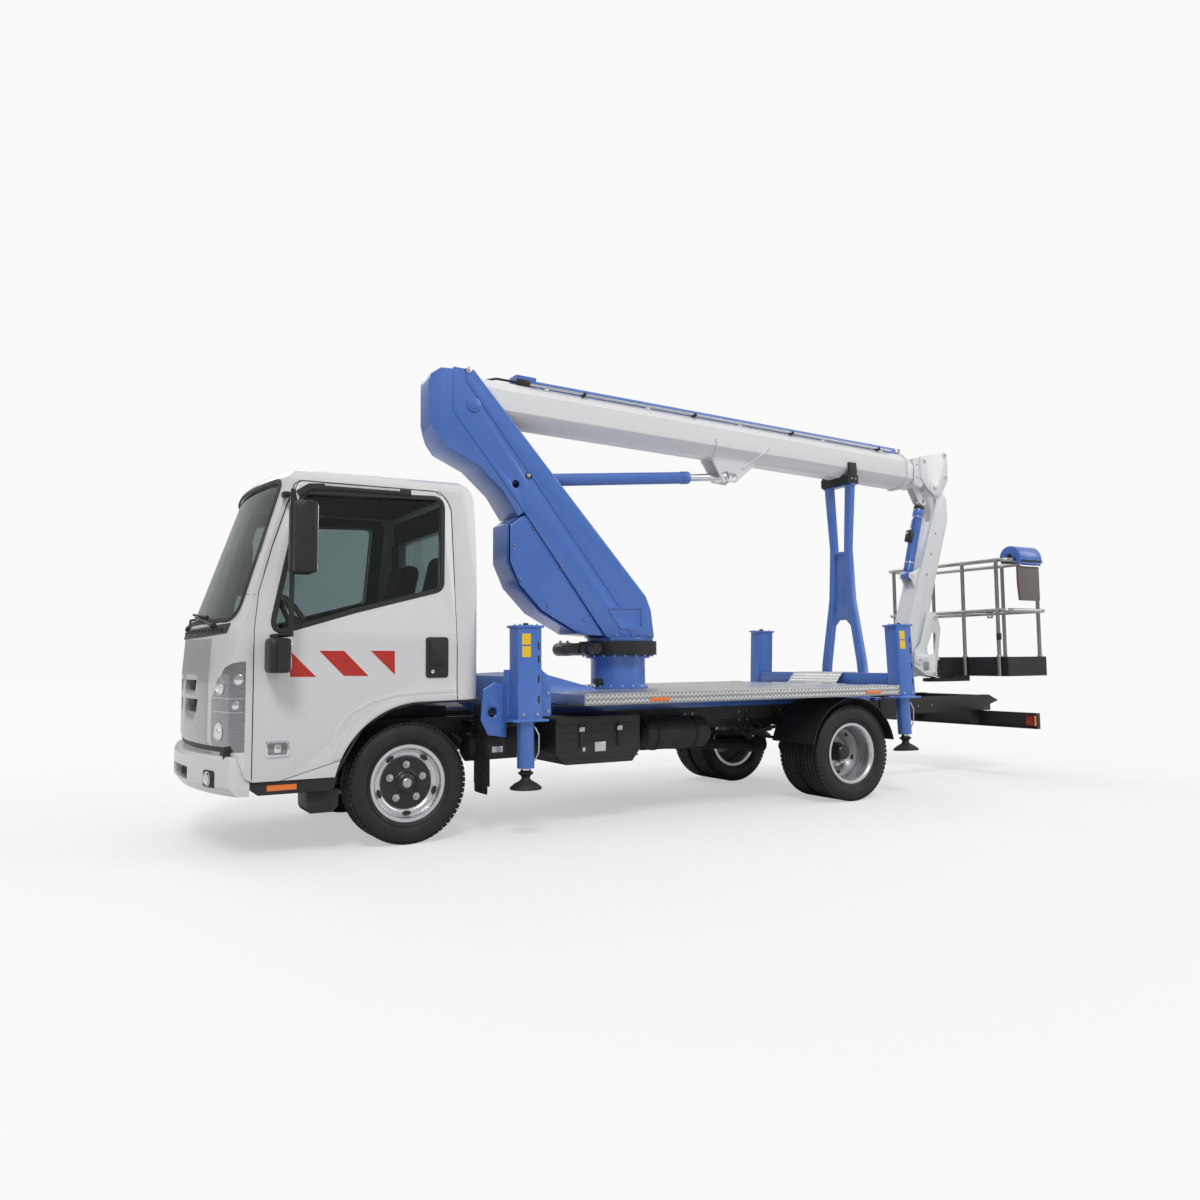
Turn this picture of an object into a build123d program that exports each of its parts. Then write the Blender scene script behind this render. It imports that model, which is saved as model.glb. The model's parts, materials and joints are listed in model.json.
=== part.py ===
from build123d import *

import os
from math import cos, hypot, radians, sin

# Truck-mounted boom lift, parked with its boom stowed over the tail.
# Millimetres. X runs forwards from the front axle, Y to the left, Z up from the road.
# export_node moves every piece to the middle of the truck's length at the end.

# ---- Fits and clearances
RUNNING_FIT = 0.05      # radial play of a shaft in its bearing
SEAT_GAP = 0.3          # between a piece and the seat it rests on
SHUT_GAP = 4.0          # round a door
SLIDE_GAP = 12.0        # between nested boom sections, filled by wear pads
MOVING_GAP = 6.0        # between pieces that pass one another

# ---- Running gear
WHEELBASE = 3350.0
FRONT_TRACK = 1395.0
REAR_TRACK = 1425.0     # between the middles of the twin pairs
TWIN_PITCH = 230.0      # between the two wheels of a pair
WHEEL_R = 350.0
HUB_Z = WHEEL_R         # the tyres stand round on the road
TYRE_W = 205.0
RIM_R = 205.0           # bead seat
RIM_FLANGE_R = 222.0
RIM_HALF_W = 82.0
RIM_WALL = 7.0
HUB_R = 78.0
BOLT_CIRCLE_R = 104.0
WHEEL_BOLTS = 5
HAND_HOLES = 5
HAND_HOLE_R = 17.0
STUB_R = 30.0           # stub axle that a wheel turns on
KINGPIN_Y = 560.0
KINGPIN_R = 20.0
AXLE_TUBE_R = 48.0
DIFF_R = 150.0
PROP_SHAFT_R = 38.0
SPRING_Y = 420.0
SPRING_W = 60.0
SPRING_LEAF = 11.0
SPRING_LEAVES = 4
SPRING_HALF_LENGTH = 560.0

# ---- Chassis frame
RAIL_OUT_Y = 385.0
RAIL_FLANGE = 70.0
RAIL_WALL = 7.0
RAIL_LOW_Z = 545.0
RAIL_TOP_Z = 700.0
FRAME_FRONT_X = 1030.0
FRAME_REAR_X = -WHEELBASE - 1070.0
CROSS_MEMBERS_X = (900.0, -560.0, -1450.0, -2450.0, -WHEELBASE - 550.0)
CROSS_MEMBER_W = 80.0
TAIL_REAR_X = -5540.0   # rear end of the bolted frame extension
TAIL_LOW_Z = 575.0
TAIL_TOP_Z = 712.0
TAIL_WALL = 10.0
TAIL_LAP_X = FRAME_REAR_X + 240.0    # front end of the extension, beside the rails
BAR_X = -5465.0         # rear face of the under-run bar
BAR_THICK = 45.0
BAR_HALF_Y = 950.0
BAR_LOW_Z = 440.0
BAR_TOP_Z = 573.0

# ---- Cab
CAB_NOSE_X = 1130.0
CAB_SWEEP_R = 2650.0    # plan radius of the rounded front
CAB_REAR_X = -415.0
CAB_HALF_Y = 870.0
CAB_ROOF_Z = 2165.0
CAB_EAVE_Y = CAB_HALF_Y - 135.0      # half width where the sides meet the roof
CAB_WAIST_Z = 1180.0
CAB_WALL = 52.0
CAB_FLOOR_Z = 830.0     # underside behind the wheel arch
CAB_CORNER_R = 90.0     # upright corners
CAB_ROOF_R = 150.0      # rear edge of the roof, seen from the side
ARCH_LIP = 42.0         # outer edge of the raised lip round the wheel arch
ARCH_LIP_START = 6.0    # its inner edge
ARCH_LIP_PROUD = 7.0
SCREEN_BASE = (1095.0, 1263.0)
SCREEN_TOP = (785.0, 2165.0)
COWL_Z = 1190.0
GRILLE_LOW_Z = 575.0
ARCH_FRONT = (447.0, 424.0)   # its height is the cab's underside ahead of the wheels
ARCH_MIDDLE = (289.0, 691.0)
ARCH_REAR = (-36.0, 821.0)
TUNNEL_HALF_Y = 520.0   # frame and engine under the cab
TUNNEL_TOP_Z = 770.0
TUNNEL_FRONT_X = 1055.0
GLASS = 5.0
GLASS_DEPTH = 12.0      # from the outer skin to the glass
DOOR_SEAM = ((-265.0, 700.0), (-265.0, 1990.0), (-200.0, 2082.0), (640.0, 2082.0), (707.0, 1937.0),
             (793.0, 1685.0), (864.0, 1436.0), (888.0, 1229.0), (888.0, 380.0))
DOOR_WINDOW = ((794.0, 1216.0), (340.0, 1352.0), (-174.0, 1486.0), (-204.0, 2030.0), (612.0, 2005.0))
DOOR_THICK = 46.0
DOOR_OPEN_DEG = 68.0
DOOR_HINGE = (884.0, CAB_HALF_Y + 1.0)
SCREEN_HALF_LOW = CAB_HALF_Y - 100.0
SCREEN_HALF_TOP = CAB_EAVE_Y - 80.0
SCREEN_LOW_Z = 1300.0
SCREEN_HIGH_Z = 2085.0
REAR_WINDOW_Z = (1420.0, 1900.0)
REAR_WINDOW_HALF_Y = 560.0
LAMP_Y = (CAB_HALF_Y - 260.0, CAB_HALF_Y + 30.0)
LAMP_Z = (583.0, 1071.0)
LAMP_X = (925.0, 1140.0)
BUMPER_NOSE_X = 1165.0
BUMPER_SWEEP_R = 2300.0
BUMPER_HALF_Y = CAB_HALF_Y - 15.0
BUMPER_REAR_X = 894.0
BUMPER_Z = (350.0, 560.0)
BUMPER_WALL = 45.0
MIRROR_Y = CAB_HALF_Y + 115.0
MIRROR_Z = (1545.0, 1915.0)
MIRROR_X = (612.0, 700.0)
MIRROR_HALF_Y = 92.0
LOW_MIRROR_X = (735.0, 828.0)
LOW_MIRROR_Z = (1010.0, 1178.0)
STAY_X = 720.0
STAY_Z = (1205.0, 1975.0)
STAY_R = 13.0
STAY_FOOT_Y = CAB_HALF_Y - 110.0
SEAT_W = 470.0
SEAT_Y = CAB_HALF_Y / 2 - 5.0
SEAT_BASE_Z = 1010.0
DASH_OUTLINE = ((1010.0, 1150.0), (1010.0, 1250.0), (880.0, 1290.0), (770.0, 1240.0), (740.0, 1130.0),
                (790.0, 900.0), (960.0, 900.0))
WHEEL_CENTRE = (560.0, 1270.0)   # of the steering wheel
STEER_WHEEL_R = 195.0
ENGINE_X = (-420.0, 350.0)
ENGINE_HALF_Y = 265.0
ENGINE_Z = (430.0, 765.0)
BOX_OUT_Y = 820.0
BATTERY_OUTLINE = ((-1010.0, 395.0), (-940.0, 470.0), (-940.0, 690.0), (-1560.0, 690.0), (-1560.0, 470.0),
                   (-1500.0, 395.0))
TANK_OUTLINE = ((-1640.0, 380.0), (-1600.0, 430.0), (-1600.0, 680.0), (-2380.0, 680.0), (-2380.0, 430.0),
                (-2330.0, 380.0))
FLAP_X = -492.0         # front of the flaps behind the front wheels
FLAP_Y = (590.0, 824.0)
FLAP_LOW_Z = 300.0
WING_GAP = 52.0         # between tyre and wing
WING_SHEET = 6.0

# ---- Lift base on the chassis
SUBFRAME_TOP_Z = 772.0
DECK_X = (-WHEELBASE - 420.0, -1051.0)
DECK_HALF_Y = 1000.0
DECK_TOP_Z = 842.0
DECK_EDGE = DECK_TOP_Z - SUBFRAME_TOP_Z - SEAT_GAP
DECK_SHEET = 6.0
SLEW_X = -1882.0
COLUMN_R = 205.0
COLUMN_TOP_Z = 1088.0
SLEW_RING_R = 292.0
SLEW_RING_TOP_Z = 1190.0
SLEW_NOSE_X = -1475.0
FRONT_BEAM_X = (-800.0, -580.0)
REAR_BEAM_X = (-WHEELBASE - 660.0, -WHEELBASE - 520.0)
BEAM_TOP_Z = 930.0
# gusset ahead of the front beam: x from the beam's front face
GUSSET_OUTLINE = ((-10.0, 660.0), (-10.0, 905.0), (60.0, 925.0), (140.0, 880.0), (155.0, 700.0),
                  (110.0, 610.0), (-10.0, 590.0))
GUSSET_HOLE = (80.0, 745.0)
GUSSET_HOLE_R = 30.0
SPINE_X = (-1560.0, -1460.0, -1060.0)   # rear end, foot and head of its slope
DECK_BEARERS_X = (-1300.0, -2350.0, -2850.0, DECK_X[0] + 370.0)
SUBFRAME_TIES_X = (-2500.0, -3100.0, DECK_X[0] + 120.0)
REST_X = -WHEELBASE - 820.0
REST_HALF_X = 50.0
REST_TOP_Z = 2560.0
REST_PAD = 74.0         # its ears reach up beside the boom's lower corners

# ---- Stabiliser legs: a square housing over a round cylinder with a foot
LEG_BOX_X = 156.0
LEG_BOX = 125.0         # across the truck
LEG_TOP_Z = 1250.0
LEG_BOX_LOW_Z = 705.0
LEG_TUBE_R = 52.0
LEG_TUBE_LOW_Z = 415.0
LEG_ROD_R = 26.0
LEG_STROKE = 430.0
FOOT_R = 95.0
FOOT_LOW_Z = 292.0
LEG_SPLAY_DEG = 3.0
REAR_LEG_X = -WHEELBASE - 590.0
REAR_LEG_Y = 850.0
# columns: name, x, y at mid height, splay in degrees, rise above the front pair
LEGS = (
    ("fl", -655.0, 985.0, 0.0, 0.0),
    ("fr", -655.0, -985.0, 0.0, 0.0),
    ("rl", REAR_LEG_X, REAR_LEG_Y, LEG_SPLAY_DEG, 45.0),
    ("rr", REAR_LEG_X, -REAR_LEG_Y, -LEG_SPLAY_DEG, 45.0),
)

# ---- Turret
TOWER_BASE_Z = SLEW_RING_TOP_Z + SEAT_GAP
TOWER_HALF_Y = 172.0    # over the raised bands
TOWER_BAND = 6.0        # height of the raised bands
TOWER_SIDE_Y = TOWER_HALF_Y - TOWER_BAND
TOWER_INNER_Y = 152.0   # between the side plates
TOWER_FOOT = 26.0       # foot plate under the side plates
TOWER_WEB = 10.0
TOWER_OUTLINE = ((-2102.0, 1217.0), (-2076.0, 1423.0), (-2033.0, 1526.0), (-703.0, 3003.0), (-657.0, 3058.0),
                 (-502.0, 3063.0), (-502.0, 2758.0), (-920.0, 2241.0), (-1035.0, 2099.0), (-1695.0, 1217.0))
TOWER_BAND_OUTLINE = ((-2090.0, 1230.0), (-2064.0, 1423.0), (-2024.0, 1520.0), (-697.0, 2992.0),
                      (-655.0, 3045.0), (-598.0, 3045.0), (-592.0, 2979.0), (-1055.0, 2395.0),
                      (-1804.0, 1437.0), (-1900.0, 1230.0))
TOWER_POCKET = ((-1708.0, 1426.0), (-1988.0, 1431.0), (-1986.0, 1291.0), (-1813.0, 1290.0))
TOWER_HOLE = (-968.0, 2289.0)
TOWER_HOLE_R = 29.0
NOSE_HALF_Y = 159.0     # of the head's front, stepped in from the side plates
NOSE_FRONT_X = -355.0
NOSE_FLAT_HALF = 84.0   # of its flat front face, between two bevels
NOSE_BEVEL_X = 62.0
NOSE_OUTLINE = ((-540.0, 3052.0), (-415.0, 3047.0), (-366.0, 3015.0), (-355.0, 2965.0), (-355.0, 2690.0),
                (-380.0, 2625.0), (-470.0, 2500.0), (-690.0, 2400.0), (-875.0, 2235.0), (-990.0, 2065.0),
                (-1055.0, 2112.0), (-944.0, 2250.0), (-540.0, 2750.0))
HEAD_OVER_Z = 3100.0    # over everything on the head
NOSE_SLOT_X = -462.0    # front end of the slot that the rising boom comes through
COVER_HALF_Y = 152.0
COVER_ROUND = 38.0
COVER_WALL = 8.0
COVER_OUTLINE = ((-1070.0, 2098.0), (-1010.0, 2078.0), (-918.0, 2010.0), (-917.0, 1745.0), (-995.0, 1570.0),
                 (-1165.0, 1395.0), (-1445.0, 1243.0), (-1700.0, 1228.0))

# ---- Boom
LIFT_PIVOT = (-649.9, 2816.5)
BOOM_TILT_DEG = 2.0     # tail-down slope of the stowed boom
BOOM_AXIS_RISE = 76.0   # boom axis above the lift pivot
BOOM_ROOT = 158.0       # boom ahead of the pivot
BOOM_H = 300.0
BOOM_W = 290.0
BOOM_CHAMFER = 78.0
BOOM_WALL = 8.0
SECTION_WALLS = (8.0, 7.0, 6.0, 6.0)
ROOT_SOLID = 60.0       # of the root behind the pivot
BOOM_MOUTH = 4230.0     # from the lift pivot to the base section's mouth
MOUTH_STEP = 42.0       # each inner section stands out by this
SECTION_TAIL = 300.0    # from the pivot to the tail of the first inner section
TAIL_STEP = 60.0
BOOM_STROKE = 3100.0    # of each section
COLLAR_LENGTH = 34.0
COLLAR_WALL = 14.0
PIVOT_PIN_R = 38.0
LIFT_MAX_DEG = 75.0
BOOM_LUG_ALONG = 2234.0
BOOM_LUG_DROP = 285.0   # of the lift cylinder's pin under the boom axis
LUG_GAP = 60.0          # half the gap between the boom lug's ears
RAM_ALONG = (500.0, 4190.0)
RAM_R = 28.0
RAM_ROD_R = 16.0

# ---- Lift cylinder between the tower and the boom
LIFT_FOOT = (-1065.0, 2349.0)
LIFT_BARREL_R = 47.0
LIFT_ROD_R = 30.0
LIFT_BARREL_LENGTH = 1485.0
LIFT_PIN_R = 22.0

# ---- Jib
JIB_PIVOT = (-5230.0, 2615.0)
JIB_END = (-4958.0, 1030.0)
JIB_HALF_Y = 88.0
JIB_WALL = 12.0
JIB_FORK_HALF = 56.0
HEAD_HALF_Y = 118.0
HEAD_PLATE = 16.0
JIB_MAX_DEG = 120.0
JIB_RAM_TOP = (-5170.0, 2495.0)
JIB_RAM_FOOT = (-4975.0, 1800.0)
JIB_BARREL_R = 44.0
JIB_ROD_R = 22.0
ARM_HALF_Y = 118.0
ARM_PLATE = 14.0

HEAD_PLATE_OUTLINE = ((-5062.0, 2890.0), (-5375.0, 2965.0), (-5420.0, 2900.0), (-5420.0, 2700.0),
                      (-5330.0, 2560.0), (-5240.0, 2540.0), (-5165.0, 2585.0), (-5062.0, 2700.0))
HEAD_BLOCK_OUTLINE = ((-4990.0, 2870.0), (-5066.0, 2888.0), (-5090.0, 2860.0), (-5090.0, 2640.0),
                      (-5066.0, 2610.0), (-4990.0, 2630.0))
HEAD_EAR_OUTLINE = ((-5066.0, 2700.0), (-5110.0, 2640.0), (-5150.0, 2560.0), (-5212.0, 2500.0),
                    (-5200.0, 2462.0), (-5160.0, 2452.0), (-5120.0, 2480.0), (-5030.0, 2630.0))
HEAD_EAR = 12.0
JIB_OUTLINE = ((-5262.0, 2545.0), (-5290.0, 2500.0), (-4872.0, 1330.0), (-4908.0, 1180.0), (-4912.0, 1040.0),
               (-5012.0, 1020.0), (-5048.0, 1130.0), (-5200.0, 1650.0), (-5430.0, 2330.0), (-5425.0, 2520.0),
               (-5340.0, 2640.0))
JIB_CORE_OUTLINE = ((-5306.0, 2330.0), (-4890.0, 1330.0), (-4924.0, 1210.0), (-5056.0, 1210.0),
                    (-5186.0, 1650.0), (-5414.0, 2330.0))
JIB_LINK_OUTLINE = ((-5290.0, 2560.0), (-5200.0, 2560.0), (-5200.0, 2640.0), (-5330.0, 2660.0))
JIB_FORK_DEPTH = 305.0  # from the head's pin to the bottom of its fork
JIB_FOOT_SLOT = 180.0   # round the foot's pin
ARM_OUTLINE = ((-5085.0, 1460.0), (-5205.0, 1446.0), (-5250.0, 1320.0), (-5172.0, 868.0), (-5040.0, 894.0),
               (-4912.0, 970.0), (-4908.0, 1106.0), (-4985.0, 1170.0))
ARM_SLOT_OUTLINE = ((-5150.0, 1300.0), (-5195.0, 1250.0), (-5160.0, 1080.0), (-5080.0, 1075.0),
                    (-5060.0, 1130.0))
ARM_WINDOW_OUTLINE = ((-5085.0, 1010.0), (-5010.0, 1010.0), (-5010.0, 930.0), (-5090.0, 930.0))
ARM_PINS = ((-5180.0, 1420.0, 26.0), (-5140.0, 905.0, 22.0))
JIB_HEAD_R = 84.0
JIB_END_R = 52.0
JIB_PIN_R = 24.0
JIB_PIN_R2 = 16.0
JIB_EYE_HALF = 22.0
JIB_BARREL_LENGTH = 640.0
ARM_PIN_R = 20.0
LEVEL_LINK_HALF = 40.0
TURN_R = 62.0
TURN_PIN_R = 25.0

# ---- Basket
TURN_X = -5262.0        # axis of the basket's turning
BASKET_X = (-5985.0, -5432.0)
BASKET_HALF_Y = 690.0
BASKET_FLOOR_Z = 880.0
TOE_BOARD_TOP_Z = 1050.0
MID_RAIL_Z = 1460.0
TOP_RAIL_Z = 1905.0
RAIL_TUBE_R = 17.0
BASKET_POST_R = 17.0
CORNER_BEND_R = 90.0
POUCH_LOW_Z = 1660.0    # document pouch under the control box
POUCH_DEPTH = 24.0
POUCH_INSET = 24.0
ANCHOR_Y = 516.0        # lug under the middle rail for a harness
ANCHOR_HOLE_R = 14.0
ANCHOR_THICK = 10.0
ANCHOR_DROP = 42.0

ORIGIN_X = (BUMPER_NOSE_X + BASKET_X[0] - BASKET_POST_R) / 2


# ---------------------------------------------------------------- helpers
def slab(x, y, z):
    """A block between two values on each axis."""
    size = Box(x[1] - x[0], y[1] - y[0], z[1] - z[0])
    return Pos((x[0] + x[1]) / 2, (y[0] + y[1]) / 2, (z[0] + z[1]) / 2) * size


def outline(points, radius=0.0):
    """A closed flat outline, with its corners rounded."""
    face = Polygon(*points, align=None)
    return fillet(face.vertices(), radius) if radius else face


def side_prism(face, y):
    """An outline in X and Z, made thick along Y."""
    plane = Plane(origin=(0, y[1], 0), x_dir=(1, 0, 0), z_dir=(0, -1, 0))
    return extrude(plane * face, amount=y[1] - y[0], dir=(0, -1, 0))


def front_prism(face, x):
    """An outline in Y and Z, made thick along X."""
    plane = Plane(origin=(x[0], 0, 0), x_dir=(0, 1, 0), z_dir=(1, 0, 0))
    return extrude(plane * face, amount=x[1] - x[0], dir=(1, 0, 0))


def flat_prism(face, z):
    """An outline in X and Y, made thick along Z."""
    return extrude(Pos(0, 0, z[0]) * face, amount=z[1] - z[0], dir=(0, 0, 1))


def pin(x, z, radius, y):
    """A round bar across the truck."""
    return Pos(x, (y[0] + y[1]) / 2, z) * Rot(90, 0, 0) * Cylinder(radius, y[1] - y[0])


def bar(start, end, radius):
    """A round bar from one point to another."""
    run = Vector(*end) - Vector(*start)
    return extrude(Plane(origin=start, z_dir=run) * Circle(radius), amount=run.length)


def turned(points, x, z):
    """A ring turned about a line along Y through (x, z), from (radius, y) points."""
    return Pos(x, 0, z) * revolve(Polygon(*points, align=None), axis=Axis.Y)


def mirrored(shape):
    """The same piece on the other side of the truck."""
    return mirror(shape, about=Plane.XZ)


def both_sides(shape):
    """A piece and its mirror image."""
    return shape + mirrored(shape)


def export_node(name, shape):
    """Write one piece, with X counted from the middle of the truck's length."""
    export_step(Pos(-ORIGIN_X, 0, 0) * shape, f"parts/{name}.step")


# ---------------------------------------------------------------- running gear
def tyre(x, y_mid):
    half = TYRE_W / 2
    tread = half - 24
    shoulder = WHEEL_R - 16
    points = (
        (RIM_R, -RIM_HALF_W + RIM_WALL),
        (RIM_FLANGE_R + 2, -RIM_HALF_W + RIM_WALL),
        (RIM_R + 62, -half),
        (shoulder - 30, -half + 3),
        (shoulder, -half + 14),
        (WHEEL_R, -tread),
        (WHEEL_R, tread),
        (shoulder, half - 14),
        (shoulder - 30, half - 3),
        (RIM_R + 62, half),
        (RIM_FLANGE_R + 2, RIM_HALF_W - RIM_WALL),
        (RIM_R, RIM_HALF_W - RIM_WALL),
    )
    return Pos(0, y_mid, 0) * turned(points, x, HUB_Z)


def rim_barrel():
    """The well and flanges of one rim, about its own middle, as (radius, y)."""
    seat = RIM_R - SEAT_GAP
    inner = seat - RIM_WALL
    points = (
        (inner, -RIM_HALF_W),
        (RIM_FLANGE_R, -RIM_HALF_W),
        (RIM_FLANGE_R, -RIM_HALF_W + RIM_WALL - SEAT_GAP),
        (seat, -RIM_HALF_W + RIM_WALL - SEAT_GAP),
        (seat, RIM_HALF_W - RIM_WALL + SEAT_GAP),
        (RIM_FLANGE_R, RIM_HALF_W - RIM_WALL + SEAT_GAP),
        (RIM_FLANGE_R, RIM_HALF_W),
        (inner, RIM_HALF_W),
    )
    return revolve(Polygon(*points, align=None), axis=Axis.Y)


def rim_disc(face_y, rim_y):
    """The pressed disc from its bolting face at face_y out to the barrel at rim_y, with hand holes."""
    inner = RIM_R - SEAT_GAP - RIM_WALL / 2
    thick = 9.0
    points = (
        (HUB_R - 12, face_y - thick),
        (BOLT_CIRCLE_R + 22, face_y - thick),
        (inner - 26, rim_y - thick),
        (inner, rim_y - thick),
        (inner, rim_y),
        (inner - 22, rim_y),
        (BOLT_CIRCLE_R + 26, face_y),
        (HUB_R - 12, face_y),
    )
    disc = revolve(Polygon(*points, align=None), axis=Axis.Y)
    hole_r = (BOLT_CIRCLE_R + 26 + inner) / 2 - 4
    for step in range(HAND_HOLES):
        angle = radians(90 + 36 + step * 360 / HAND_HOLES)
        hole = Pos(hole_r * cos(angle), rim_y, hole_r * sin(angle))
        disc -= hole * Rot(90, 0, 0) * Cylinder(HAND_HOLE_R, 200)
    return disc


def wheel_nuts(face_y):
    nuts = None
    for step in range(WHEEL_BOLTS):
        angle = radians(90 + step * 360 / WHEEL_BOLTS)
        x = BOLT_CIRCLE_R * cos(angle)
        z = BOLT_CIRCLE_R * sin(angle)
        nut = Pos(x, face_y + 10, z) * Rot(90, 0, 0) * extrude(RegularPolygon(16, 6), amount=11, both=True)
        nuts = nut if nuts is None else nuts + nut
    return nuts


def front_rim(x):
    """Front wheel of the left side: bolting face well outboard, with its hub and nuts."""
    y_mid = FRONT_TRACK / 2
    face_y = 30.0
    hub_in = -62.0
    hub = Pos(0, (hub_in + face_y + 34) / 2, 0) * Rot(90, 0, 0) * Cylinder(HUB_R - 10, face_y + 34 - hub_in)
    bore_to = face_y + 10
    bore = pin(0, 0, STUB_R + RUNNING_FIT, (hub_in, bore_to))
    wheel = rim_barrel() + rim_disc(face_y, 52.0) + hub + wheel_nuts(face_y) - bore
    return Pos(x, y_mid, HUB_Z) * wheel


def rear_rims(x):
    """Twin wheels of the left side, bolted face to face on one hub."""
    inner_y = REAR_TRACK / 2 - TWIN_PITCH / 2
    outer_y = REAR_TRACK / 2 + TWIN_PITCH / 2
    face = TWIN_PITCH / 2
    inner = Pos(0, inner_y, 0) * (rim_barrel() + rim_disc(face, 60.0))
    outer = Pos(0, outer_y, 0) * Rot(0, 0, 180) * (rim_barrel() + rim_disc(face, 60.0))
    mid = REAR_TRACK / 2
    hub_in = inner_y - 62.0
    hub_out = mid + 70.0
    hub = Pos(0, (hub_in + hub_out) / 2, 0) * Rot(90, 0, 0) * Cylinder(HUB_R - 10, hub_out - hub_in)
    bore_to = mid + 40.0
    bore = pin(0, 0, STUB_R + RUNNING_FIT, (hub_in, bore_to))
    nuts = Pos(0, mid + 10, 0) * wheel_nuts(0.0)
    return Pos(x, 0, HUB_Z) * (inner + outer + hub + nuts - bore)


def knuckle():
    """Left steering knuckle: kingpin, stub axle and steering arm."""
    y_hub = FRONT_TRACK / 2
    post = Pos(0, KINGPIN_Y, HUB_Z) * Cylinder(KINGPIN_R, 236)
    block = slab((-34, 34), (KINGPIN_Y - 26, KINGPIN_Y + 30), (HUB_Z - 60, HUB_Z + 60))
    stub = pin(0, HUB_Z, STUB_R, (KINGPIN_Y, y_hub + 34))
    flange = pin(0, HUB_Z, 62, (KINGPIN_Y + 30, KINGPIN_Y + 44))
    arm_face = outline(((-30, KINGPIN_Y - 26), (-30, KINGPIN_Y + 20), (-190, KINGPIN_Y - 20),
                        (-190, KINGPIN_Y - 62)))
    arm = flat_prism(arm_face, (HUB_Z - 56, HUB_Z - 40))
    return post + block + stub + flange + arm


def front_axle():
    """Cross member with upper and lower arms that carry the kingpins."""
    beam = slab((-70, 70), (-300, 300), (HUB_Z - 60, HUB_Z + 75))
    beam -= slab((-58, 58), (-288, 288), (HUB_Z - 48, HUB_Z + 90))
    post = slab((-55, 55), (292, RAIL_OUT_Y - 20), (HUB_Z - 60, RAIL_LOW_Z - SEAT_GAP))
    pieces = beam + both_sides(post)
    for z in (HUB_Z - 96, HUB_Z + 96):
        arm_face = outline(((-95, 340), (95, 340), (34, KINGPIN_Y + 34), (-34, KINGPIN_Y + 34)), 12)
        arm = flat_prism(arm_face, (z - 14, z + 14))
        arm -= Pos(0, KINGPIN_Y, z) * Cylinder(KINGPIN_R + RUNNING_FIT, 60)
        carrier = slab((-60, 60), (280, 345), (min(z, HUB_Z) - 14, max(z, HUB_Z) + 14))
        pieces += both_sides(arm + carrier)
    return pieces


def spring_leaf(length, z_mid, rise, y):
    """One curved leaf, low in the middle."""
    half = length / 2
    lower = ThreePointArc((-half, z_mid + rise), (0, z_mid), (half, z_mid + rise))
    upper = ThreePointArc((half, z_mid + rise + SPRING_LEAF), (0, z_mid + SPRING_LEAF),
                          (-half, z_mid + rise + SPRING_LEAF))
    ends = Line(lower @ 1, upper @ 0) + Line(upper @ 1, lower @ 0)
    return side_prism(make_face(lower + upper + ends), y)


def rear_axle():
    """Driven beam axle with its differential, propeller shaft and leaf springs."""
    stub_end = REAR_TRACK / 2 + 34
    tube_end = REAR_TRACK / 2 - TWIN_PITCH / 2 - 66
    tube = pin(0, HUB_Z, AXLE_TUBE_R, (-tube_end, tube_end)) + pin(0, HUB_Z, STUB_R, (-stub_end, stub_end))
    diff = Pos(0, 0, HUB_Z) * scale(Sphere(DIFF_R), by=(0.8, 0.95, 1.0))
    nose = bar((0, 0, HUB_Z + 5), (240, 0, HUB_Z + 14), 62)
    axle = Pos(-WHEELBASE, 0, 0) * (tube + diff + nose)
    shaft = bar((-WHEELBASE + 200, 0, HUB_Z + 12), (ENGINE_X[0] - 6, 0, 500), PROP_SHAFT_R)
    axle += shaft
    side = (SPRING_Y - SPRING_W / 2, SPRING_Y + SPRING_W / 2)
    springs = None
    z_low = HUB_Z + AXLE_TUBE_R - 2
    for leaf in range(SPRING_LEAVES):
        length = 2 * SPRING_HALF_LENGTH - leaf * 240
        z_mid = z_low + (SPRING_LEAVES - 1 - leaf) * SPRING_LEAF
        rise = 62.0 * (length / (2 * SPRING_HALF_LENGTH)) ** 2
        piece = spring_leaf(length, z_mid, rise, side)
        springs = piece if springs is None else springs + piece
    eye_z = z_low + (SPRING_LEAVES - 1) * SPRING_LEAF + 62 + SPRING_LEAF / 2
    for x in (-SPRING_HALF_LENGTH, SPRING_HALF_LENGTH):
        springs += pin(x, eye_z, 22, side)
        hanger = slab((x - 24, x + 24), (RAIL_OUT_Y + SEAT_GAP, side[0] + 2), (eye_z - 30, RAIL_TOP_Z - 40))
        hanger += slab((x - 24, x + 24), (side[0] - 2, side[1]), (eye_z + 16, eye_z + 40))
        springs += hanger
    springs += slab((-60, 60), side, (HUB_Z, z_low + 6))
    return axle + both_sides(Pos(-WHEELBASE, 0, 0) * springs)


# ---------------------------------------------------------------- chassis
def frame_rail():
    """The left rail, a channel open towards the middle."""
    low, high = RAIL_LOW_Z, RAIL_TOP_Z
    web = slab((FRAME_REAR_X, FRAME_FRONT_X), (RAIL_OUT_Y - RAIL_WALL, RAIL_OUT_Y), (low, high))
    top = slab((FRAME_REAR_X, FRAME_FRONT_X), (RAIL_OUT_Y - RAIL_FLANGE, RAIL_OUT_Y),
               (high - RAIL_WALL, high))
    bottom = slab((FRAME_REAR_X, FRAME_FRONT_X), (RAIL_OUT_Y - RAIL_FLANGE, RAIL_OUT_Y),
                  (low, low + RAIL_WALL))
    return web + top + bottom


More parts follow.
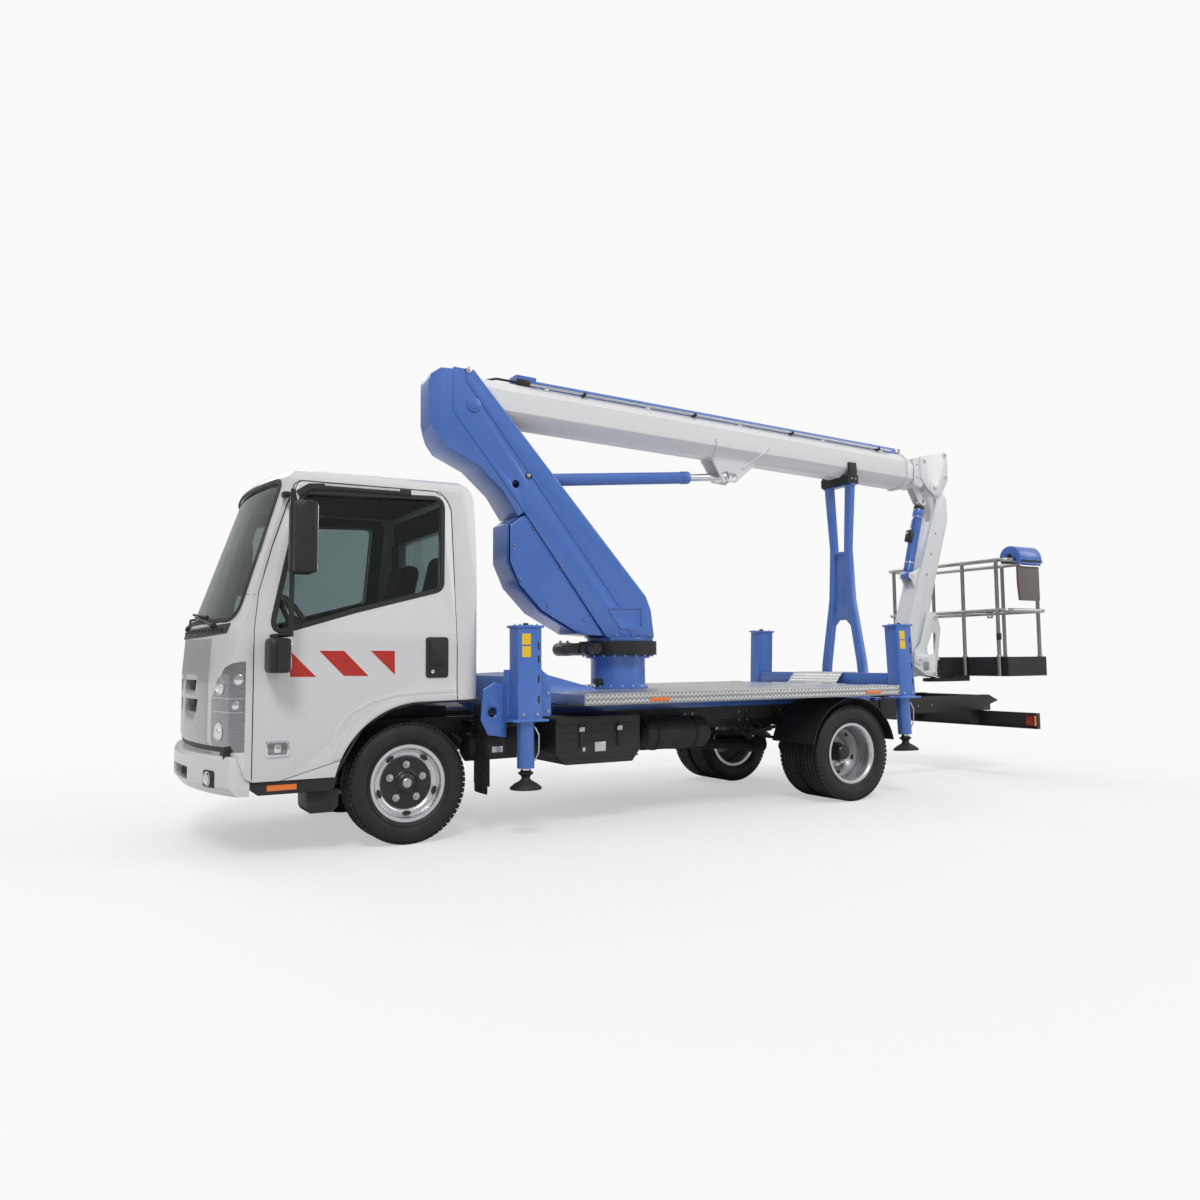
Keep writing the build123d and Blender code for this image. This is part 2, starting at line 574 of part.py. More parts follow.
def tail_rail():
    """The left side of the frame extension, a deeper channel bolted outside the rail."""
    out = RAIL_OUT_Y + TAIL_WALL
    web = slab((TAIL_REAR_X, TAIL_LAP_X), (RAIL_OUT_Y, out), (TAIL_LOW_Z, TAIL_TOP_Z))
    behind = (TAIL_REAR_X, FRAME_REAR_X - 2)
    top = slab(behind, (out - RAIL_FLANGE, out), (TAIL_TOP_Z - TAIL_WALL, TAIL_TOP_Z))
    bottom = slab(behind, (out - RAIL_FLANGE, out), (TAIL_LOW_Z, TAIL_LOW_Z + TAIL_WALL))
    wedge_face = outline(((TAIL_REAR_X + 1, TAIL_TOP_Z - 6), (TAIL_REAR_X - 110, TAIL_TOP_Z - 52),
                          (TAIL_REAR_X + 1, TAIL_TOP_Z - 84)))
    wedge = side_prism(wedge_face, (out - 14, out))
    return web + top + bottom + wedge


def chassis_frame():
    """Ladder frame: two channels, cross members and the bolted tail."""
    frame = both_sides(frame_rail() + tail_rail())
    inner = RAIL_OUT_Y - RAIL_WALL
    for x in CROSS_MEMBERS_X:
        frame += slab((x - CROSS_MEMBER_W / 2, x + CROSS_MEMBER_W / 2), (-inner, inner),
                      (RAIL_LOW_Z + 8, RAIL_LOW_Z + 70))
    end = RAIL_OUT_Y + TAIL_WALL - 5
    frame += slab((TAIL_REAR_X, TAIL_REAR_X + 60), (-end, end), (TAIL_LOW_Z + 4, TAIL_TOP_Z - 4))
    return frame


def under_run_bar():
    """Tail bar with its two hangers under the frame extension."""
    z = BAR_LOW_Z, BAR_TOP_Z
    x = BAR_X, BAR_X + BAR_THICK
    wall = 5.0
    beam = slab(x, (-BAR_HALF_Y, BAR_HALF_Y), z)
    beam -= slab((x[0] + wall, x[1] + 1), (-BAR_HALF_Y + wall, BAR_HALF_Y - wall), (z[0] + wall, z[1] - wall))
    hanger = slab((x[0] + wall - 1, x[1] + 90), (345, 357), (z[0] + 20, TAIL_LOW_Z - SEAT_GAP))
    return beam + both_sides(hanger)


def engine_block():
    return slab(ENGINE_X, (-ENGINE_HALF_Y, ENGINE_HALF_Y), ENGINE_Z)


def side_boxes():
    """Battery and tank boxes that hang outside the rails between the axles."""
    seat = RAIL_OUT_Y + SEAT_GAP
    left = side_prism(outline(BATTERY_OUTLINE, 12), (seat, BOX_OUT_Y))
    right = side_prism(outline(TANK_OUTLINE, 14), (-BOX_OUT_Y + 20, -seat))
    return left + right


def mud_wing(x, y, radius, start, end):
    """A curved wing over a wheel, its sheet along an arc about the hub."""
    sheet = arc_band(radius, radius + WING_SHEET, start, end)
    return Pos(x, 0, HUB_Z) * side_prism(sheet, y)


def arc_band(inner, outer, start, end):
    """The flat outline between two arcs about the origin, from one angle to another."""
    a, b = radians(start), radians(end)
    m = (a + b) / 2
    low = ThreePointArc((inner * cos(a), inner * sin(a)), (inner * cos(m), inner * sin(m)),
                        (inner * cos(b), inner * sin(b)))
    high = ThreePointArc((outer * cos(b), outer * sin(b)), (outer * cos(m), outer * sin(m)),
                         (outer * cos(a), outer * sin(a)))
    return make_face(low + Line(low @ 1, high @ 0) + high + Line(high @ 1, low @ 0))


def mudguards():
    """Rear wings, and flaps behind the front wheels."""
    y_in = REAR_TRACK / 2 - TWIN_PITCH / 2 - TYRE_W / 2 - 10
    y_out = REAR_TRACK / 2 + TWIN_PITCH / 2 + TYRE_W / 2 + 15
    wing = mud_wing(-WHEELBASE, (y_in, y_out), WHEEL_R + WING_GAP, 12, 168)
    stay_z = HUB_Z + 270
    for x in (-WHEELBASE - 320, -WHEELBASE + 290):
        wing += slab((x, x + 30), (RAIL_OUT_Y + SEAT_GAP, y_in + 40), (stay_z, stay_z + 20))
    flap = slab((FLAP_X, FLAP_X + 8), FLAP_Y, (FLAP_LOW_Z, CAB_FLOOR_Z - 40))
    flap += slab((FLAP_X - 8, FLAP_X + 8), (RAIL_OUT_Y + SEAT_GAP, FLAP_Y[0] + 10),
                 (stay_z + 20, stay_z + 60))
    return both_sides(wing) + both_sides(flap)


# ---------------------------------------------------------------- cab
def cab_form(inset):
    """The closed outside of the cab, drawn in by inset on every side."""
    axis_x = CAB_NOSE_X - CAB_SWEEP_R
    lip = 60.0
    front = (
        (500.0, ARCH_FRONT[1] - 60),
        (CAB_NOSE_X - axis_x - 210, ARCH_FRONT[1] - 60),
        (CAB_NOSE_X - axis_x - lip, ARCH_FRONT[1] + 20),
        (CAB_NOSE_X - axis_x, GRILLE_LOW_Z + 60),
        (CAB_NOSE_X - axis_x, COWL_Z - 190),
        (CAB_NOSE_X - axis_x - 17, COWL_Z + 30),
        (SCREEN_BASE[0] - axis_x, SCREEN_BASE[1]),
        (SCREEN_TOP[0] - axis_x, SCREEN_TOP[1]),
        (500.0, CAB_ROOF_Z),
    )
    face = Polygon(*front, align=None)
    corner = face.vertices().sort_by(Axis.Y)[-2:].sort_by(Axis.X)[-1]
    face = fillet(corner, 110)
    face = offset(face, -inset) if inset else face
    turn = revolve(Rot(0, 0, -40) * (Plane.XZ * face), axis=Axis.Z, revolution_arc=80)
    nose = Pos(axis_x, 0, 0) * turn
    arch = ThreePointArc(ARCH_FRONT, ARCH_MIDDLE, ARCH_REAR)
    roof_z = CAB_ROOF_Z + 6
    bend = ((CAB_REAR_X, roof_z - CAB_ROOF_R), (CAB_REAR_X + CAB_ROOF_R * 0.29, roof_z - CAB_ROOF_R * 0.29),
            (CAB_REAR_X + CAB_ROOF_R, roof_z))
    rear = Polyline(ARCH_REAR, (CAB_REAR_X, CAB_FLOOR_Z), bend[0])
    rim = Polyline(bend[2], (1500, CAB_ROOF_Z + 60), (1500, ARCH_FRONT[1]), ARCH_FRONT)
    side = make_face(arch + rear + ThreePointArc(*bend) + rim)
    side = offset(side, -inset) if inset else side
    cross = ((-CAB_HALF_Y, 300), (CAB_HALF_Y, 300), (CAB_HALF_Y, CAB_WAIST_Z), (CAB_EAVE_Y, CAB_ROOF_Z - 8),
             (0, CAB_ROOF_Z + 4), (-CAB_EAVE_Y, CAB_ROOF_Z - 8), (-CAB_HALF_Y, CAB_WAIST_Z))
    face = Polygon(*cross, align=None)
    top = face.vertices().sort_by(Axis.Y)[-3:].sort_by(Axis.X)
    face = fillet([top[0], top[-1]], 90)
    waist = [v for v in face.vertices() if abs(v.Y - CAB_WAIST_Z) < 1]
    face = fillet(waist, 600)
    face = offset(face, -inset) if inset else face
    half, rear_x = CAB_HALF_Y - inset, CAB_REAR_X + inset
    block = Polygon((rear_x, -half), (CAB_NOSE_X + 300, -half), (CAB_NOSE_X + 300, half), (rear_x, half),
                    align=None)
    plan = (Pos(axis_x, 0) * Circle(CAB_SWEEP_R - inset)) & block
    if inset < CAB_CORNER_R / 2:
        plan = fillet(plan.face().vertices(), CAB_CORNER_R - inset)
    form = nose & side_prism(side, (-1000, 1000)) & front_prism(face, (-900, 1500))
    return form & flat_prism(plan, (ARCH_FRONT[1] - 100, CAB_ROOF_Z + 100))


def arch_lip():
    """Raised lip that follows the wheel arch on the left side."""
    arch = ThreePointArc(ARCH_FRONT, ARCH_MIDDLE, ARCH_REAR)
    sector = make_face(arch + Polyline(ARCH_REAR, (CAB_REAR_X, ARCH_REAR[1]), (CAB_REAR_X, ARCH_FRONT[1]),
                                       ARCH_FRONT))
    band = offset(sector, ARCH_LIP) - offset(sector, ARCH_LIP_START)
    start_x = CAB_REAR_X + CAB_CORNER_R + ARCH_LIP_START
    keep = Polygon((start_x, ARCH_REAR[1] - 100), (800, ARCH_FRONT[1]), (800, 1200), (start_x, 1200),
                   align=None)
    return side_prism(band & keep, (CAB_HALF_Y - CAB_WALL / 2, CAB_HALF_Y + ARCH_LIP_PROUD))


def cab_body(inset):
    """The cab's form over the tunnel for frame and engine."""
    form = cab_form(inset)
    tunnel = slab((-900, TUNNEL_FRONT_X + inset), (-TUNNEL_HALF_Y - inset, TUNNEL_HALF_Y + inset),
                  (0, TUNNEL_TOP_Z + inset))
    return form - tunnel


def door_region(gap):
    """The door's outline through the left side, drawn in by gap; low down it is only as deep as the skin."""
    face = Polygon(*DOOR_SEAM, align=None)
    face = offset(face, -gap) if gap else face
    region = side_prism(face, (CAB_HALF_Y - 200, CAB_HALF_Y + 60))
    sill_y = CAB_HALF_Y - DOOR_THICK - SHUT_GAP + gap
    return region - slab((CAB_REAR_X, CAB_NOSE_X), (0, sill_y), (0, CAB_FLOOR_Z + 60))


def window_prism(points, radius, gap, y):
    face = outline(points, radius)
    face = offset(face, -gap) if gap else face
    return side_prism(face, y)


def windscreen_prism(gap):
    points = ((-SCREEN_HALF_LOW, SCREEN_LOW_Z), (SCREEN_HALF_LOW, SCREEN_LOW_Z),
              (SCREEN_HALF_TOP, SCREEN_HIGH_Z), (-SCREEN_HALF_TOP, SCREEN_HIGH_Z))
    face = outline(points, 60)
    face = offset(face, -gap) if gap else face
    return front_prism(face, (400, 1400))


def rear_window_prism(gap):
    points = ((-REAR_WINDOW_HALF_Y, REAR_WINDOW_Z[0]), (REAR_WINDOW_HALF_Y, REAR_WINDOW_Z[0]),
              (REAR_WINDOW_HALF_Y, REAR_WINDOW_Z[1]), (-REAR_WINDOW_HALF_Y, REAR_WINDOW_Z[1]))
    face = outline(points, 50)
    face = offset(face, -gap) if gap else face
    return front_prism(face, (CAB_REAR_X - 50, CAB_REAR_X + 120))


def lamp_region(gap):
    """Left corner of the front that holds the headlamp."""
    points = ((LAMP_Y[0] + gap, LAMP_Z[0] + gap), (LAMP_Y[1], LAMP_Z[0] + gap), (LAMP_Y[1], LAMP_Z[1] - gap),
              (LAMP_Y[0] + 150, LAMP_Z[1] - 40), (LAMP_Y[0] + gap, LAMP_Z[1] - 210))
    return front_prism(Polygon(*points, align=None), (LAMP_X[0] + gap, LAMP_X[1] + 60))


def nose_region(gap):
    """Middle of the front that holds the grey nose panel."""
    return slab((1040 + gap, 1300), (-560 + gap, 560 - gap), (GRILLE_LOW_Z - 200, COWL_Z - gap))


def cab_pieces():
    """Shell, doors, nose panel, lamps and glass, all cut from one body."""
    outer = cab_body(0) + both_sides(arch_lip())
    hollow = outer - cab_body(CAB_WALL)
    sides = door_region(0) + mirrored(door_region(0))
    windows = windscreen_prism(0) + rear_window_prism(0)
    lamps = both_sides(lamp_region(0))
    shell = hollow - sides - windows - lamps - nose_region(0)
    door_skin = outer & door_region(SHUT_GAP)
    door = door_skin - cab_body(DOOR_THICK)
    window_y = (CAB_HALF_Y - 300, CAB_HALF_Y + 60)
    door -= window_prism(DOOR_WINDOW, 45, 0, window_y)
    glass_band = cab_body(GLASS_DEPTH) - cab_body(GLASS_DEPTH + GLASS)
    door_glass = glass_band & window_prism(DOOR_WINDOW, 45, SEAT_GAP, window_y)
    screens = glass_band & (windscreen_prism(SEAT_GAP) + rear_window_prism(SEAT_GAP))
    lamp = hollow & both_sides(lamp_region(SEAT_GAP))
    nose = (hollow & nose_region(SEAT_GAP)) - grille_slots()
    return shell, door, door_glass, screens, lamp, nose


def grille_slots():
    """Openings of the nose panel, two rows of air slots."""
    slots = None
    for z, height, half in ((930, 60, 330), (815, 74, 360)):
        for y in (-1, 1):
            face = outline(((y * 60, z - height / 2), (y * half, z - height / 2),
                            (y * (half + 24), z + height / 2), (y * 60, z + height / 2)))
            slot = front_prism(face, (1000, 1200))
            slots = slot if slots is None else slots + slot
    return slots


def bumper():
    """Wrapped front bumper, hollow behind, with brackets to the frame."""
    axis_x = BUMPER_NOSE_X - BUMPER_SWEEP_R
    solids = []
    for inset in (0.0, BUMPER_WALL):
        low, high = BUMPER_Z[0], BUMPER_Z[1]
        r = BUMPER_SWEEP_R - inset
        face = Polygon((1200, low - 1), (r - 40, low - 1), (r, low + 50), (r, high - 20), (r - 12, high + 1),
                       (1200, high + 1), align=None)
        ring = Pos(axis_x, 0, 0) * revolve(Rot(0, 0, -40) * (Plane.XZ * face), axis=Axis.Z, revolution_arc=80)
        half = BUMPER_HALF_Y - inset
        plan = outline(((BUMPER_REAR_X - 1 - inset, -half), (1400, -half), (1400, half),
                        (BUMPER_REAR_X - 1 - inset, half)))
        solids.append(ring & flat_prism(plan, (low, high)))
    cover = solids[0] - solids[1] - slab((0, BUMPER_REAR_X), (-1000, 1000), (0, 1000))
    cover -= slab((1000, 1300), (-330, 330), (BUMPER_Z[0] + 55, BUMPER_Z[0] + 125))
    bracket = slab((940, BUMPER_NOSE_X - 60), (RAIL_OUT_Y + SEAT_GAP, RAIL_OUT_Y + 12),
                   (BUMPER_Z[0] + 120, BUMPER_Z[1] + 60))
    cut = slab((0, 1300), (0, 900), (BUMPER_Z[1] - 1, 900)) - slab((0, FRAME_FRONT_X - 5), (0, 900), (0, 900))
    return cover + both_sides(bracket - cut) - cab_body(-SEAT_GAP)


def dashboard():
    """Dashboard with its binnacle, steering column and wheel."""
    board = side_prism(outline(DASH_OUTLINE, 25), (-CAB_HALF_Y + 100, CAB_HALF_Y - 100))
    x, z = WHEEL_CENTRE
    foot_x, foot_z = DASH_OUTLINE[4][0] + 60, DASH_OUTLINE[4][1]
    column = bar((foot_x, SEAT_Y, foot_z), (x, SEAT_Y, z), 28)
    tilt = Plane(origin=(x, SEAT_Y, z), z_dir=(x - foot_x, 0, z - foot_z))
    ring = tilt * Torus(STEER_WHEEL_R, 15)
    spokes = tilt * (Box(2 * STEER_WHEEL_R - 10, 30, 14) + Cylinder(60, 30))
    return (board + column + ring + spokes) & cab_body(CAB_WALL + SEAT_GAP)


def seat(y, width):
    """One seat: cushion, back and head rest on a plinth."""
    half = width / 2
    top = SEAT_BASE_Z
    base = slab((-300, 250), (y - half + 30, y + half - 30), (CAB_FLOOR_Z + CAB_WALL + SEAT_GAP, top))
    cushion_face = outline(((-300, top), (270, top), (270, top + 120), (-160, top + 110), (-300, top + 110)),
                           30)
    cushion = side_prism(cushion_face, (y - half, y + half))
    back_face = outline(((-160, top + 100), (-300, top + 100), (-345, 1620), (-250, 1640)), 25)
    back = side_prism(back_face, (y - half, y + half))
    head_face = outline(((-250, 1650), (-330, 1650), (-340, 1800), (-265, 1800)), 22)
    head = side_prism(head_face, (y - half / 2, y + half / 2))
    neck = slab((-305, -280), (y - 40, y + 40), (1600, 1680))
    return base + cushion + back + head + neck


def seats():
    """Driver's and outer passenger's seats, and a narrow one between them."""
    middle = 2 * (SEAT_Y - SEAT_W / 2 - 20)
    return seat(SEAT_Y, SEAT_W) + seat(-SEAT_Y, SEAT_W) + seat(0, middle)


def mirror_arm():
    """Left mirrors: a tall head and a small lower one on a bent stay from the door."""
    inner, outer = MIRROR_Y - MIRROR_HALF_Y, MIRROR_Y + MIRROR_HALF_Y
    plan = outline(((MIRROR_X[0], inner), (MIRROR_X[1] - 34, inner), (MIRROR_X[1], MIRROR_Y),
                    (MIRROR_X[1] - 34, outer), (MIRROR_X[0], outer)), 12)
    head = flat_prism(plan, MIRROR_Z)
    low_plan = outline(((LOW_MIRROR_X[0], inner + 36), (LOW_MIRROR_X[1] - 26, inner + 36),
                        (LOW_MIRROR_X[1], MIRROR_Y), (LOW_MIRROR_X[1] - 26, outer - 10),
                        (LOW_MIRROR_X[0], outer - 10)), 12)
    low = flat_prism(low_plan, LOW_MIRROR_Z)
    top = STAY_Z[1]
    stay = bar((STAY_X, MIRROR_Y, STAY_Z[0] - STAY_R), (STAY_X, MIRROR_Y, top + STAY_R), STAY_R)
    stay += bar((STAY_X, MIRROR_Y, top), (STAY_X - 58, STAY_FOOT_Y, top - 20), STAY_R)
    stay += bar((STAY_X, MIRROR_Y, STAY_Z[0]), (STAY_X + 90, CAB_HALF_Y - 30, STAY_Z[0] - 10), STAY_R)
    neck_x = LOW_MIRROR_X[0] + 40
    stay += bar((neck_x, MIRROR_Y - 60, LOW_MIRROR_Z[1] - 2), (neck_x, MIRROR_Y - 60, STAY_Z[0] - 4),
                STAY_R - 3)
    for z in (MIRROR_Z[0] + 70, MIRROR_Z[1] - 70):
        stay += slab((MIRROR_X[1] - 40, STAY_X), (MIRROR_Y - 16, MIRROR_Y + 16), (z - 18, z + 18))
    return head + low + stay


# ---------------------------------------------------------------- lift base
def leg_frame(leg):
    """The placing of one leg: its own Z is the leg's axis, its X the truck's."""
    name, x, y, splay, rise = leg
    return Pos(x, y, rise) * Pos(0, 0, BEAM_TOP_Z) * Rot(splay, 0, 0) * Pos(0, 0, -BEAM_TOP_Z)


def leg_housing(leg):
    """Square housing over a round cylinder, bored for the leg's rod, with its cap and sole plates."""
    a, b = LEG_BOX_X / 2, LEG_BOX / 2
    box = slab((-a, a), (-b, b), (LEG_BOX_LOW_Z, LEG_TOP_Z))
    cap = slab((-a - 15, a + 15), (-b - 8, b + 8), (LEG_TOP_Z, LEG_TOP_Z + 16))
    sole = slab((-a - 38, a + 38), (-b - 22, b + 22), (LEG_BOX_LOW_Z - 14, LEG_BOX_LOW_Z))
    tube_mid = Pos(0, 0, (LEG_TUBE_LOW_Z + LEG_BOX_LOW_Z) / 2)
    tube = tube_mid * Cylinder(LEG_TUBE_R, LEG_BOX_LOW_Z - LEG_TUBE_LOW_Z)
    bore_top = LEG_TOP_Z - 60
    bore_mid = Pos(0, 0, (LEG_TUBE_LOW_Z + bore_top) / 2)
    bore = bore_mid * Cylinder(LEG_ROD_R + RUNNING_FIT, bore_top - LEG_TUBE_LOW_Z)
    return leg_frame(leg) * (box + cap + sole + tube - bore)


def leg_foot(leg):
    """The rod that a leg lowers, with its ball and swivelling foot."""
    rod_top = LEG_TOP_Z - 80
    rod_low = FOOT_LOW_Z + 60
    rod = Pos(0, 0, (rod_low + rod_top) / 2) * Cylinder(LEG_ROD_R, rod_top - rod_low)
    profile = ((0, FOOT_LOW_Z), (FOOT_R, FOOT_LOW_Z), (FOOT_R, FOOT_LOW_Z + 12),
               (FOOT_R - 28, FOOT_LOW_Z + 34), (34, FOOT_LOW_Z + 52), (24, FOOT_LOW_Z + 66),
               (30, FOOT_LOW_Z + 80), (46, FOOT_LOW_Z + 92), (46, FOOT_LOW_Z + 100), (0, FOOT_LOW_Z + 100))
    foot = revolve(Plane.XZ * Polygon(*profile, align=None), axis=Axis.Z)
    return leg_frame(leg) * (rod + foot)


def outriggers():
    """The four leg housings with the flanges that bolt them to their beams."""
    pieces = None
    for leg in LEGS:
        housing = leg_housing(leg)
        pieces = housing if pieces is None else pieces + housing
    return pieces


def front_cross_beam():
    """Box beam that bolts to the front legs, with its end plates and the holed gussets ahead of them."""
    reach = LEGS[0][2] - LEG_BOX / 2 - SEAT_GAP
    low, high = LEG_BOX_LOW_Z + 25, BEAM_TOP_Z + 30
    beam = slab(FRONT_BEAM_X, (-reach + 60, reach - 60), (low, high))
    beam -= slab((FRONT_BEAM_X[0] + 12, FRONT_BEAM_X[1] - 12), (-reach, reach), (low + 12, high - 12))
    end = slab((FRONT_BEAM_X[0], LEGS[0][1] + LEG_BOX_X / 2 + 10), (reach - 62, reach), (low - 45, high + 40))
    gusset_y = (reach - 90, reach - 74)
    gusset = side_prism(outline(GUSSET_OUTLINE, 10), gusset_y)
    gusset -= pin(*GUSSET_HOLE, GUSSET_HOLE_R, (gusset_y[0] - 1, gusset_y[1] + 1))
    return beam + both_sides(end + Pos(FRONT_BEAM_X[1], 0, 0) * gusset)


def rear_cross_beam():
    """Box beam between the rear legs, open at its ends, on a pad over the rails."""
    reach = LEGS[2][2] - LEG_BOX / 2 + 8
    beam = slab(REAR_BEAM_X, (-reach, reach), (BEAM_TOP_Z - 90, BEAM_TOP_Z))
    beam -= slab((REAR_BEAM_X[0] + 10, REAR_BEAM_X[1] - 10), (-reach - 1, reach + 1),
                 (BEAM_TOP_Z - 80, BEAM_TOP_Z - 10))
    pad = slab(REAR_BEAM_X, (-RAIL_OUT_Y, RAIL_OUT_Y), (SUBFRAME_TOP_Z - 20, BEAM_TOP_Z - 88))
    pad -= slab(REAR_BEAM_X, (-RAIL_OUT_Y + 60, RAIL_OUT_Y - 60), (SUBFRAME_TOP_Z - 21, BEAM_TOP_Z - 87))
    return beam + pad


def spine():
    """Folded housing that slopes from the front beam back to the deck, open below."""
    rear_x, slope_x, head_x = SPINE_X
    high = BEAM_TOP_Z + 30
    face = outline(((FRONT_BEAM_X[0] + 2, RAIL_TOP_Z), (FRONT_BEAM_X[0] + 2, high), (head_x, high + 10),
                    (slope_x, DECK_TOP_Z + 20), (rear_x, DECK_TOP_Z - 20), (rear_x, RAIL_TOP_Z)))
    core = outline(((FRONT_BEAM_X[0] - 12, RAIL_TOP_Z - 1), (FRONT_BEAM_X[0] - 12, high - 12),
                    (head_x, high - 2), (slope_x, DECK_TOP_Z + 8), (rear_x + 12, DECK_TOP_Z - 30),
                    (rear_x + 12, RAIL_TOP_Z - 1)))
    half = RAIL_OUT_Y - 20
    return side_prism(face, (-half, half)) - side_prism(core, (-half + 12, half - 12))


def subframe():
    """Bearers on the chassis rails with both cross beams, the column's bed and the spine between them."""
    bearer = slab((REAR_BEAM_X[0] - 60, FRONT_BEAM_X[1]), (RAIL_OUT_Y - 75, RAIL_OUT_Y),
                  (RAIL_TOP_Z, SUBFRAME_TOP_Z))
    bearer -= slab((REAR_BEAM_X[0] - 70, FRONT_BEAM_X[1] - 10), (RAIL_OUT_Y - 66, RAIL_OUT_Y - 9),
                   (RAIL_TOP_Z + 9, SUBFRAME_TOP_Z - 9))
    frame = both_sides(bearer) + front_cross_beam() + rear_cross_beam() + spine()
    bed = slab((SLEW_X - 320, SLEW_X + 320), (-RAIL_OUT_Y + 5, RAIL_OUT_Y - 5), (RAIL_TOP_Z, SUBFRAME_TOP_Z))
    bed -= slab((SLEW_X - 300, SLEW_X + 300), (-RAIL_OUT_Y + 80, RAIL_OUT_Y - 80),
                (RAIL_TOP_Z - 1, SUBFRAME_TOP_Z - 20))
    frame += bed
    for x in SUBFRAME_TIES_X:
        frame += slab((x - 30, x + 30), (-RAIL_OUT_Y + 70, RAIL_OUT_Y - 70),
                      (RAIL_TOP_Z + 10, SUBFRAME_TOP_Z - 6))
    for leg in LEGS:
        a, b = LEG_BOX_X / 2 + SEAT_GAP, LEG_BOX / 2 + SEAT_GAP
        frame -= leg_frame(leg) * slab((-a, a), (-b, b), (LEG_BOX_LOW_Z, LEG_TOP_Z))
        frame -= leg_frame(leg) * slab((-a - 40, a + 40), (-b - 24, b + 24),
                                       (LEG_BOX_LOW_Z - 15, LEG_BOX_LOW_Z + SEAT_GAP))
    return frame


def deck():
    """Aluminium deck: a thin floor with folded edges, on cross bearers, open round the column and spine."""
    floor = slab(DECK_X, (-DECK_HALF_Y, DECK_HALF_Y), (DECK_TOP_Z - DECK_EDGE, DECK_TOP_Z))
    floor -= slab((DECK_X[0] + DECK_SHEET, DECK_X[1] - DECK_SHEET),
                  (-DECK_HALF_Y + DECK_SHEET, DECK_HALF_Y - DECK_SHEET),
                  (DECK_TOP_Z - DECK_EDGE - 1, DECK_TOP_Z - DECK_SHEET))
    for x in DECK_BEARERS_X:
        floor += slab((x - 30, x + 30), (-DECK_HALF_Y + 2, DECK_HALF_Y - 2),
                      (DECK_TOP_Z - DECK_EDGE, DECK_TOP_Z - 2))
    spine_gap = RAIL_OUT_Y - 20 + SEAT_GAP
    floor -= slab((SPINE_X[0] - SEAT_GAP, 0), (-spine_gap, spine_gap), (RAIL_TOP_Z, BEAM_TOP_Z))
    floor -= Pos(SLEW_X, 0, DECK_TOP_Z) * Cylinder(COLUMN_R + SEAT_GAP + 26, 200)
    return floor


def boom_rest():
    """Splayed stand that the boom lies on, narrow at its waist, with a pressed infill plate."""
    half = REST_HALF_X
    foot = ((200, TAIL_TOP_Z), (270, TAIL_TOP_Z), (248, 1000), (138, 1560), (112, 2000),
            (158, REST_TOP_Z - 40), (158, REST_TOP_Z), (92, REST_TOP_Z), (60, 2000), (74, 1560), (176, 1000))
    legs = both_sides(front_prism(outline(foot), (REST_X - half, REST_X + half)))
    plate_face = outline(((-92, 1330), (-40, 1380), (40, 1380), (92, 1330), (68, 1980), (-68, 1980)))
    plate = front_prism(plate_face, (REST_X - 8, REST_X + 8))
    rib = slab((REST_X - half, REST_X + half), (-66, 66), (1950, 1975))
    top = slab((REST_X - half - 10, REST_X + half + 10), (-175, 175), (REST_TOP_Z - 14, REST_TOP_Z))
    shoe = slab((REST_X - half - 20, REST_X + half + 20), (-RAIL_OUT_Y, RAIL_OUT_Y),
                (RAIL_TOP_Z, TAIL_TOP_Z + 10))
    return legs + plate + rib + top + shoe


def rest_pad():
    """Rubber cradle on the stand, shaped to the boom's underside."""
    half = REST_HALF_X + 8
    block = slab((REST_X - half, REST_X + half), (-170, 170), (REST_TOP_Z + SEAT_GAP, REST_TOP_Z + REST_PAD))
    return block - boom_frame() * boom_tube(0, 0, BOOM_MOUTH, SEAT_GAP)


def pedestal():
    """The column that carries the turret, with its foot flange, ribs and top flange."""
    low = SUBFRAME_TOP_Z
    column = Pos(SLEW_X, 0, (low + COLUMN_TOP_Z) / 2) * Cylinder(COLUMN_R, COLUMN_TOP_Z - low)
    column -= Pos(SLEW_X, 0, (low + COLUMN_TOP_Z) / 2) * Cylinder(COLUMN_R - 14, COLUMN_TOP_Z - low)
    flange = Pos(SLEW_X, 0, COLUMN_TOP_Z - 12) * (Cylinder(COLUMN_R + 35, 24) - Cylinder(COLUMN_R - 14, 24))
    foot = Pos(SLEW_X, 0, low + 8) * (Cylinder(COLUMN_R + 24, 16) - Cylinder(COLUMN_R - 14, 16))
    return column + flange + foot


def slew_drive():
    """Slewing ring in its housing, with the worm gear's nose towards the cab."""
    low = COLUMN_TOP_Z
    height = SLEW_RING_TOP_Z - low
    mid = (low + SLEW_RING_TOP_Z) / 2
    ring = Pos(SLEW_X, 0, mid) * Cylinder(SLEW_RING_R, height)
    nose_plan = outline(((SLEW_X, -170), (SLEW_NOSE_X, -120), (SLEW_NOSE_X, 120), (SLEW_X, 170)))
    nose = flat_prism(nose_plan, (low + 14, SLEW_RING_TOP_Z - 22))
    worm = Pos(SLEW_X + SLEW_RING_R + 60, 0, mid - 6) * Rot(90, 0, 0) * Cylinder(46, 420)
    motor = Pos(SLEW_X + SLEW_RING_R + 60, 250, mid - 6) * Rot(90, 0, 0) * Cylinder(38, 120)
    bore = Pos(SLEW_X, 0, mid) * Cylinder(COLUMN_R - 60, height)
    return ring + nose + worm + motor - bore


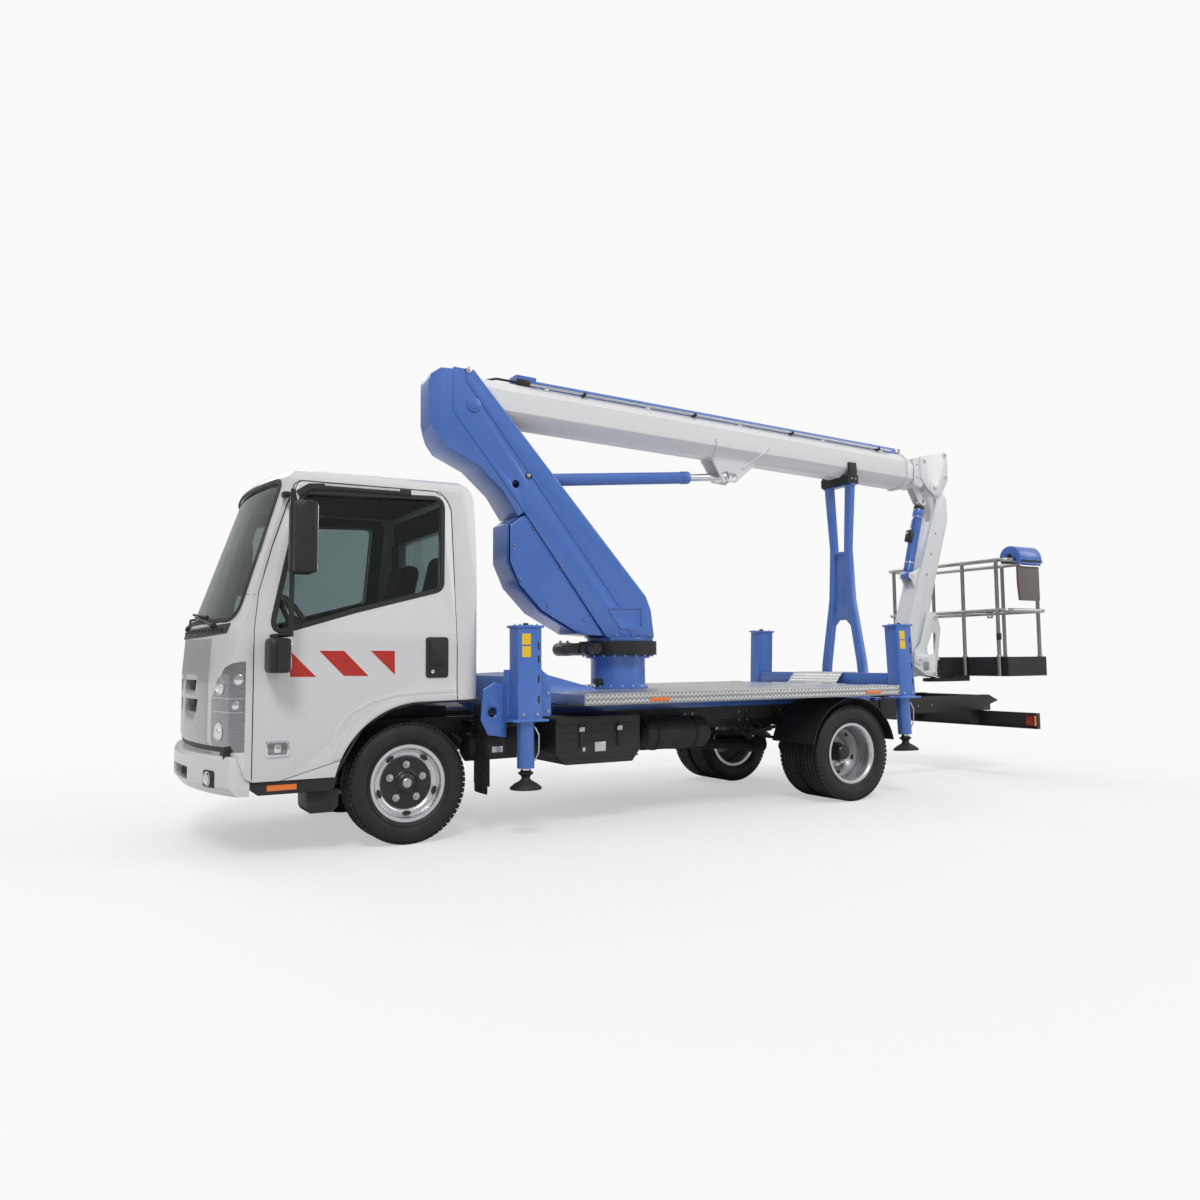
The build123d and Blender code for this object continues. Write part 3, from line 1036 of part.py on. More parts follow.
# ---------------------------------------------------------------- turret
def tower_side():
    """Left side plate with its raised rear band, service hole and framed pocket."""
    face = outline(TOWER_OUTLINE)
    plate = side_prism(face, (TOWER_INNER_Y, TOWER_SIDE_Y))
    plate += side_prism(outline(TOWER_BAND_OUTLINE), (TOWER_SIDE_Y - 1, TOWER_HALF_Y))
    pocket = outline(TOWER_POCKET, 10)
    plate += side_prism(offset(pocket, 10), (TOWER_SIDE_Y - 1, TOWER_HALF_Y))
    plate -= side_prism(pocket, (TOWER_SIDE_Y - 3, TOWER_HALF_Y + 1))
    plate -= pin(*TOWER_HOLE, TOWER_HOLE_R, (TOWER_INNER_Y - 1, TOWER_HALF_Y + 1))
    plate -= pin(*LIFT_FOOT, LIFT_PIN_R + 5, (TOWER_INNER_Y + 7, TOWER_HALF_Y + 1))
    return plate


def tower_nose():
    """Hollow front of the head, stepped in from the side plates and bevelled towards its flat face."""
    face = outline(NOSE_OUTLINE)
    solids = []
    for wall in (0.0, NOSE_HALF_Y - TOWER_INNER_Y):
        half = NOSE_HALF_Y - wall
        flat = NOSE_FLAT_HALF - wall
        front = NOSE_FRONT_X - wall
        plan = Polygon((-1200, -half), (front - NOSE_BEVEL_X, -half), (front, -flat), (front, flat),
                       (front - NOSE_BEVEL_X, half), (-1200, half), align=None)
        side = offset(face, -wall) if wall else face
        solids.append(side_prism(side, (-half, half)) & flat_prism(plan, (TOWER_BASE_Z, HEAD_OVER_Z)))
    inside = side_prism(outline(TOWER_OUTLINE), (-TOWER_INNER_Y, TOWER_INNER_Y))
    slot = slab((LIFT_PIVOT[0], NOSE_SLOT_X), (-TOWER_INNER_Y, TOWER_INNER_Y), (LIFT_PIVOT[1], HEAD_OVER_Z))
    return solids[0] - solids[1] - inside - slot


def tower_webs():
    """Front and rear webs that join the side plates below the head."""
    face = outline(TOWER_OUTLINE)
    skin = face - offset(face, -TOWER_WEB)
    width = TOWER_INNER_Y + 2
    front = outline(((-1010, 2120), (-1110, 2060), (-1760, 1205), (-1640, 1205)))
    rear = outline(((-2120, 1205), (-2120, 1560), (-1440, 2240), (-1380, 2160), (-1960, 1480), (-2040, 1205)))
    return side_prism(skin & (front + rear), (-width, width))


def tower():
    """Leaning box of two side plates with its nose, webs and foot, and pins for the boom and its cylinder."""
    body = both_sides(tower_side()) + tower_nose() + tower_webs()
    foot_z = (TOWER_BASE_Z, TOWER_OUTLINE[0][1] + 2)
    body += slab((TOWER_OUTLINE[0][0] + 8, TOWER_OUTLINE[-1][0] - 14), (-TOWER_SIDE_Y + 4, TOWER_SIDE_Y - 4),
                 foot_z)
    body += Pos(SLEW_X, 0, TOWER_BASE_Z + TOWER_FOOT / 2) * Cylinder(COLUMN_R + 25, TOWER_FOOT)
    boom_side = BOOM_W / 2 + MOVING_GAP
    body += both_sides(pin(*LIFT_PIVOT, PIVOT_PIN_R + 30, (boom_side, TOWER_SIDE_Y - 2)))
    body += pin(*LIFT_PIVOT, PIVOT_PIN_R, (-TOWER_SIDE_Y + 2, TOWER_SIDE_Y - 2))
    body += both_sides(pin(*LIFT_FOOT, LIFT_PIN_R + 24, (LIFT_BARREL_R + MOVING_GAP, TOWER_INNER_Y + 2)))
    body += pin(*LIFT_FOOT, LIFT_PIN_R, (-TOWER_SIDE_Y + 2, TOWER_SIDE_Y - 2))
    return body


def tower_cover():
    """Moulded fairing ahead of the tower that hides its hoses and valves."""
    face = outline(COVER_OUTLINE)
    body = side_prism(face, (-COVER_HALF_Y, COVER_HALF_Y))
    sides = body.faces().filter_by(Axis.Y)
    body = fillet(sides.edges().filter_by(lambda edge: edge.center().X > -1500), COVER_ROUND)
    hollow = side_prism(offset(face, -COVER_WALL), (-COVER_HALF_Y + COVER_WALL, COVER_HALF_Y - COVER_WALL))
    keep_out = side_prism(offset(outline(TOWER_OUTLINE), SEAT_GAP), (-TOWER_HALF_Y, TOWER_HALF_Y))
    keep_out += side_prism(offset(outline(NOSE_OUTLINE), SEAT_GAP), (-TOWER_HALF_Y, TOWER_HALF_Y))
    return body - hollow - keep_out


# ---------------------------------------------------------------- boom
def boom_frame():
    """The stowed boom's placing: X back along the boom is negative, the lift pivot is its origin."""
    return Pos(LIFT_PIVOT[0], 0, LIFT_PIVOT[1]) * Rot(0, -BOOM_TILT_DEG, 0)


def section_size(index):
    """Outer height, outer width and chamfer of one boom section; 0 is the base."""
    shrink = 0.0
    for wall in SECTION_WALLS[:index]:
        shrink += 2 * (wall + SLIDE_GAP)
    return BOOM_H - shrink, BOOM_W - shrink, BOOM_CHAMFER - shrink * 0.29


def section_face(index, grow=0.0):
    """Eight-sided outline of a section, grown evenly outwards by grow."""
    height, width, cut = section_size(index)
    a, b = width / 2, height / 2
    points = ((a, -b + cut), (a, b - cut), (a - cut, b), (-a + cut, b), (-a, b - cut), (-a, -b + cut),
              (-a + cut, -b), (a - cut, -b))
    face = Polygon(*points, align=None)
    return offset(face, grow, kind=Kind.INTERSECTION) if grow else face


def boom_tube(index, tail, mouth, grow=0.0):
    """A length of one section, from tail to mouth along the boom."""
    face = Pos(0, BOOM_AXIS_RISE) * section_face(index, grow)
    return front_prism(face, (-mouth, -tail))


def mouth_at(index):
    """Distance of a section's mouth from the lift pivot."""
    return BOOM_MOUTH + index * MOUTH_STEP


def collar_wall(index):
    """How far a section's collar stands proud of it."""
    return COLLAR_WALL - 2 * index


def boom_section(index):
    """One hollow section; its mouth has a collar that guides the next section in."""
    tail = -BOOM_ROOT if index == 0 else SECTION_TAIL + index * TAIL_STEP
    mouth = mouth_at(index)
    wall = SECTION_WALLS[index]
    body = boom_tube(index, tail, mouth)
    body += boom_tube(index, mouth - COLLAR_LENGTH, mouth, collar_wall(index))
    body -= boom_tube(index, tail + 12, mouth - COLLAR_LENGTH, -wall)
    body -= boom_tube(index + 1, tail, mouth + 1, SEAT_GAP)
    if index:
        shoes = boom_tube(index, tail, tail + 60, SLIDE_GAP - SEAT_GAP)
        body += shoes - boom_tube(index, tail - 1, tail + 61)
    return body


def boom_base():
    """Base section with its pivot boss and the lug for the lift cylinder."""
    height, width, _ = section_size(0)
    root_face = outline(((-PIVOT_PIN_R - 26, -PIVOT_PIN_R - 24), (PIVOT_PIN_R + 26, -PIVOT_PIN_R - 24),
                         (BOOM_ROOT, BOOM_AXIS_RISE - 60), (BOOM_ROOT, BOOM_AXIS_RISE + 60),
                         (-PIVOT_PIN_R - 160, BOOM_AXIS_RISE + 60),
                         (-PIVOT_PIN_R - 160, BOOM_AXIS_RISE - 100)))
    root = side_prism(root_face, (-width / 2, width / 2))
    body = boom_section(0) + root
    low = BOOM_AXIS_RISE - height / 2
    lug_z = BOOM_AXIS_RISE - BOOM_LUG_DROP
    lug_face = outline(((-BOOM_LUG_ALONG + 140, low + 70), (-BOOM_LUG_ALONG + 150, low - 4),
                        (-BOOM_LUG_ALONG + 40, lug_z - 40), (-BOOM_LUG_ALONG - 95, lug_z - 46),
                        (-BOOM_LUG_ALONG - 300, low - 4), (-BOOM_LUG_ALONG - 300, low + 70)))
    lug = side_prism(lug_face, (LUG_GAP, LUG_GAP + 16))
    lug -= pin(-BOOM_LUG_ALONG, lug_z, LIFT_PIN_R + 14, (0, 200))
    lug -= pin(-BOOM_LUG_ALONG - 78, lug_z + 6, 26, (0, 200))
    body += both_sides(lug)
    body -= boom_tube(0, ROOT_SOLID, mouth_at(0) - COLLAR_LENGTH, -BOOM_WALL)
    body -= pin(0, 0, PIVOT_PIN_R + RUNNING_FIT, (-300, 300))
    return boom_frame() * body


def ram_height():
    """Height of the extension cylinder's axis over the boom axis."""
    return BOOM_AXIS_RISE + BOOM_H / 2 + RAM_R + 16


def extension_cylinder():
    """The long cylinder on the boom's back, with its saddles and valve block."""
    z = ram_height()
    barrel = bar((-RAM_ALONG[0], 0, z), (-RAM_ALONG[1], 0, z), RAM_R)
    barrel -= bar((-RAM_ALONG[0] - 60, 0, z), (-RAM_ALONG[1] - 1, 0, z), RAM_ROD_R + RUNNING_FIT)
    foot = BOOM_AXIS_RISE + BOOM_H / 2 + SEAT_GAP
    for x in (-RAM_ALONG[0] - 40, -2300.0, -RAM_ALONG[1] + 60):
        saddle = slab((x - 30, x + 30), (-45, 45), (foot, z)) - bar((x - 40, 0, z), (x + 40, 0, z), RAM_R - 4)
        barrel += saddle
    block = slab((-RAM_ALONG[0] - 20, -RAM_ALONG[0] + 140), (-60, 60), (foot, foot + 78))
    return boom_frame() * (barrel + block)


def extension_rod():
    """The cylinder's rod, fixed by its end bracket to the first inner section."""
    z = ram_height()
    end = mouth_at(1) - COLLAR_LENGTH + 5
    rod = bar((-RAM_ALONG[0] - 70, 0, z), (-end - 14, 0, z), RAM_ROD_R)
    low = BOOM_AXIS_RISE + section_size(1)[0] / 2 + collar_wall(1) + SEAT_GAP
    bracket = slab((-end - 22, -end), (-34, 34), (low, z + 26))
    return boom_frame() * (rod + bracket)


def boom_head():
    """Head on the last section: two plates that hold the jib and the lug of its cylinder."""
    inner = HEAD_HALF_Y - HEAD_PLATE
    last = boom_frame() * boom_section_last()
    plate = side_prism(outline(HEAD_PLATE_OUTLINE), (inner, HEAD_HALF_Y))
    plate += pin(*JIB_PIVOT, 62, (inner, HEAD_HALF_Y + 8))
    head = both_sides(plate)
    head += side_prism(outline(HEAD_BLOCK_OUTLINE), (-inner - 2, inner + 2))
    ear_y = JIB_EYE_HALF + MOVING_GAP
    ear = side_prism(outline(HEAD_EAR_OUTLINE), (ear_y, ear_y + HEAD_EAR))
    head += both_sides(ear - pin(*JIB_RAM_TOP, JIB_PIN_R2 + 4, (0, HEAD_HALF_Y)))
    head += pin(*JIB_PIVOT, JIB_PIN_R, (-HEAD_HALF_Y - 12, HEAD_HALF_Y + 12))
    return last + head


def boom_section_last():
    """The innermost section, which runs on into the head."""
    tail = SECTION_TAIL + 3 * TAIL_STEP
    body = boom_tube(3, tail, mouth_at(3) + 120)
    body -= boom_tube(3, tail + 12, mouth_at(3) - 40, -SECTION_WALLS[3])
    body += boom_tube(3, tail, tail + 60, SLIDE_GAP - SEAT_GAP) - boom_tube(3, tail - 1, tail + 61)
    return body


# ---------------------------------------------------------------- lift cylinder
def boom_lug_point():
    """The lift cylinder's upper pin in the stowed boom."""
    along, rise = -BOOM_LUG_ALONG, BOOM_AXIS_RISE - BOOM_LUG_DROP
    tilt = radians(-BOOM_TILT_DEG)
    return (LIFT_PIVOT[0] + along * cos(tilt) + rise * sin(tilt),
            LIFT_PIVOT[1] - along * sin(tilt) + rise * cos(tilt))


def cylinder_frame(foot, top):
    """Placing of a cylinder: its own Z runs from its foot pin to its top pin."""
    return Plane(origin=(foot[0], 0, foot[1]), x_dir=(0, 1, 0),
                 z_dir=(top[0] - foot[0], 0, top[1] - foot[1])).location


def cylinder_barrel(radius, rod_radius, pin_radius, length, gland):
    """Barrel with its foot eye and end gland, bored for the rod."""
    body = Pos(0, 0, (length + pin_radius + 26) / 2) * Cylinder(radius, length - pin_radius - 26)
    eye = Rot(0, 90, 0) * Cylinder(pin_radius + 20, 2 * radius)
    neck = Pos(0, 0, (pin_radius + 30) / 2) * Box(1.5 * radius, 2 * pin_radius + 30, pin_radius + 30)
    end = Pos(0, 0, length - gland / 2) * Cylinder(radius + 4, gland)
    body += eye + neck + end
    body -= Rot(0, 90, 0) * Cylinder(pin_radius + RUNNING_FIT, 4 * radius)
    bore_low = pin_radius + 60
    body -= Pos(0, 0, (bore_low + length) / 2) * Cylinder(rod_radius + RUNNING_FIT, length - bore_low)
    return body


def cylinder_rod(radius, pin_radius, start, reach, half_eye):
    """Rod with the eye that its top pin goes through."""
    rod = Pos(0, 0, (start + reach - pin_radius) / 2) * Cylinder(radius, reach - pin_radius - start)
    eye = Pos(0, 0, reach) * Rot(0, 90, 0) * Cylinder(pin_radius + 16, 2 * half_eye)
    bore = Pos(0, 0, reach) * Rot(0, 90, 0) * Cylinder(pin_radius, 4 * half_eye)
    return rod + eye - bore


def span(a, b):
    return hypot(b[0] - a[0], b[1] - a[1])


def lift_barrel():
    barrel = cylinder_barrel(LIFT_BARREL_R, LIFT_ROD_R, LIFT_PIN_R, LIFT_BARREL_LENGTH, 60)
    return cylinder_frame(LIFT_FOOT, boom_lug_point()) * barrel


def lift_rod():
    reach = span(LIFT_FOOT, boom_lug_point())
    rod = cylinder_rod(LIFT_ROD_R, LIFT_PIN_R, LIFT_PIN_R + 66, reach, LUG_GAP - MOVING_GAP)
    return cylinder_frame(LIFT_FOOT, boom_lug_point()) * rod


def jib_barrel():
    barrel = cylinder_barrel(JIB_BARREL_R, JIB_ROD_R, JIB_PIN_R2, JIB_BARREL_LENGTH, 70)
    return cylinder_frame(JIB_RAM_FOOT, JIB_RAM_TOP) * barrel


def jib_rod():
    reach = span(JIB_RAM_FOOT, JIB_RAM_TOP)
    rod = cylinder_rod(JIB_ROD_R, JIB_PIN_R2, JIB_PIN_R2 + 66, reach, JIB_EYE_HALF)
    return cylinder_frame(JIB_RAM_FOOT, JIB_RAM_TOP) * rod


# ---------------------------------------------------------------- jib and basket
def jib():
    """Box jib with a forked head on its pivot and a bracket for its cylinder."""
    body = side_prism(outline(JIB_OUTLINE), (-JIB_HALF_Y, JIB_HALF_Y))
    body -= side_prism(outline(JIB_CORE_OUTLINE), (-JIB_HALF_Y + JIB_WALL, JIB_HALF_Y - JIB_WALL))
    body += pin(*JIB_PIVOT, JIB_HEAD_R, (-JIB_HALF_Y, JIB_HALF_Y))
    body += pin(*JIB_END, JIB_END_R, (-JIB_HALF_Y, JIB_HALF_Y))
    head_zone = pin(*JIB_PIVOT, JIB_HEAD_R + 40, (-JIB_HALF_Y, JIB_HALF_Y))
    body += side_prism(outline(JIB_LINK_OUTLINE), (-JIB_HALF_Y, JIB_HALF_Y)) & head_zone
    for (x, z), size, half in ((JIB_PIVOT, JIB_FORK_DEPTH, JIB_FORK_HALF),
                               (JIB_END, JIB_FOOT_SLOT, LEVEL_LINK_HALF + 2)):
        body -= slab((x - size, x + size), (-half, half), (z - size, z + size))
    body -= pin(*JIB_PIVOT, JIB_PIN_R + RUNNING_FIT, (-200, 200))
    body -= pin(*JIB_END, ARM_PIN_R + RUNNING_FIT, (-200, 200))
    foot_x, foot_z = JIB_RAM_FOOT
    cheek_face = outline(((foot_x + 34, foot_z + 20), (foot_x + 40, foot_z - 20), (foot_x + 10, foot_z - 40),
                          (foot_x - 30, foot_z - 130), (foot_x - 90, foot_z - 110),
                          (foot_x - 90, foot_z + 70), (foot_x - 30, foot_z + 40)))
    cheek = side_prism(cheek_face, (JIB_BARREL_R + 4, JIB_BARREL_R + 18))
    body += both_sides(cheek)
    body += pin(foot_x, foot_z, JIB_PIN_R2, (-JIB_BARREL_R - 22, JIB_BARREL_R + 22))
    return body


def level_link():
    """The levelling lever on the jib's end pin, between the jib's cheeks."""
    x, z = JIB_END
    lever_face = outline(((x - 45, z - 20), (x + 45, z - 20), (x + 30, z + 60), (x - 30, z + 60)), 8)
    lever = side_prism(lever_face, (-LEVEL_LINK_HALF, LEVEL_LINK_HALF))
    lever += pin(x, z, ARM_PIN_R + 22, (-LEVEL_LINK_HALF, LEVEL_LINK_HALF))
    lever += pin(x, z, ARM_PIN_R, (-ARM_HALF_Y, ARM_HALF_Y))
    return lever


def basket_arm():
    """Two slotted plates on the jib's end pin that hold the basket's turning column."""
    x, z = JIB_END
    plate = side_prism(outline(ARM_OUTLINE, 12), (ARM_HALF_Y - ARM_PLATE, ARM_HALF_Y))
    plate -= side_prism(outline(ARM_SLOT_OUTLINE, 14), (0, ARM_HALF_Y + 1))
    plate -= side_prism(outline(ARM_WINDOW_OUTLINE, 18), (0, ARM_HALF_Y + 1))
    for pin_x, pin_z, radius in ((x, z, 44.0), *ARM_PINS):
        plate += pin(pin_x, pin_z, radius, (ARM_HALF_Y - ARM_PLATE, ARM_HALF_Y + 11))
    plate -= pin(x, z, ARM_PIN_R + RUNNING_FIT, (0, ARM_HALF_Y + 1))
    arm = both_sides(plate)
    inner = ARM_HALF_Y - ARM_PLATE + 1
    arm += slab((-5200, -5165), (-inner, inner), (878, 1050))
    low, high = BASKET_FLOOR_Z - 12, BASKET_FLOOR_Z + 165
    column = Pos(TURN_X, 0, (low + high) / 2) * Cylinder(TURN_R, high - low)
    arm += column + slab((TURN_X, -5190), (-70, 70), (low + 6, high - 10))
    return arm - Pos(TURN_X, 0, 950) * Cylinder(TURN_PIN_R + RUNNING_FIT, 400)


def rail_loop(z, radius):
    """A closed round-cornered rail of the basket at one height."""
    inset = RAIL_TUBE_R
    x0, x1 = BASKET_X[0] + inset - RAIL_TUBE_R, BASKET_X[1] - inset + RAIL_TUBE_R
    path = Rectangle(x1 - x0, 2 * BASKET_HALF_Y)
    path = fillet(path.vertices(), CORNER_BEND_R)
    outer = offset(path, radius)
    mid = Pos((x0 + x1) / 2, 0, z)
    wire = path.wire()
    section = Plane(origin=wire @ 0, z_dir=wire % 0) * Circle(radius)
    return mid * sweep(section, path=wire)


def basket_frame():
    """Tubular guard frame of the basket: posts, rails, and the pivot under its floor."""
    x0, x1 = BASKET_X
    frame = rail_loop(TOP_RAIL_Z, RAIL_TUBE_R) + rail_loop(MID_RAIL_Z, RAIL_TUBE_R)
    posts = []
    for x in (x0, x1):
        for y in (-BASKET_HALF_Y + CORNER_BEND_R + 4, -230, 230, BASKET_HALF_Y - CORNER_BEND_R - 4):
            posts.append((x, y))
    for x, y in posts:
        frame += bar((x, y, BASKET_FLOOR_Z + 4), (x, y, TOP_RAIL_Z), BASKET_POST_R)
    hole_z = MID_RAIL_Z - ANCHOR_DROP
    lug_face = outline(((ANCHOR_Y - 40, MID_RAIL_Z), (ANCHOR_Y + 40, MID_RAIL_Z),
                        (ANCHOR_Y + 26, hole_z - 26), (ANCHOR_Y - 26, hole_z - 26)))
    lug_x = (x1 - ANCHOR_THICK / 2, x1 + ANCHOR_THICK / 2)
    hole = bar((x1 - ANCHOR_THICK, ANCHOR_Y, hole_z), (x1 + ANCHOR_THICK, ANCHOR_Y, hole_z), ANCHOR_HOLE_R)
    return frame + (front_prism(lug_face, lug_x) - hole)


def basket_floor():
    """Floor tray with toe boards and the turning pin's arm under it."""
    x0, x1 = BASKET_X
    inset = BASKET_POST_R + SEAT_GAP
    tray_x = (x0 + inset, x1 - inset)
    tray_y = (-BASKET_HALF_Y + inset, BASKET_HALF_Y - inset)
    tray = slab(tray_x, tray_y, (BASKET_FLOOR_Z, TOE_BOARD_TOP_Z))
    tray -= slab((tray_x[0] + 5, tray_x[1] - 5), (tray_y[0] + 5, tray_y[1] - 5),
                 (BASKET_FLOOR_Z + 20, TOE_BOARD_TOP_Z + 1))
    arm = slab((x1 - 220, TURN_X), (-90, 90), (BASKET_FLOOR_Z - 52, BASKET_FLOOR_Z - 20 - SEAT_GAP))
    arm += slab((x1 - 220, x1 - inset), (-90, 90), (BASKET_FLOOR_Z - 52, BASKET_FLOOR_Z + 5))
    arm += Pos(TURN_X, 0, BASKET_FLOOR_Z - 36) * Cylinder(90, 31.7)
    pin_top = 1040.0
    post_low = BASKET_FLOOR_Z - 50
    arm += Pos(TURN_X, 0, (post_low + pin_top) / 2) * Cylinder(TURN_PIN_R, pin_top - post_low)
    return tray + arm


def control_box():
    """Operator's box with a half-round lid, hung on the left side rail."""
    x = (BASKET_X[0] + 130, BASKET_X[1] - 130)
    y = BASKET_HALF_Y + RAIL_TUBE_R + SEAT_GAP
    face = Pos(y - 65, TOP_RAIL_Z + 22) * Circle(105)
    lid = front_prism(face, x) & slab(x, (0, 2000), (TOP_RAIL_Z + RAIL_TUBE_R + SEAT_GAP, 2200))
    pouch = slab((x[0] + POUCH_INSET, x[1] - POUCH_INSET), (y, y + POUCH_DEPTH),
                 (POUCH_LOW_Z, TOP_RAIL_Z + 60))
    return lid + pouch


def node_table():
    """Every piece by its name."""
    shell, door, door_glass, screens, lamps, nose = cab_pieces()
    nodes = {
        "chassis_frame": chassis_frame(),
        "under_run_bar": under_run_bar(),
        "front_axle": front_axle(),
        "rear_axle": rear_axle(),
        "engine_block": engine_block(),
        "side_boxes": side_boxes(),
        "mudguards": mudguards(),
        "cab_shell": shell,
        "nose_panel": nose,
        "bumper": bumper(),
        "headlamps": lamps,
        "cab_glass": screens,
        "dashboard": dashboard(),
        "seats": seats(),
        "subframe": subframe(),
        "outriggers": outriggers(),
        "deck": deck(),
        "boom_rest": boom_rest(),
        "rest_pad": rest_pad(),
        "pedestal": pedestal(),
        "slew_drive": slew_drive(),
        "tower": tower(),
        "tower_cover": tower_cover(),
        "boom_base": boom_base(),
        "extension_cylinder": extension_cylinder(),
        "extension_rod": extension_rod(),
        "boom_stage_1": boom_frame() * boom_section(1),
        "boom_stage_2": boom_frame() * boom_section(2),
        "boom_stage_3": boom_head(),
        "lift_barrel": lift_barrel(),
        "lift_rod": lift_rod(),
        "jib": jib(),
        "jib_barrel": jib_barrel(),
        "jib_rod": jib_rod(),
        "level_link": level_link(),
        "basket_arm": basket_arm(),
        "basket_frame": basket_frame(),
        "basket_floor": basket_floor(),
        "control_box": control_box(),
    }
    twins = (REAR_TRACK - TWIN_PITCH) / 2, (REAR_TRACK + TWIN_PITCH) / 2
    left = {
        "door": door,
        "door_glass": door_glass,
        "mirror": mirror_arm() - cab_body(-SEAT_GAP),
        "knuckle": knuckle(),
        "front_tyre": tyre(0, FRONT_TRACK / 2),
        "front_rim": front_rim(0),
        "rear_tyres": tyre(-WHEELBASE, twins[0]) + tyre(-WHEELBASE, twins[1]),
        "rear_rims": rear_rims(-WHEELBASE),
    }
    for name, shape in left.items():
        nodes[f"{name}_left"] = shape
        nodes[f"{name}_right"] = mirrored(shape)
    for leg in LEGS:
        nodes[f"leg_foot_{leg[0]}"] = leg_foot(leg)
    return nodes


# ---------------------------------------------------------------- main
def main():
    os.makedirs("parts", exist_ok=True)
    for name, shape in node_table().items():
        export_node(name, shape)


if __name__ == "__main__":
    main()
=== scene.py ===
import json
import logging
import math
from dataclasses import dataclass, field
from enum import Enum
from typing import Iterable, Optional, Sequence

import bmesh
import bpy
from mathutils import Matrix, Vector
from mathutils.bvhtree import BVHTree


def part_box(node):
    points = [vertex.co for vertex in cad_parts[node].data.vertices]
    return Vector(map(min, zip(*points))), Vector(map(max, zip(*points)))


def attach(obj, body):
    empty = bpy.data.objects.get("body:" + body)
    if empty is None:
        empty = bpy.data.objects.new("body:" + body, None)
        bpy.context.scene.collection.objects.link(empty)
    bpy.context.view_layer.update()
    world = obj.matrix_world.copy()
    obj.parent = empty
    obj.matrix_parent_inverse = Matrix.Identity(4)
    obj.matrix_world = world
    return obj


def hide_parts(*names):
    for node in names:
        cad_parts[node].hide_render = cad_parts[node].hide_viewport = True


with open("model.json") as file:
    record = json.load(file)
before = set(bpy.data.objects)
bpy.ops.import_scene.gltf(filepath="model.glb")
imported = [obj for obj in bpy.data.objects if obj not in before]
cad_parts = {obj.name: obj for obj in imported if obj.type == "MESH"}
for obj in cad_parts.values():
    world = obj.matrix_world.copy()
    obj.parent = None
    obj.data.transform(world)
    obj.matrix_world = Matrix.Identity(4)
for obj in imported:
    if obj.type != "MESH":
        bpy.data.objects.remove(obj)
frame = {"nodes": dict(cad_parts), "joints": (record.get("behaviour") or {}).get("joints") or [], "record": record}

log = logging.getLogger("truck")

Point = tuple[float, float, float]
Flat = tuple[float, float]
Colour = tuple[float, float, float]

JOINTS = {joint["name"]: joint for joint in frame["joints"]}
# Everything below is measured in metres from the front axle, which stands here in the frame.
AXLE_X, FRONT_WHEEL_Y, HUB_Z = JOINTS["wheel_front_left_spin"]["pos_m"]


def from_axle(joint: str) -> Point:
    """A joint's place, measured from the front axle."""
    x, y, z = JOINTS[joint]["pos_m"]
    return x - AXLE_X, y, z


REAR_AXLE_X, REAR_WHEELS_Y, _ = from_axle("wheels_rear_left_spin")
SLEW_X, _, _ = from_axle("turret_slew")
TURN_X, _, _ = from_axle("basket_turn")
LIFT_X, _, LIFT_Z = from_axle("boom_lift")
JIB_X, _, JIB_Z = from_axle("jib_fold")
JIB_END_X, _, JIB_END_Z = from_axle("level_with_boom")


def spin(degrees: float, axis: str) -> Matrix:
    """A turn about an axis through the origin."""
    return Matrix.Rotation(math.radians(degrees), 4, axis)


def node_box(node: str) -> tuple[Vector, Vector]:
    """Lowest and highest corner of a CAD node, in metres from the front axle.

    Args:
        node: name of the CAD node.

    Returns:
        The two corners.
    """
    low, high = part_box(node)
    shift = Vector((AXLE_X, 0.0, 0.0))
    return low - shift, high - shift


# ------------------------------------------------------------------ finishes
def new_group(name: str, inputs: dict[str, tuple[str, object]], outputs: dict[str, str]) -> tuple:
    """Start a shader node group with named sockets.

    Args:
        name: the group's name.
        inputs: socket name to (socket type, default value).
        outputs: socket name to socket type.

    Returns:
        The group, its input node and its output node.
    """
    group = bpy.data.node_groups.new(name, "ShaderNodeTree")
    for label, (kind, value) in inputs.items():
        socket = group.interface.new_socket(label, in_out="INPUT", socket_type=kind)
        socket.default_value = value
    for label, kind in outputs.items():
        group.interface.new_socket(label, in_out="OUTPUT", socket_type=kind)
    return group, group.nodes.new("NodeGroupInput"), group.nodes.new("NodeGroupOutput")


FLOAT = "NodeSocketFloat"
COLOUR = "NodeSocketColor"
WHOLE = "NodeSocketInt"
OBJECT = "NodeSocketObject"
MATERIAL = "NodeSocketMaterial"
GEOMETRY = "NodeSocketGeometry"


def noise(nodes: bpy.types.Nodes, links: bpy.types.NodeLinks, coords: object, scale: object,
          detail: float) -> object:
    """Add a noise texture on given coordinates and return its value socket."""
    node = nodes.new("ShaderNodeTexNoise")
    node.inputs["Detail"].default_value = detail
    if isinstance(scale, (int, float)):
        node.inputs["Scale"].default_value = scale
    else:
        links.new(scale, node.inputs["Scale"])
    links.new(coords, node.inputs["Vector"])
    return node.outputs["Fac"]


def math_node(nodes: bpy.types.Nodes, links: bpy.types.NodeLinks, kind: str, first: object,
              second: object) -> object:
    """Add a Math node on two sockets or numbers and return its result."""
    node = nodes.new("ShaderNodeMath")
    node.operation = kind
    for index, value in enumerate((first, second)):
        if isinstance(value, (int, float)):
            node.inputs[index].default_value = value
        else:
            links.new(value, node.inputs[index])
    return node.outputs[0]


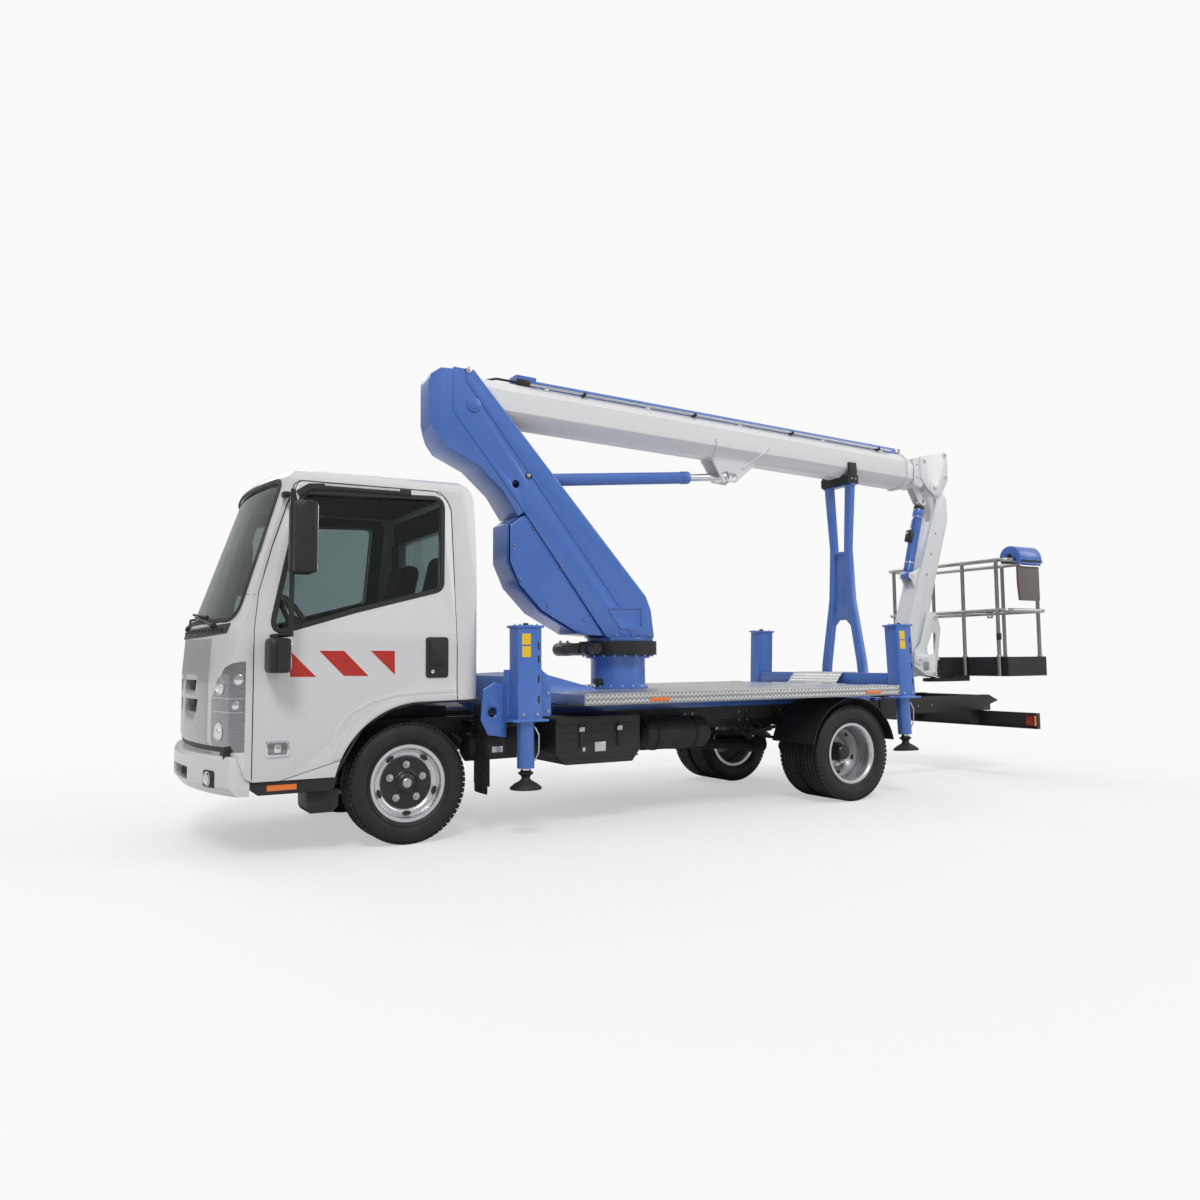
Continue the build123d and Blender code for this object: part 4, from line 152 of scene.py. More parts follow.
def map_range(nodes: bpy.types.Nodes, links: bpy.types.NodeLinks, value: object, span: tuple,
              to: tuple) -> object:
    """Add a clamped Map Range node; span and to hold numbers or sockets."""
    node = nodes.new("ShaderNodeMapRange")
    links.new(value, node.inputs["Value"])
    for label, item in zip(("From Min", "From Max", "To Min", "To Max"), (*span, *to)):
        if isinstance(item, (int, float)):
            node.inputs[label].default_value = item
        else:
            links.new(item, node.inputs[label])
    return node.outputs["Result"]


def mix_colour(nodes: bpy.types.Nodes, links: bpy.types.NodeLinks, mask: object, low: object,
               high: object) -> object:
    """Mix two colours, given as sockets or values, by a mask socket."""
    node = nodes.new("ShaderNodeMix")
    node.data_type = "RGBA"
    links.new(mask, node.inputs[0])
    for index, value in ((6, low), (7, high)):
        if isinstance(value, tuple):
            node.inputs[index].default_value = (*value, 1.0)
        else:
            links.new(value, node.inputs[index])
    return node.outputs[2]


class Groups:
    """Shader node groups that several finishes share, each built once."""

    built: dict[str, bpy.types.NodeTree] = {}

    @classmethod
    def weathering(cls) -> bpy.types.NodeTree:
        """Road dust that gathers low down, with soft blotches all over."""
        if "weathering" not in cls.built:
            group, source, sink = new_group(
                "weathering",
                {"Colour": (COLOUR, (1, 1, 1, 1)), "Dust": (COLOUR, (0.3, 0.27, 0.23, 1)),
                 "Amount": (FLOAT, 0.2), "Height": (FLOAT, 0.9), "Tone": (FLOAT, 0.022)},
                {"Colour": COLOUR, "Mask": FLOAT})
            nodes, links = group.nodes, group.links
            place = nodes.new("ShaderNodeTexCoord")
            split = nodes.new("ShaderNodeSeparateXYZ")
            links.new(place.outputs["Object"], split.inputs[0])
            fall = map_range(nodes, links, split.outputs["Z"], (0.1, source.outputs["Height"]), (1.0, 0.0))
            blotch = noise(nodes, links, place.outputs["Object"], 9.0, 6.0)
            patch = map_range(nodes, links, blotch, (0.42, 0.68), (0.15, 1.0))
            mask = math_node(nodes, links, "MULTIPLY", fall, patch)
            mask = math_node(nodes, links, "MULTIPLY", mask, source.outputs["Amount"])
            broad = noise(nodes, links, place.outputs["Object"], 1.7, 3.0)
            low_tone = math_node(nodes, links, "SUBTRACT", 1.0, source.outputs["Tone"])
            tone = map_range(nodes, links, broad, (0.3, 0.7), (low_tone, 1.0))
            shade = nodes.new("ShaderNodeHueSaturation")
            links.new(source.outputs["Colour"], shade.inputs["Color"])
            links.new(tone, shade.inputs["Value"])
            result = mix_colour(nodes, links, mask, shade.outputs["Color"], source.outputs["Dust"])
            links.new(result, sink.inputs["Colour"])
            links.new(mask, sink.inputs["Mask"])
            cls.built["weathering"] = group
        return cls.built["weathering"]

    @classmethod
    def grain(cls) -> bpy.types.NodeTree:
        """Fine surface relief and a slightly uneven roughness."""
        if "grain" not in cls.built:
            group, source, sink = new_group(
                "grain", {"Scale": (FLOAT, 400.0), "Rough": (FLOAT, 0.4), "Spread": (FLOAT, 0.1)},
                {"Height": FLOAT, "Roughness": FLOAT})
            nodes, links = group.nodes, group.links
            place = nodes.new("ShaderNodeTexCoord")
            fine = noise(nodes, links, place.outputs["Object"], source.outputs["Scale"], 4.0)
            broad = noise(nodes, links, place.outputs["Object"], 14.0, 5.0)
            low = math_node(nodes, links, "SUBTRACT", source.outputs["Rough"], source.outputs["Spread"])
            high = math_node(nodes, links, "ADD", source.outputs["Rough"], source.outputs["Spread"])
            rough = map_range(nodes, links, broad, (0.3, 0.7), (low, high))
            links.new(fine, sink.inputs["Height"])
            links.new(rough, sink.inputs["Roughness"])
            cls.built["grain"] = group
        return cls.built["grain"]

    @classmethod
    def brushed(cls) -> bpy.types.NodeTree:
        """Long scratches along one direction, for bare metal."""
        if "brushed" not in cls.built:
            group, source, sink = new_group("brushed", {"Scale": (FLOAT, 60.0), "Rough": (FLOAT, 0.3)},
                                            {"Height": FLOAT, "Roughness": FLOAT})
            nodes, links = group.nodes, group.links
            place = nodes.new("ShaderNodeTexCoord")
            stretch = nodes.new("ShaderNodeMapping")
            stretch.inputs["Scale"].default_value = (0.06, 1.0, 1.0)
            links.new(place.outputs["Object"], stretch.inputs["Vector"])
            line = noise(nodes, links, stretch.outputs[0], source.outputs["Scale"], 8.0)
            low = math_node(nodes, links, "MULTIPLY", source.outputs["Rough"], 0.7)
            high = math_node(nodes, links, "MULTIPLY", source.outputs["Rough"], 1.4)
            rough = map_range(nodes, links, line, (0.3, 0.7), (low, high))
            links.new(line, sink.inputs["Height"])
            links.new(rough, sink.inputs["Roughness"])
            cls.built["brushed"] = group
        return cls.built["brushed"]

    @classmethod
    def weave(cls) -> bpy.types.NodeTree:
        """Crossed threads of seat cloth."""
        if "weave" not in cls.built:
            group, source, sink = new_group("weave", {"Threads": (FLOAT, 900.0)}, {"Height": FLOAT})
            nodes, links = group.nodes, group.links
            place = nodes.new("ShaderNodeTexCoord")
            split = nodes.new("ShaderNodeSeparateXYZ")
            links.new(place.outputs["Object"], split.inputs[0])
            waves = []
            for axis in ("X", "Y"):
                turn = math_node(nodes, links, "MULTIPLY", split.outputs[axis], source.outputs["Threads"])
                waves.append(math_node(nodes, links, "SINE", turn, 0.0))
            total = math_node(nodes, links, "MULTIPLY", waves[0], waves[1])
            links.new(total, sink.inputs["Height"])
            cls.built["weave"] = group
        return cls.built["weave"]


@dataclass(frozen=True)
class Finish:
    """A surface finish, made into a procedural material once.

    Args:
        name: the material's name.
        colour: linear base colour.
        slot: the record's material slot that it belongs to; not used.
        metallic: 0 for paint, plastic and rubber, 1 for bare metal.
        rough: middle roughness.
        spread: how far the roughness wanders.
        coat: weight of a clear coat.
        relief: depth of the surface grain in metres.
        grain: how fine the grain is.
        dust: how much road dust it holds low down.
        dust_top: height where the dust ends.
        brushed: bare metal with long scratches.
        woven: cloth.
    """

    name: str
    colour: Colour
    slot: str
    metallic: float = 0.0
    rough: float = 0.35
    spread: float = 0.06
    coat: float = 0.0
    relief: float = 0.0002
    grain: float = 350.0
    dust: float = 0.2
    dust_top: float = 0.9
    brushed: bool = False
    woven: bool = False

    def material(self) -> bpy.types.Material:
        """Return the material, building it the first time."""
        found = bpy.data.materials.get(self.name)
        return found or self._build()

    def _build(self) -> bpy.types.Material:
        """Build the node tree."""
        made = bpy.data.materials.new(self.name)
        made.use_nodes = True
        nodes, links = made.node_tree.nodes, made.node_tree.links
        shader = nodes["Principled BSDF"]
        shader.inputs["Metallic"].default_value = self.metallic
        shader.inputs["Coat Weight"].default_value = self.coat
        shader.inputs["Coat Roughness"].default_value = 0.05
        weather = nodes.new("ShaderNodeGroup")
        weather.node_tree = Groups.weathering()
        weather.inputs["Colour"].default_value = (*self.colour, 1.0)
        weather.inputs["Amount"].default_value = self.dust
        weather.inputs["Height"].default_value = self.dust_top
        links.new(weather.outputs["Colour"], shader.inputs["Base Color"])
        surface = nodes.new("ShaderNodeGroup")
        surface.node_tree = Groups.brushed() if self.brushed else Groups.grain()
        surface.inputs["Scale"].default_value = self.grain
        surface.inputs["Rough"].default_value = self.rough
        if not self.brushed:
            surface.inputs["Spread"].default_value = self.spread
        links.new(surface.outputs["Roughness"], shader.inputs["Roughness"])
        height = surface.outputs["Height"]
        if self.woven:
            cloth = nodes.new("ShaderNodeGroup")
            cloth.node_tree = Groups.weave()
            height = cloth.outputs["Height"]
        bump = nodes.new("ShaderNodeBump")
        bump.inputs["Strength"].default_value = 0.35
        bump.inputs["Distance"].default_value = self.relief
        links.new(height, bump.inputs["Height"])
        links.new(bump.outputs["Normal"], shader.inputs["Normal"])
        return made


@dataclass(frozen=True)
class Glass:
    """Clear or tinted glass and lenses."""

    name: str
    colour: Colour
    slot: str
    rough: float = 0.0
    transmission: float = 1.0
    alpha: float = 1.0

    def material(self) -> bpy.types.Material:
        """Return the material, building it the first time."""
        found = bpy.data.materials.get(self.name)
        if found:
            return found
        made = bpy.data.materials.new(self.name)
        made.use_nodes = True
        nodes, links = made.node_tree.nodes, made.node_tree.links
        shader = nodes["Principled BSDF"]
        shader.inputs["Transmission Weight"].default_value = self.transmission
        shader.inputs["IOR"].default_value = 1.3
        shader.inputs["Alpha"].default_value = self.alpha
        place = nodes.new("ShaderNodeTexCoord")
        smear = noise(nodes, links, place.outputs["Object"], 6.0, 4.0)
        rough = map_range(nodes, links, smear, (0.4, 0.75), (self.rough, self.rough + 0.008))
        links.new(rough, shader.inputs["Roughness"])
        darker = tuple(0.9 * channel for channel in self.colour)
        links.new(mix_colour(nodes, links, smear, self.colour, darker), shader.inputs["Base Color"])
        return made


WHITE = Finish("white cab paint", (0.6, 0.6, 0.61), "cab_paint", rough=0.3, spread=0.02, coat=0.7,
               relief=0.00004, dust=0.015)
LIFT_WHITE = Finish("white lift paint", (0.7, 0.71, 0.725), "white_paint", rough=0.36, coat=0.4, dust=0.02)
BLUE = Finish("blue lift paint", (0.057, 0.152, 0.49), "blue_paint", rough=0.33, coat=0.5, dust=0.04)
BLACK_PAINT = Finish("black chassis paint", (0.010, 0.010, 0.011), "chassis_paint", rough=0.45, dust=0.06,
                     dust_top=0.8)
BLACK_PLASTIC = Finish("black grained plastic", (0.010, 0.010, 0.011), "black_plastic", rough=0.5,
                       relief=0.0004, grain=900.0, dust=0.04)
GREY_TRIM = Finish("silver nose trim", (0.42, 0.43, 0.45), "grey_plastic", metallic=0.55, rough=0.34,
                   coat=0.5, dust=0.02)
TYRE_RUBBER = Finish("tyre rubber", (0.0075, 0.0075, 0.008), "tyre", rough=0.62, relief=0.0005, grain=500.0,
                     dust=0.03)
RUBBER = Finish("black rubber seal", (0.012, 0.012, 0.012), "rubber", rough=0.6, dust=0.1)
SILVER = Finish("silver wheel paint", (0.66, 0.67, 0.69), "rim", metallic=0.85, rough=0.24, spread=0.01,
                coat=0.3, relief=0.000004, dust=0.02)
RIM_GREY = Finish("grey wheel dish", (0.27, 0.275, 0.285), "rim", metallic=0.5, rough=0.42, coat=0.2,
                  dust=0.04)
RIM_BLACK = Finish("black wheel centre", (0.007, 0.007, 0.008), "rim", rough=0.4, coat=0.2, dust=0.02)
STEEL = Finish("bright steel", (0.62, 0.62, 0.63), "steel", metallic=1.0, rough=0.25, brushed=True, dust=0.05)
ZINC = Finish("zinc fastener", (0.55, 0.55, 0.54), "steel", metallic=1.0, rough=0.35, dust=0.05)
CHROME = Finish("hard chrome rod", (0.82, 0.83, 0.85), "chrome", metallic=1.0, rough=0.07, brushed=True,
                dust=0.0)
PLATE = Finish("worn plate between the chequers", (0.33, 0.335, 0.34), "aluminium", metallic=0.7, rough=0.5,
               dust=0.05)
POUCH = Finish("taupe document pouch", (0.13, 0.115, 0.105), "grey_plastic", rough=0.55, relief=0.0003,
               dust=0.02)
TUBE = Finish("polished rail tube", (0.42, 0.41, 0.40), "steel", metallic=1.0, rough=0.2, relief=0.00002,
              dust=0.02)
TRAY = Finish("dark basket tray", (0.03, 0.03, 0.032), "aluminium", metallic=0.5, rough=0.42, dust=0.02)
ALUMINIUM = Finish("bare aluminium", (0.68, 0.69, 0.7), "aluminium", metallic=0.9, rough=0.33, brushed=True,
                   dust=0.05)
IRON = Finish("cast iron", (0.022, 0.022, 0.024), "iron", metallic=0.4, rough=0.55, relief=0.001, grain=160.0,
              dust=0.12)
RED_FILM = Finish("red reflective film", (0.42, 0.02, 0.012), "cab_paint", rough=0.4, relief=0.00004)
WHITE_FILM = Finish("white reflective film", (0.75, 0.75, 0.74), "cab_paint", rough=0.45, relief=0.00004)
YELLOW_PLATE = Finish("yellow leg plate", (0.78, 0.5, 0.01), "blue_paint", rough=0.4, relief=0.00004,
                      dust=0.05)
AMBER = Finish("amber lens", (0.72, 0.16, 0.01), "lamp", rough=0.18, coat=0.8, relief=0.00004, dust=0.05)
RED_LENS = Finish("red lens", (0.45, 0.008, 0.006), "lamp", rough=0.18, coat=0.8, relief=0.00004, dust=0.05)
REFLECTOR = Finish("lamp reflector", (0.85, 0.86, 0.88), "lamp", metallic=1.0, rough=0.1, dust=0.0)
CLOTH = Finish("seat cloth", (0.05, 0.055, 0.065), "fabric", rough=0.9, relief=0.0012, woven=True, dust=0.0)
DASH = Finish("dashboard plastic", (0.33, 0.27, 0.19), "black_plastic", rough=0.6, relief=0.0005, grain=800.0,
              dust=0.0)
TINT = Glass("cab glass", (0.36, 0.43, 0.43), "glass")
LINING = Finish("dark cab lining", (0.02, 0.021, 0.023), "fabric", rough=0.85, relief=0.0006, grain=700.0,
                dust=0.0)
LAMP_BODY = Finish("faceted lamp body", (0.26, 0.265, 0.28), "lamp", metallic=0.8, rough=0.16, coat=1.0,
                   grain=90.0, relief=0.0025, dust=0.0)
LENS = Glass("lamp lens", (0.92, 0.94, 0.95), "lamp")
MIRROR_GLASS = Finish("mirror glass", (0.85, 0.87, 0.88), "black_plastic", metallic=1.0, rough=0.03, dust=0.0)


# ------------------------------------------------------------------ repeated items by Geometry Nodes
Tree = tuple[bpy.types.NodeTree, dict[str, str]]


class Repeat:
    """Geometry Nodes trees that place an item many times, and turn the result into a plain mesh."""

    trees: dict[str, Tree] = {}

    @staticmethod
    def _start(name: str, inputs: dict[str, str], reshapes: bool = False) -> tuple:
        """Start a tree with the named inputs and a geometry output; one that reshapes takes geometry too."""
        tree = bpy.data.node_groups.new(name, "GeometryNodeTree")
        if reshapes:
            tree.interface.new_socket("Geometry", in_out="INPUT", socket_type=GEOMETRY)
        ids = {}
        for label, kind in inputs.items():
            ids[label] = tree.interface.new_socket(label, in_out="INPUT", socket_type=kind).identifier
        tree.interface.new_socket("Geometry", in_out="OUTPUT", socket_type=GEOMETRY)
        return tree, ids, tree.nodes.new("NodeGroupInput"), tree.nodes.new("NodeGroupOutput")

    @staticmethod
    def _dress(tree: bpy.types.NodeTree, shape: object, source: object, sink: object) -> None:
        """Give a shape its material and pass it to the tree's output."""
        nodes, links = tree.nodes, tree.links
        dress = nodes.new("GeometryNodeSetMaterial")
        links.new(shape, dress.inputs["Geometry"])
        links.new(source.outputs["Finish"], dress.inputs["Material"])
        links.new(dress.outputs[0], sink.inputs["Geometry"])

    @classmethod
    def _finish(cls, tree: bpy.types.NodeTree, points: object, source: object, sink: object,
                turn: object) -> None:
        """Instance the item on points, realize it and give it its material."""
        nodes, links = tree.nodes, tree.links
        item = nodes.new("GeometryNodeObjectInfo")
        links.new(source.outputs["Item"], item.inputs["Object"])
        place = nodes.new("GeometryNodeInstanceOnPoints")
        links.new(points, place.inputs["Points"])
        links.new(item.outputs["Geometry"], place.inputs["Instance"])
        links.new(turn, place.inputs["Rotation"])
        real = nodes.new("GeometryNodeRealizeInstances")
        links.new(place.outputs[0], real.inputs[0])
        cls._dress(tree, real.outputs[0], source, sink)

    @classmethod
    def ring_tree(cls) -> Tree:
        """Items round a circle in the XY plane, each turned to face outwards."""
        if "ring" not in cls.trees:
            tree, ids, source, sink = cls._start(
                "ring of items", {"Item": OBJECT, "Count": WHOLE, "Radius": FLOAT,
                                  "Finish": MATERIAL})
            nodes, links = tree.nodes, tree.links
            circle = nodes.new("GeometryNodeMeshCircle")
            links.new(source.outputs["Count"], circle.inputs["Vertices"])
            links.new(source.outputs["Radius"], circle.inputs["Radius"])
            index = nodes.new("GeometryNodeInputIndex")
            step = nodes.new("ShaderNodeMath")
            step.operation = "DIVIDE"
            step.inputs[0].default_value = math.tau
            links.new(source.outputs["Count"], step.inputs[1])
            angle = nodes.new("ShaderNodeMath")
            angle.operation = "MULTIPLY"
            links.new(index.outputs[0], angle.inputs[0])
            links.new(step.outputs[0], angle.inputs[1])
            turn = nodes.new("ShaderNodeCombineXYZ")
            links.new(angle.outputs[0], turn.inputs["Z"])
            cls._finish(tree, circle.outputs["Mesh"], source, sink, turn.outputs[0])
            cls.trees["ring"] = (tree, ids)
        return cls.trees["ring"]

    @classmethod
    def grid_tree(cls) -> Tree:
        """Items in rows and columns on the XY plane."""
        if "grid" not in cls.trees:
            tree, ids, source, sink = cls._start(
                "grid of items", {"Item": OBJECT, "Columns": WHOLE, "Rows": WHOLE,
                                  "Length": FLOAT, "Width": FLOAT, "Turn": FLOAT,
                                  "Finish": MATERIAL})
            nodes, links = tree.nodes, tree.links
            grid = nodes.new("GeometryNodeMeshGrid")
            links.new(source.outputs["Length"], grid.inputs["Size X"])
            links.new(source.outputs["Width"], grid.inputs["Size Y"])
            links.new(source.outputs["Columns"], grid.inputs["Vertices X"])
            links.new(source.outputs["Rows"], grid.inputs["Vertices Y"])
            turn = nodes.new("ShaderNodeCombineXYZ")
            links.new(source.outputs["Turn"], turn.inputs["Z"])
            cls._finish(tree, grid.outputs["Mesh"], source, sink, turn.outputs[0])
            cls.trees["grid"] = (tree, ids)
        return cls.trees["grid"]

    @classmethod
    def pipe_tree(cls) -> Tree:
        """A round pipe along the object's own curve."""
        if "pipe" not in cls.trees:
            tree, ids, source, sink = cls._start("pipe along a path", {"Radius": FLOAT, "Finish": MATERIAL},
                                                 True)
            nodes, links = tree.nodes, tree.links
            ring = nodes.new("GeometryNodeCurvePrimitiveCircle")
            ring.inputs["Resolution"].default_value = 12
            links.new(source.outputs["Radius"], ring.inputs["Radius"])
            skin = nodes.new("GeometryNodeCurveToMesh")
            skin.inputs["Fill Caps"].default_value = True
            links.new(source.outputs["Geometry"], skin.inputs["Curve"])
            links.new(ring.outputs["Curve"], skin.inputs["Profile Curve"])
            cls._dress(tree, skin.outputs[0], source, sink)
            cls.trees["pipe"] = (tree, ids)
        return cls.trees["pipe"]

    @staticmethod
    def evaluate(carrier: bpy.types.Object, tree: Tree, values: dict[str, object]) -> bpy.types.Mesh:
        """Run a tree on a carrier object and return its result as a plain mesh.

        Args:
            carrier: the object that gets the modifier; it is deleted afterwards.
            tree: the tree and its socket identifiers.
            values: input name to value.

        Returns:
            The mesh.
        """
        modifier = carrier.modifiers.new("repeat", "NODES")
        modifier.node_group = tree[0]
        for label, value in values.items():
            modifier[tree[1][label]] = value
        bpy.context.view_layer.update()
        graph = bpy.context.evaluated_depsgraph_get()
        mesh = bpy.data.meshes.new_from_object(carrier.evaluated_get(graph))
        carrier.modifiers.remove(modifier)
        bpy.data.objects.remove(carrier)
        return mesh


# ------------------------------------------------------------------ forms
class Plane(Enum):
    """The plane that a flat outline is drawn on."""

    SIDE = "XZ"
    TOP = "XY"
    FRONT = "YZ"


class Form:
    """A piece under construction: shapes in metres from the front axle, each with its finish."""

    def __init__(self) -> None:
        """Start an empty piece."""
        self.mesh = bmesh.new()
        self.finishes: list[object] = []

    def _index(self, finish: object) -> int:
        """Material index of a finish on this piece."""
        if finish not in self.finishes:
            self.finishes.append(finish)
        return self.finishes.index(finish)

    def _take(self, part: bmesh.types.BMesh, finish: object, bevel: float = 0.0, segments: int = 2) -> None:
        """Add a finished shape, with its sharp edges rounded.

        Args:
            part: the shape, which is freed.
            finish: its finish.
            bevel: radius of its rounded edges.
            segments: faces across a rounded edge.
        """
        if bevel > 0:
            sharp = [e for e in part.edges if e.is_manifold and e.calc_face_angle(0.0) > math.radians(28)]
            bmesh.ops.bevel(part, geom=sharp, offset=bevel, segments=segments, profile=0.5, affect="EDGES",
                            clamp_overlap=True)
        number = self._index(finish)
        for face in part.faces:
            face.material_index = number
        held = bpy.data.meshes.new("part")
        part.to_mesh(held)
        part.free()
        self.mesh.from_mesh(held)
        bpy.data.meshes.remove(held)

    def block(self, low: Point, high: Point, finish: object, bevel: float = 0.003,
              segments: int = 2) -> "Form":
        """A block between two corners."""
        part = bmesh.new()
        middle = [(a + b) / 2 for a, b in zip(low, high)]
        size = [abs(b - a) for a, b in zip(low, high)]
        place = Matrix.Translation(middle) @ Matrix.Diagonal((*size, 1.0))
        bmesh.ops.create_cube(part, size=1.0, matrix=place)
        self._take(part, finish, bevel, segments)
        return self

    def prism(self, outline: Sequence[Flat], span: Flat, plane: Plane, finish: object,
              bevel: float = 0.002) -> "Form":
        """A flat outline made thick across its plane.

        Args:
            outline: corners on the plane.
            span: where the thickness starts and ends.
            plane: the plane of the outline.
            finish: its finish.
            bevel: radius of the rounded edges.
        """
        def point(a: float, b: float, c: float) -> Point:
            """Corner in space for a point of the plane and a depth."""
            if plane is Plane.SIDE:
                return (a, c, b)
            return (a, b, c) if plane is Plane.TOP else (c, a, b)

        part = bmesh.new()
        rings = [[part.verts.new(point(a, b, depth)) for a, b in outline] for depth in span]
        count = len(outline)
        part.faces.new(rings[0])
        part.faces.new(list(reversed(rings[1])))
        for i in range(count):
            j = (i + 1) % count
            part.faces.new((rings[0][j], rings[0][i], rings[1][i], rings[1][j]))
        bmesh.ops.recalc_face_normals(part, faces=part.faces)
        self._take(part, finish, bevel)
        return self

    def rod(self, start: Point, end: Point, radius: float, finish: object, bevel: float = 0.0015,
            sides: int = 28) -> "Form":
        """A round bar between two points."""
        part = bmesh.new()
        run = Vector(end) - Vector(start)
        turn = run.to_track_quat("Z", "Y").to_matrix().to_4x4()
        place = Matrix.Translation((Vector(start) + Vector(end)) / 2) @ turn
        bmesh.ops.create_cone(part, cap_ends=True, segments=sides, radius1=radius, radius2=radius,
                              depth=run.length, matrix=place)
        self._take(part, finish, bevel)
        return self

    def lathe(self, profile: Sequence[Flat], centre: Point, axis: str, finish: object,
              sides: int = 64) -> "Form":
        """A closed (radius, offset) profile turned about an axis through a centre."""
        part = bmesh.new()
        count = len(profile)
        rings = []
        for step in range(sides):
            angle = math.tau * step / sides
            c, s = math.cos(angle), math.sin(angle)
            ring = []
            for radius, offset in profile:
                local = {"Y": (radius * c, offset, radius * s), "Z": (radius * c, radius * s, offset),
                         "X": (offset, radius * c, radius * s)}[axis]
                ring.append(part.verts.new(Vector(centre) + Vector(local)))
            rings.append(ring)
        for step in range(sides):
            here, there = rings[step], rings[(step + 1) % sides]
            for i in range(count):
                j = (i + 1) % count
                part.faces.new((here[i], here[j], there[j], there[i]))
        bmesh.ops.remove_doubles(part, verts=part.verts, dist=1e-6)
        bmesh.ops.recalc_face_normals(part, faces=part.faces)
        self._take(part, finish)
        return self

    def absorb(self, mesh: bpy.types.Mesh, place: Matrix, finish: object) -> "Form":
        """Add a ready mesh, put in place by a matrix; the mesh is deleted."""
        part = bmesh.new()
        part.from_mesh(mesh)
        bpy.data.meshes.remove(mesh)
        part.transform(place)
        if place.determinant() < 0:
            bmesh.ops.reverse_faces(part, faces=part.faces)
        self._take(part, finish)
        return self

    def merge(self, other: "Form", place: Matrix = Matrix.Identity(4)) -> "Form":
        """Add a copy of another form, moved by a matrix."""
        copy = other.mesh.copy()
        copy.transform(place)
        if place.determinant() < 0:
            bmesh.ops.reverse_faces(copy, faces=copy.faces)
        table = [self._index(finish) for finish in other.finishes]
        for face in copy.faces:
            face.material_index = table[face.material_index]
        held = bpy.data.meshes.new("part")
        copy.to_mesh(held)
        copy.free()
        self.mesh.from_mesh(held)
        bpy.data.meshes.remove(held)
        return self

    def mirrored(self) -> "Form":
        """The same form on the truck's other side."""
        return Form().merge(self, Matrix.Scale(-1, 4, (0, 1, 0)))

    def both(self) -> "Form":
        """This form with its mirror image added."""
        return self.merge(self.mirrored())

    def _repeat(self, item: "Form", tree: Tree, values: dict[str, object], place: Matrix,
                finish: object) -> "Form":
        """Add copies of an item, made by a tree about the item's own origin and then put in place."""
        mesh = bpy.data.meshes.new("item")
        item.mesh.to_mesh(mesh)
        holder = bpy.data.objects.new("item", mesh)
        carrier = bpy.data.objects.new("carrier", bpy.data.meshes.new("carrier"))
        bpy.context.scene.collection.objects.link(carrier)
        copies = Repeat.evaluate(carrier, tree, {"Item": holder, **values, "Finish": finish.material()})
        bpy.data.objects.remove(holder)
        return self.absorb(copies, place, finish)

    def ring(self, item: "Form", count: int, radius: float, place: Matrix, finish: object) -> "Form":
        """Add items round a circle by Geometry Nodes; place turns the XY circle into position."""
        return self._repeat(item, Repeat.ring_tree(), {"Count": count, "Radius": radius}, place, finish)

    def grid(self, item: "Form", counts: tuple[int, int], size: Flat, place: Matrix, finish: object,
             turn: float = 0.0) -> "Form":
        """Add items in rows and columns by Geometry Nodes; place turns the XY grid into position."""
        values = {"Columns": counts[0], "Rows": counts[1], "Length": size[0], "Width": size[1], "Turn": turn}
        return self._repeat(item, Repeat.grid_tree(), values, place, finish)

    def chequers(self, counts: tuple[int, int], size: Flat, place: Matrix, nudge: Point) -> "Form":
        """Add the crossed bars of a chequer plate; a nudge moves the second set between the first."""
        for turn, share in ((45.0, 0.0), (-45.0, 1.0)):
            spot = place @ Matrix.Translation(Vector(nudge) * share)
            self.grid(chequer(), counts, size, spot, ALUMINIUM, math.radians(turn))
        return self

    def pipe(self, points: Sequence[Point], radius: float, finish: object, bend: float = 0.06,
             closed: bool = False) -> "Form":
        """Add a bent pipe along corner points by Geometry Nodes.

        Args:
            points: the corners of its centre line.
            radius: outer radius.
            finish: its finish.
            bend: radius of its bends.
            closed: whether the last point joins the first.
        """
        curve = bpy.data.curves.new("pipe path", "CURVE")
        curve.dimensions = "3D"
        route = rounded_route(points, bend, closed)
        spline = curve.splines.new("POLY")
        spline.points.add(len(route) - 1)
        for target, place in zip(spline.points, route):
            target.co = (*place, 1.0)
        spline.use_cyclic_u = closed
        carrier = bpy.data.objects.new("pipe carrier", curve)
        bpy.context.scene.collection.objects.link(carrier)
        mesh = Repeat.evaluate(carrier, Repeat.pipe_tree(), {"Radius": radius, "Finish": finish.material()})
        return self.absorb(mesh, Matrix.Identity(4), finish)

    def done(self, name: str, body: str, replaces: Iterable[str] = (),
             smooth: float = 33.0) -> bpy.types.Object:
        """Turn the form into a piece that rides on a body.

        Args:
            name: the piece's name.
            body: the CAD body that carries it.
            replaces: CAD nodes that it stands for.
            smooth: edges flatter than this many degrees are shaded smooth.

        Returns:
            The piece.
        """
        mesh = bpy.data.meshes.new(name)
        self.mesh.to_mesh(mesh)
        self.mesh.free()
        for finish in self.finishes:
            mesh.materials.append(finish.material())
        mesh.transform(Matrix.Translation((AXLE_X, 0.0, 0.0)))
        mesh.shade_smooth()
        mesh.set_sharp_from_angle(angle=math.radians(smooth))
        piece = bpy.data.objects.new(name, mesh)
        bpy.context.scene.collection.objects.link(piece)
        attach(piece, body)
        if replaces:
            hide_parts(*replaces)
        log.info("%s on %s: %d faces", name, body, len(mesh.polygons))
        return piece


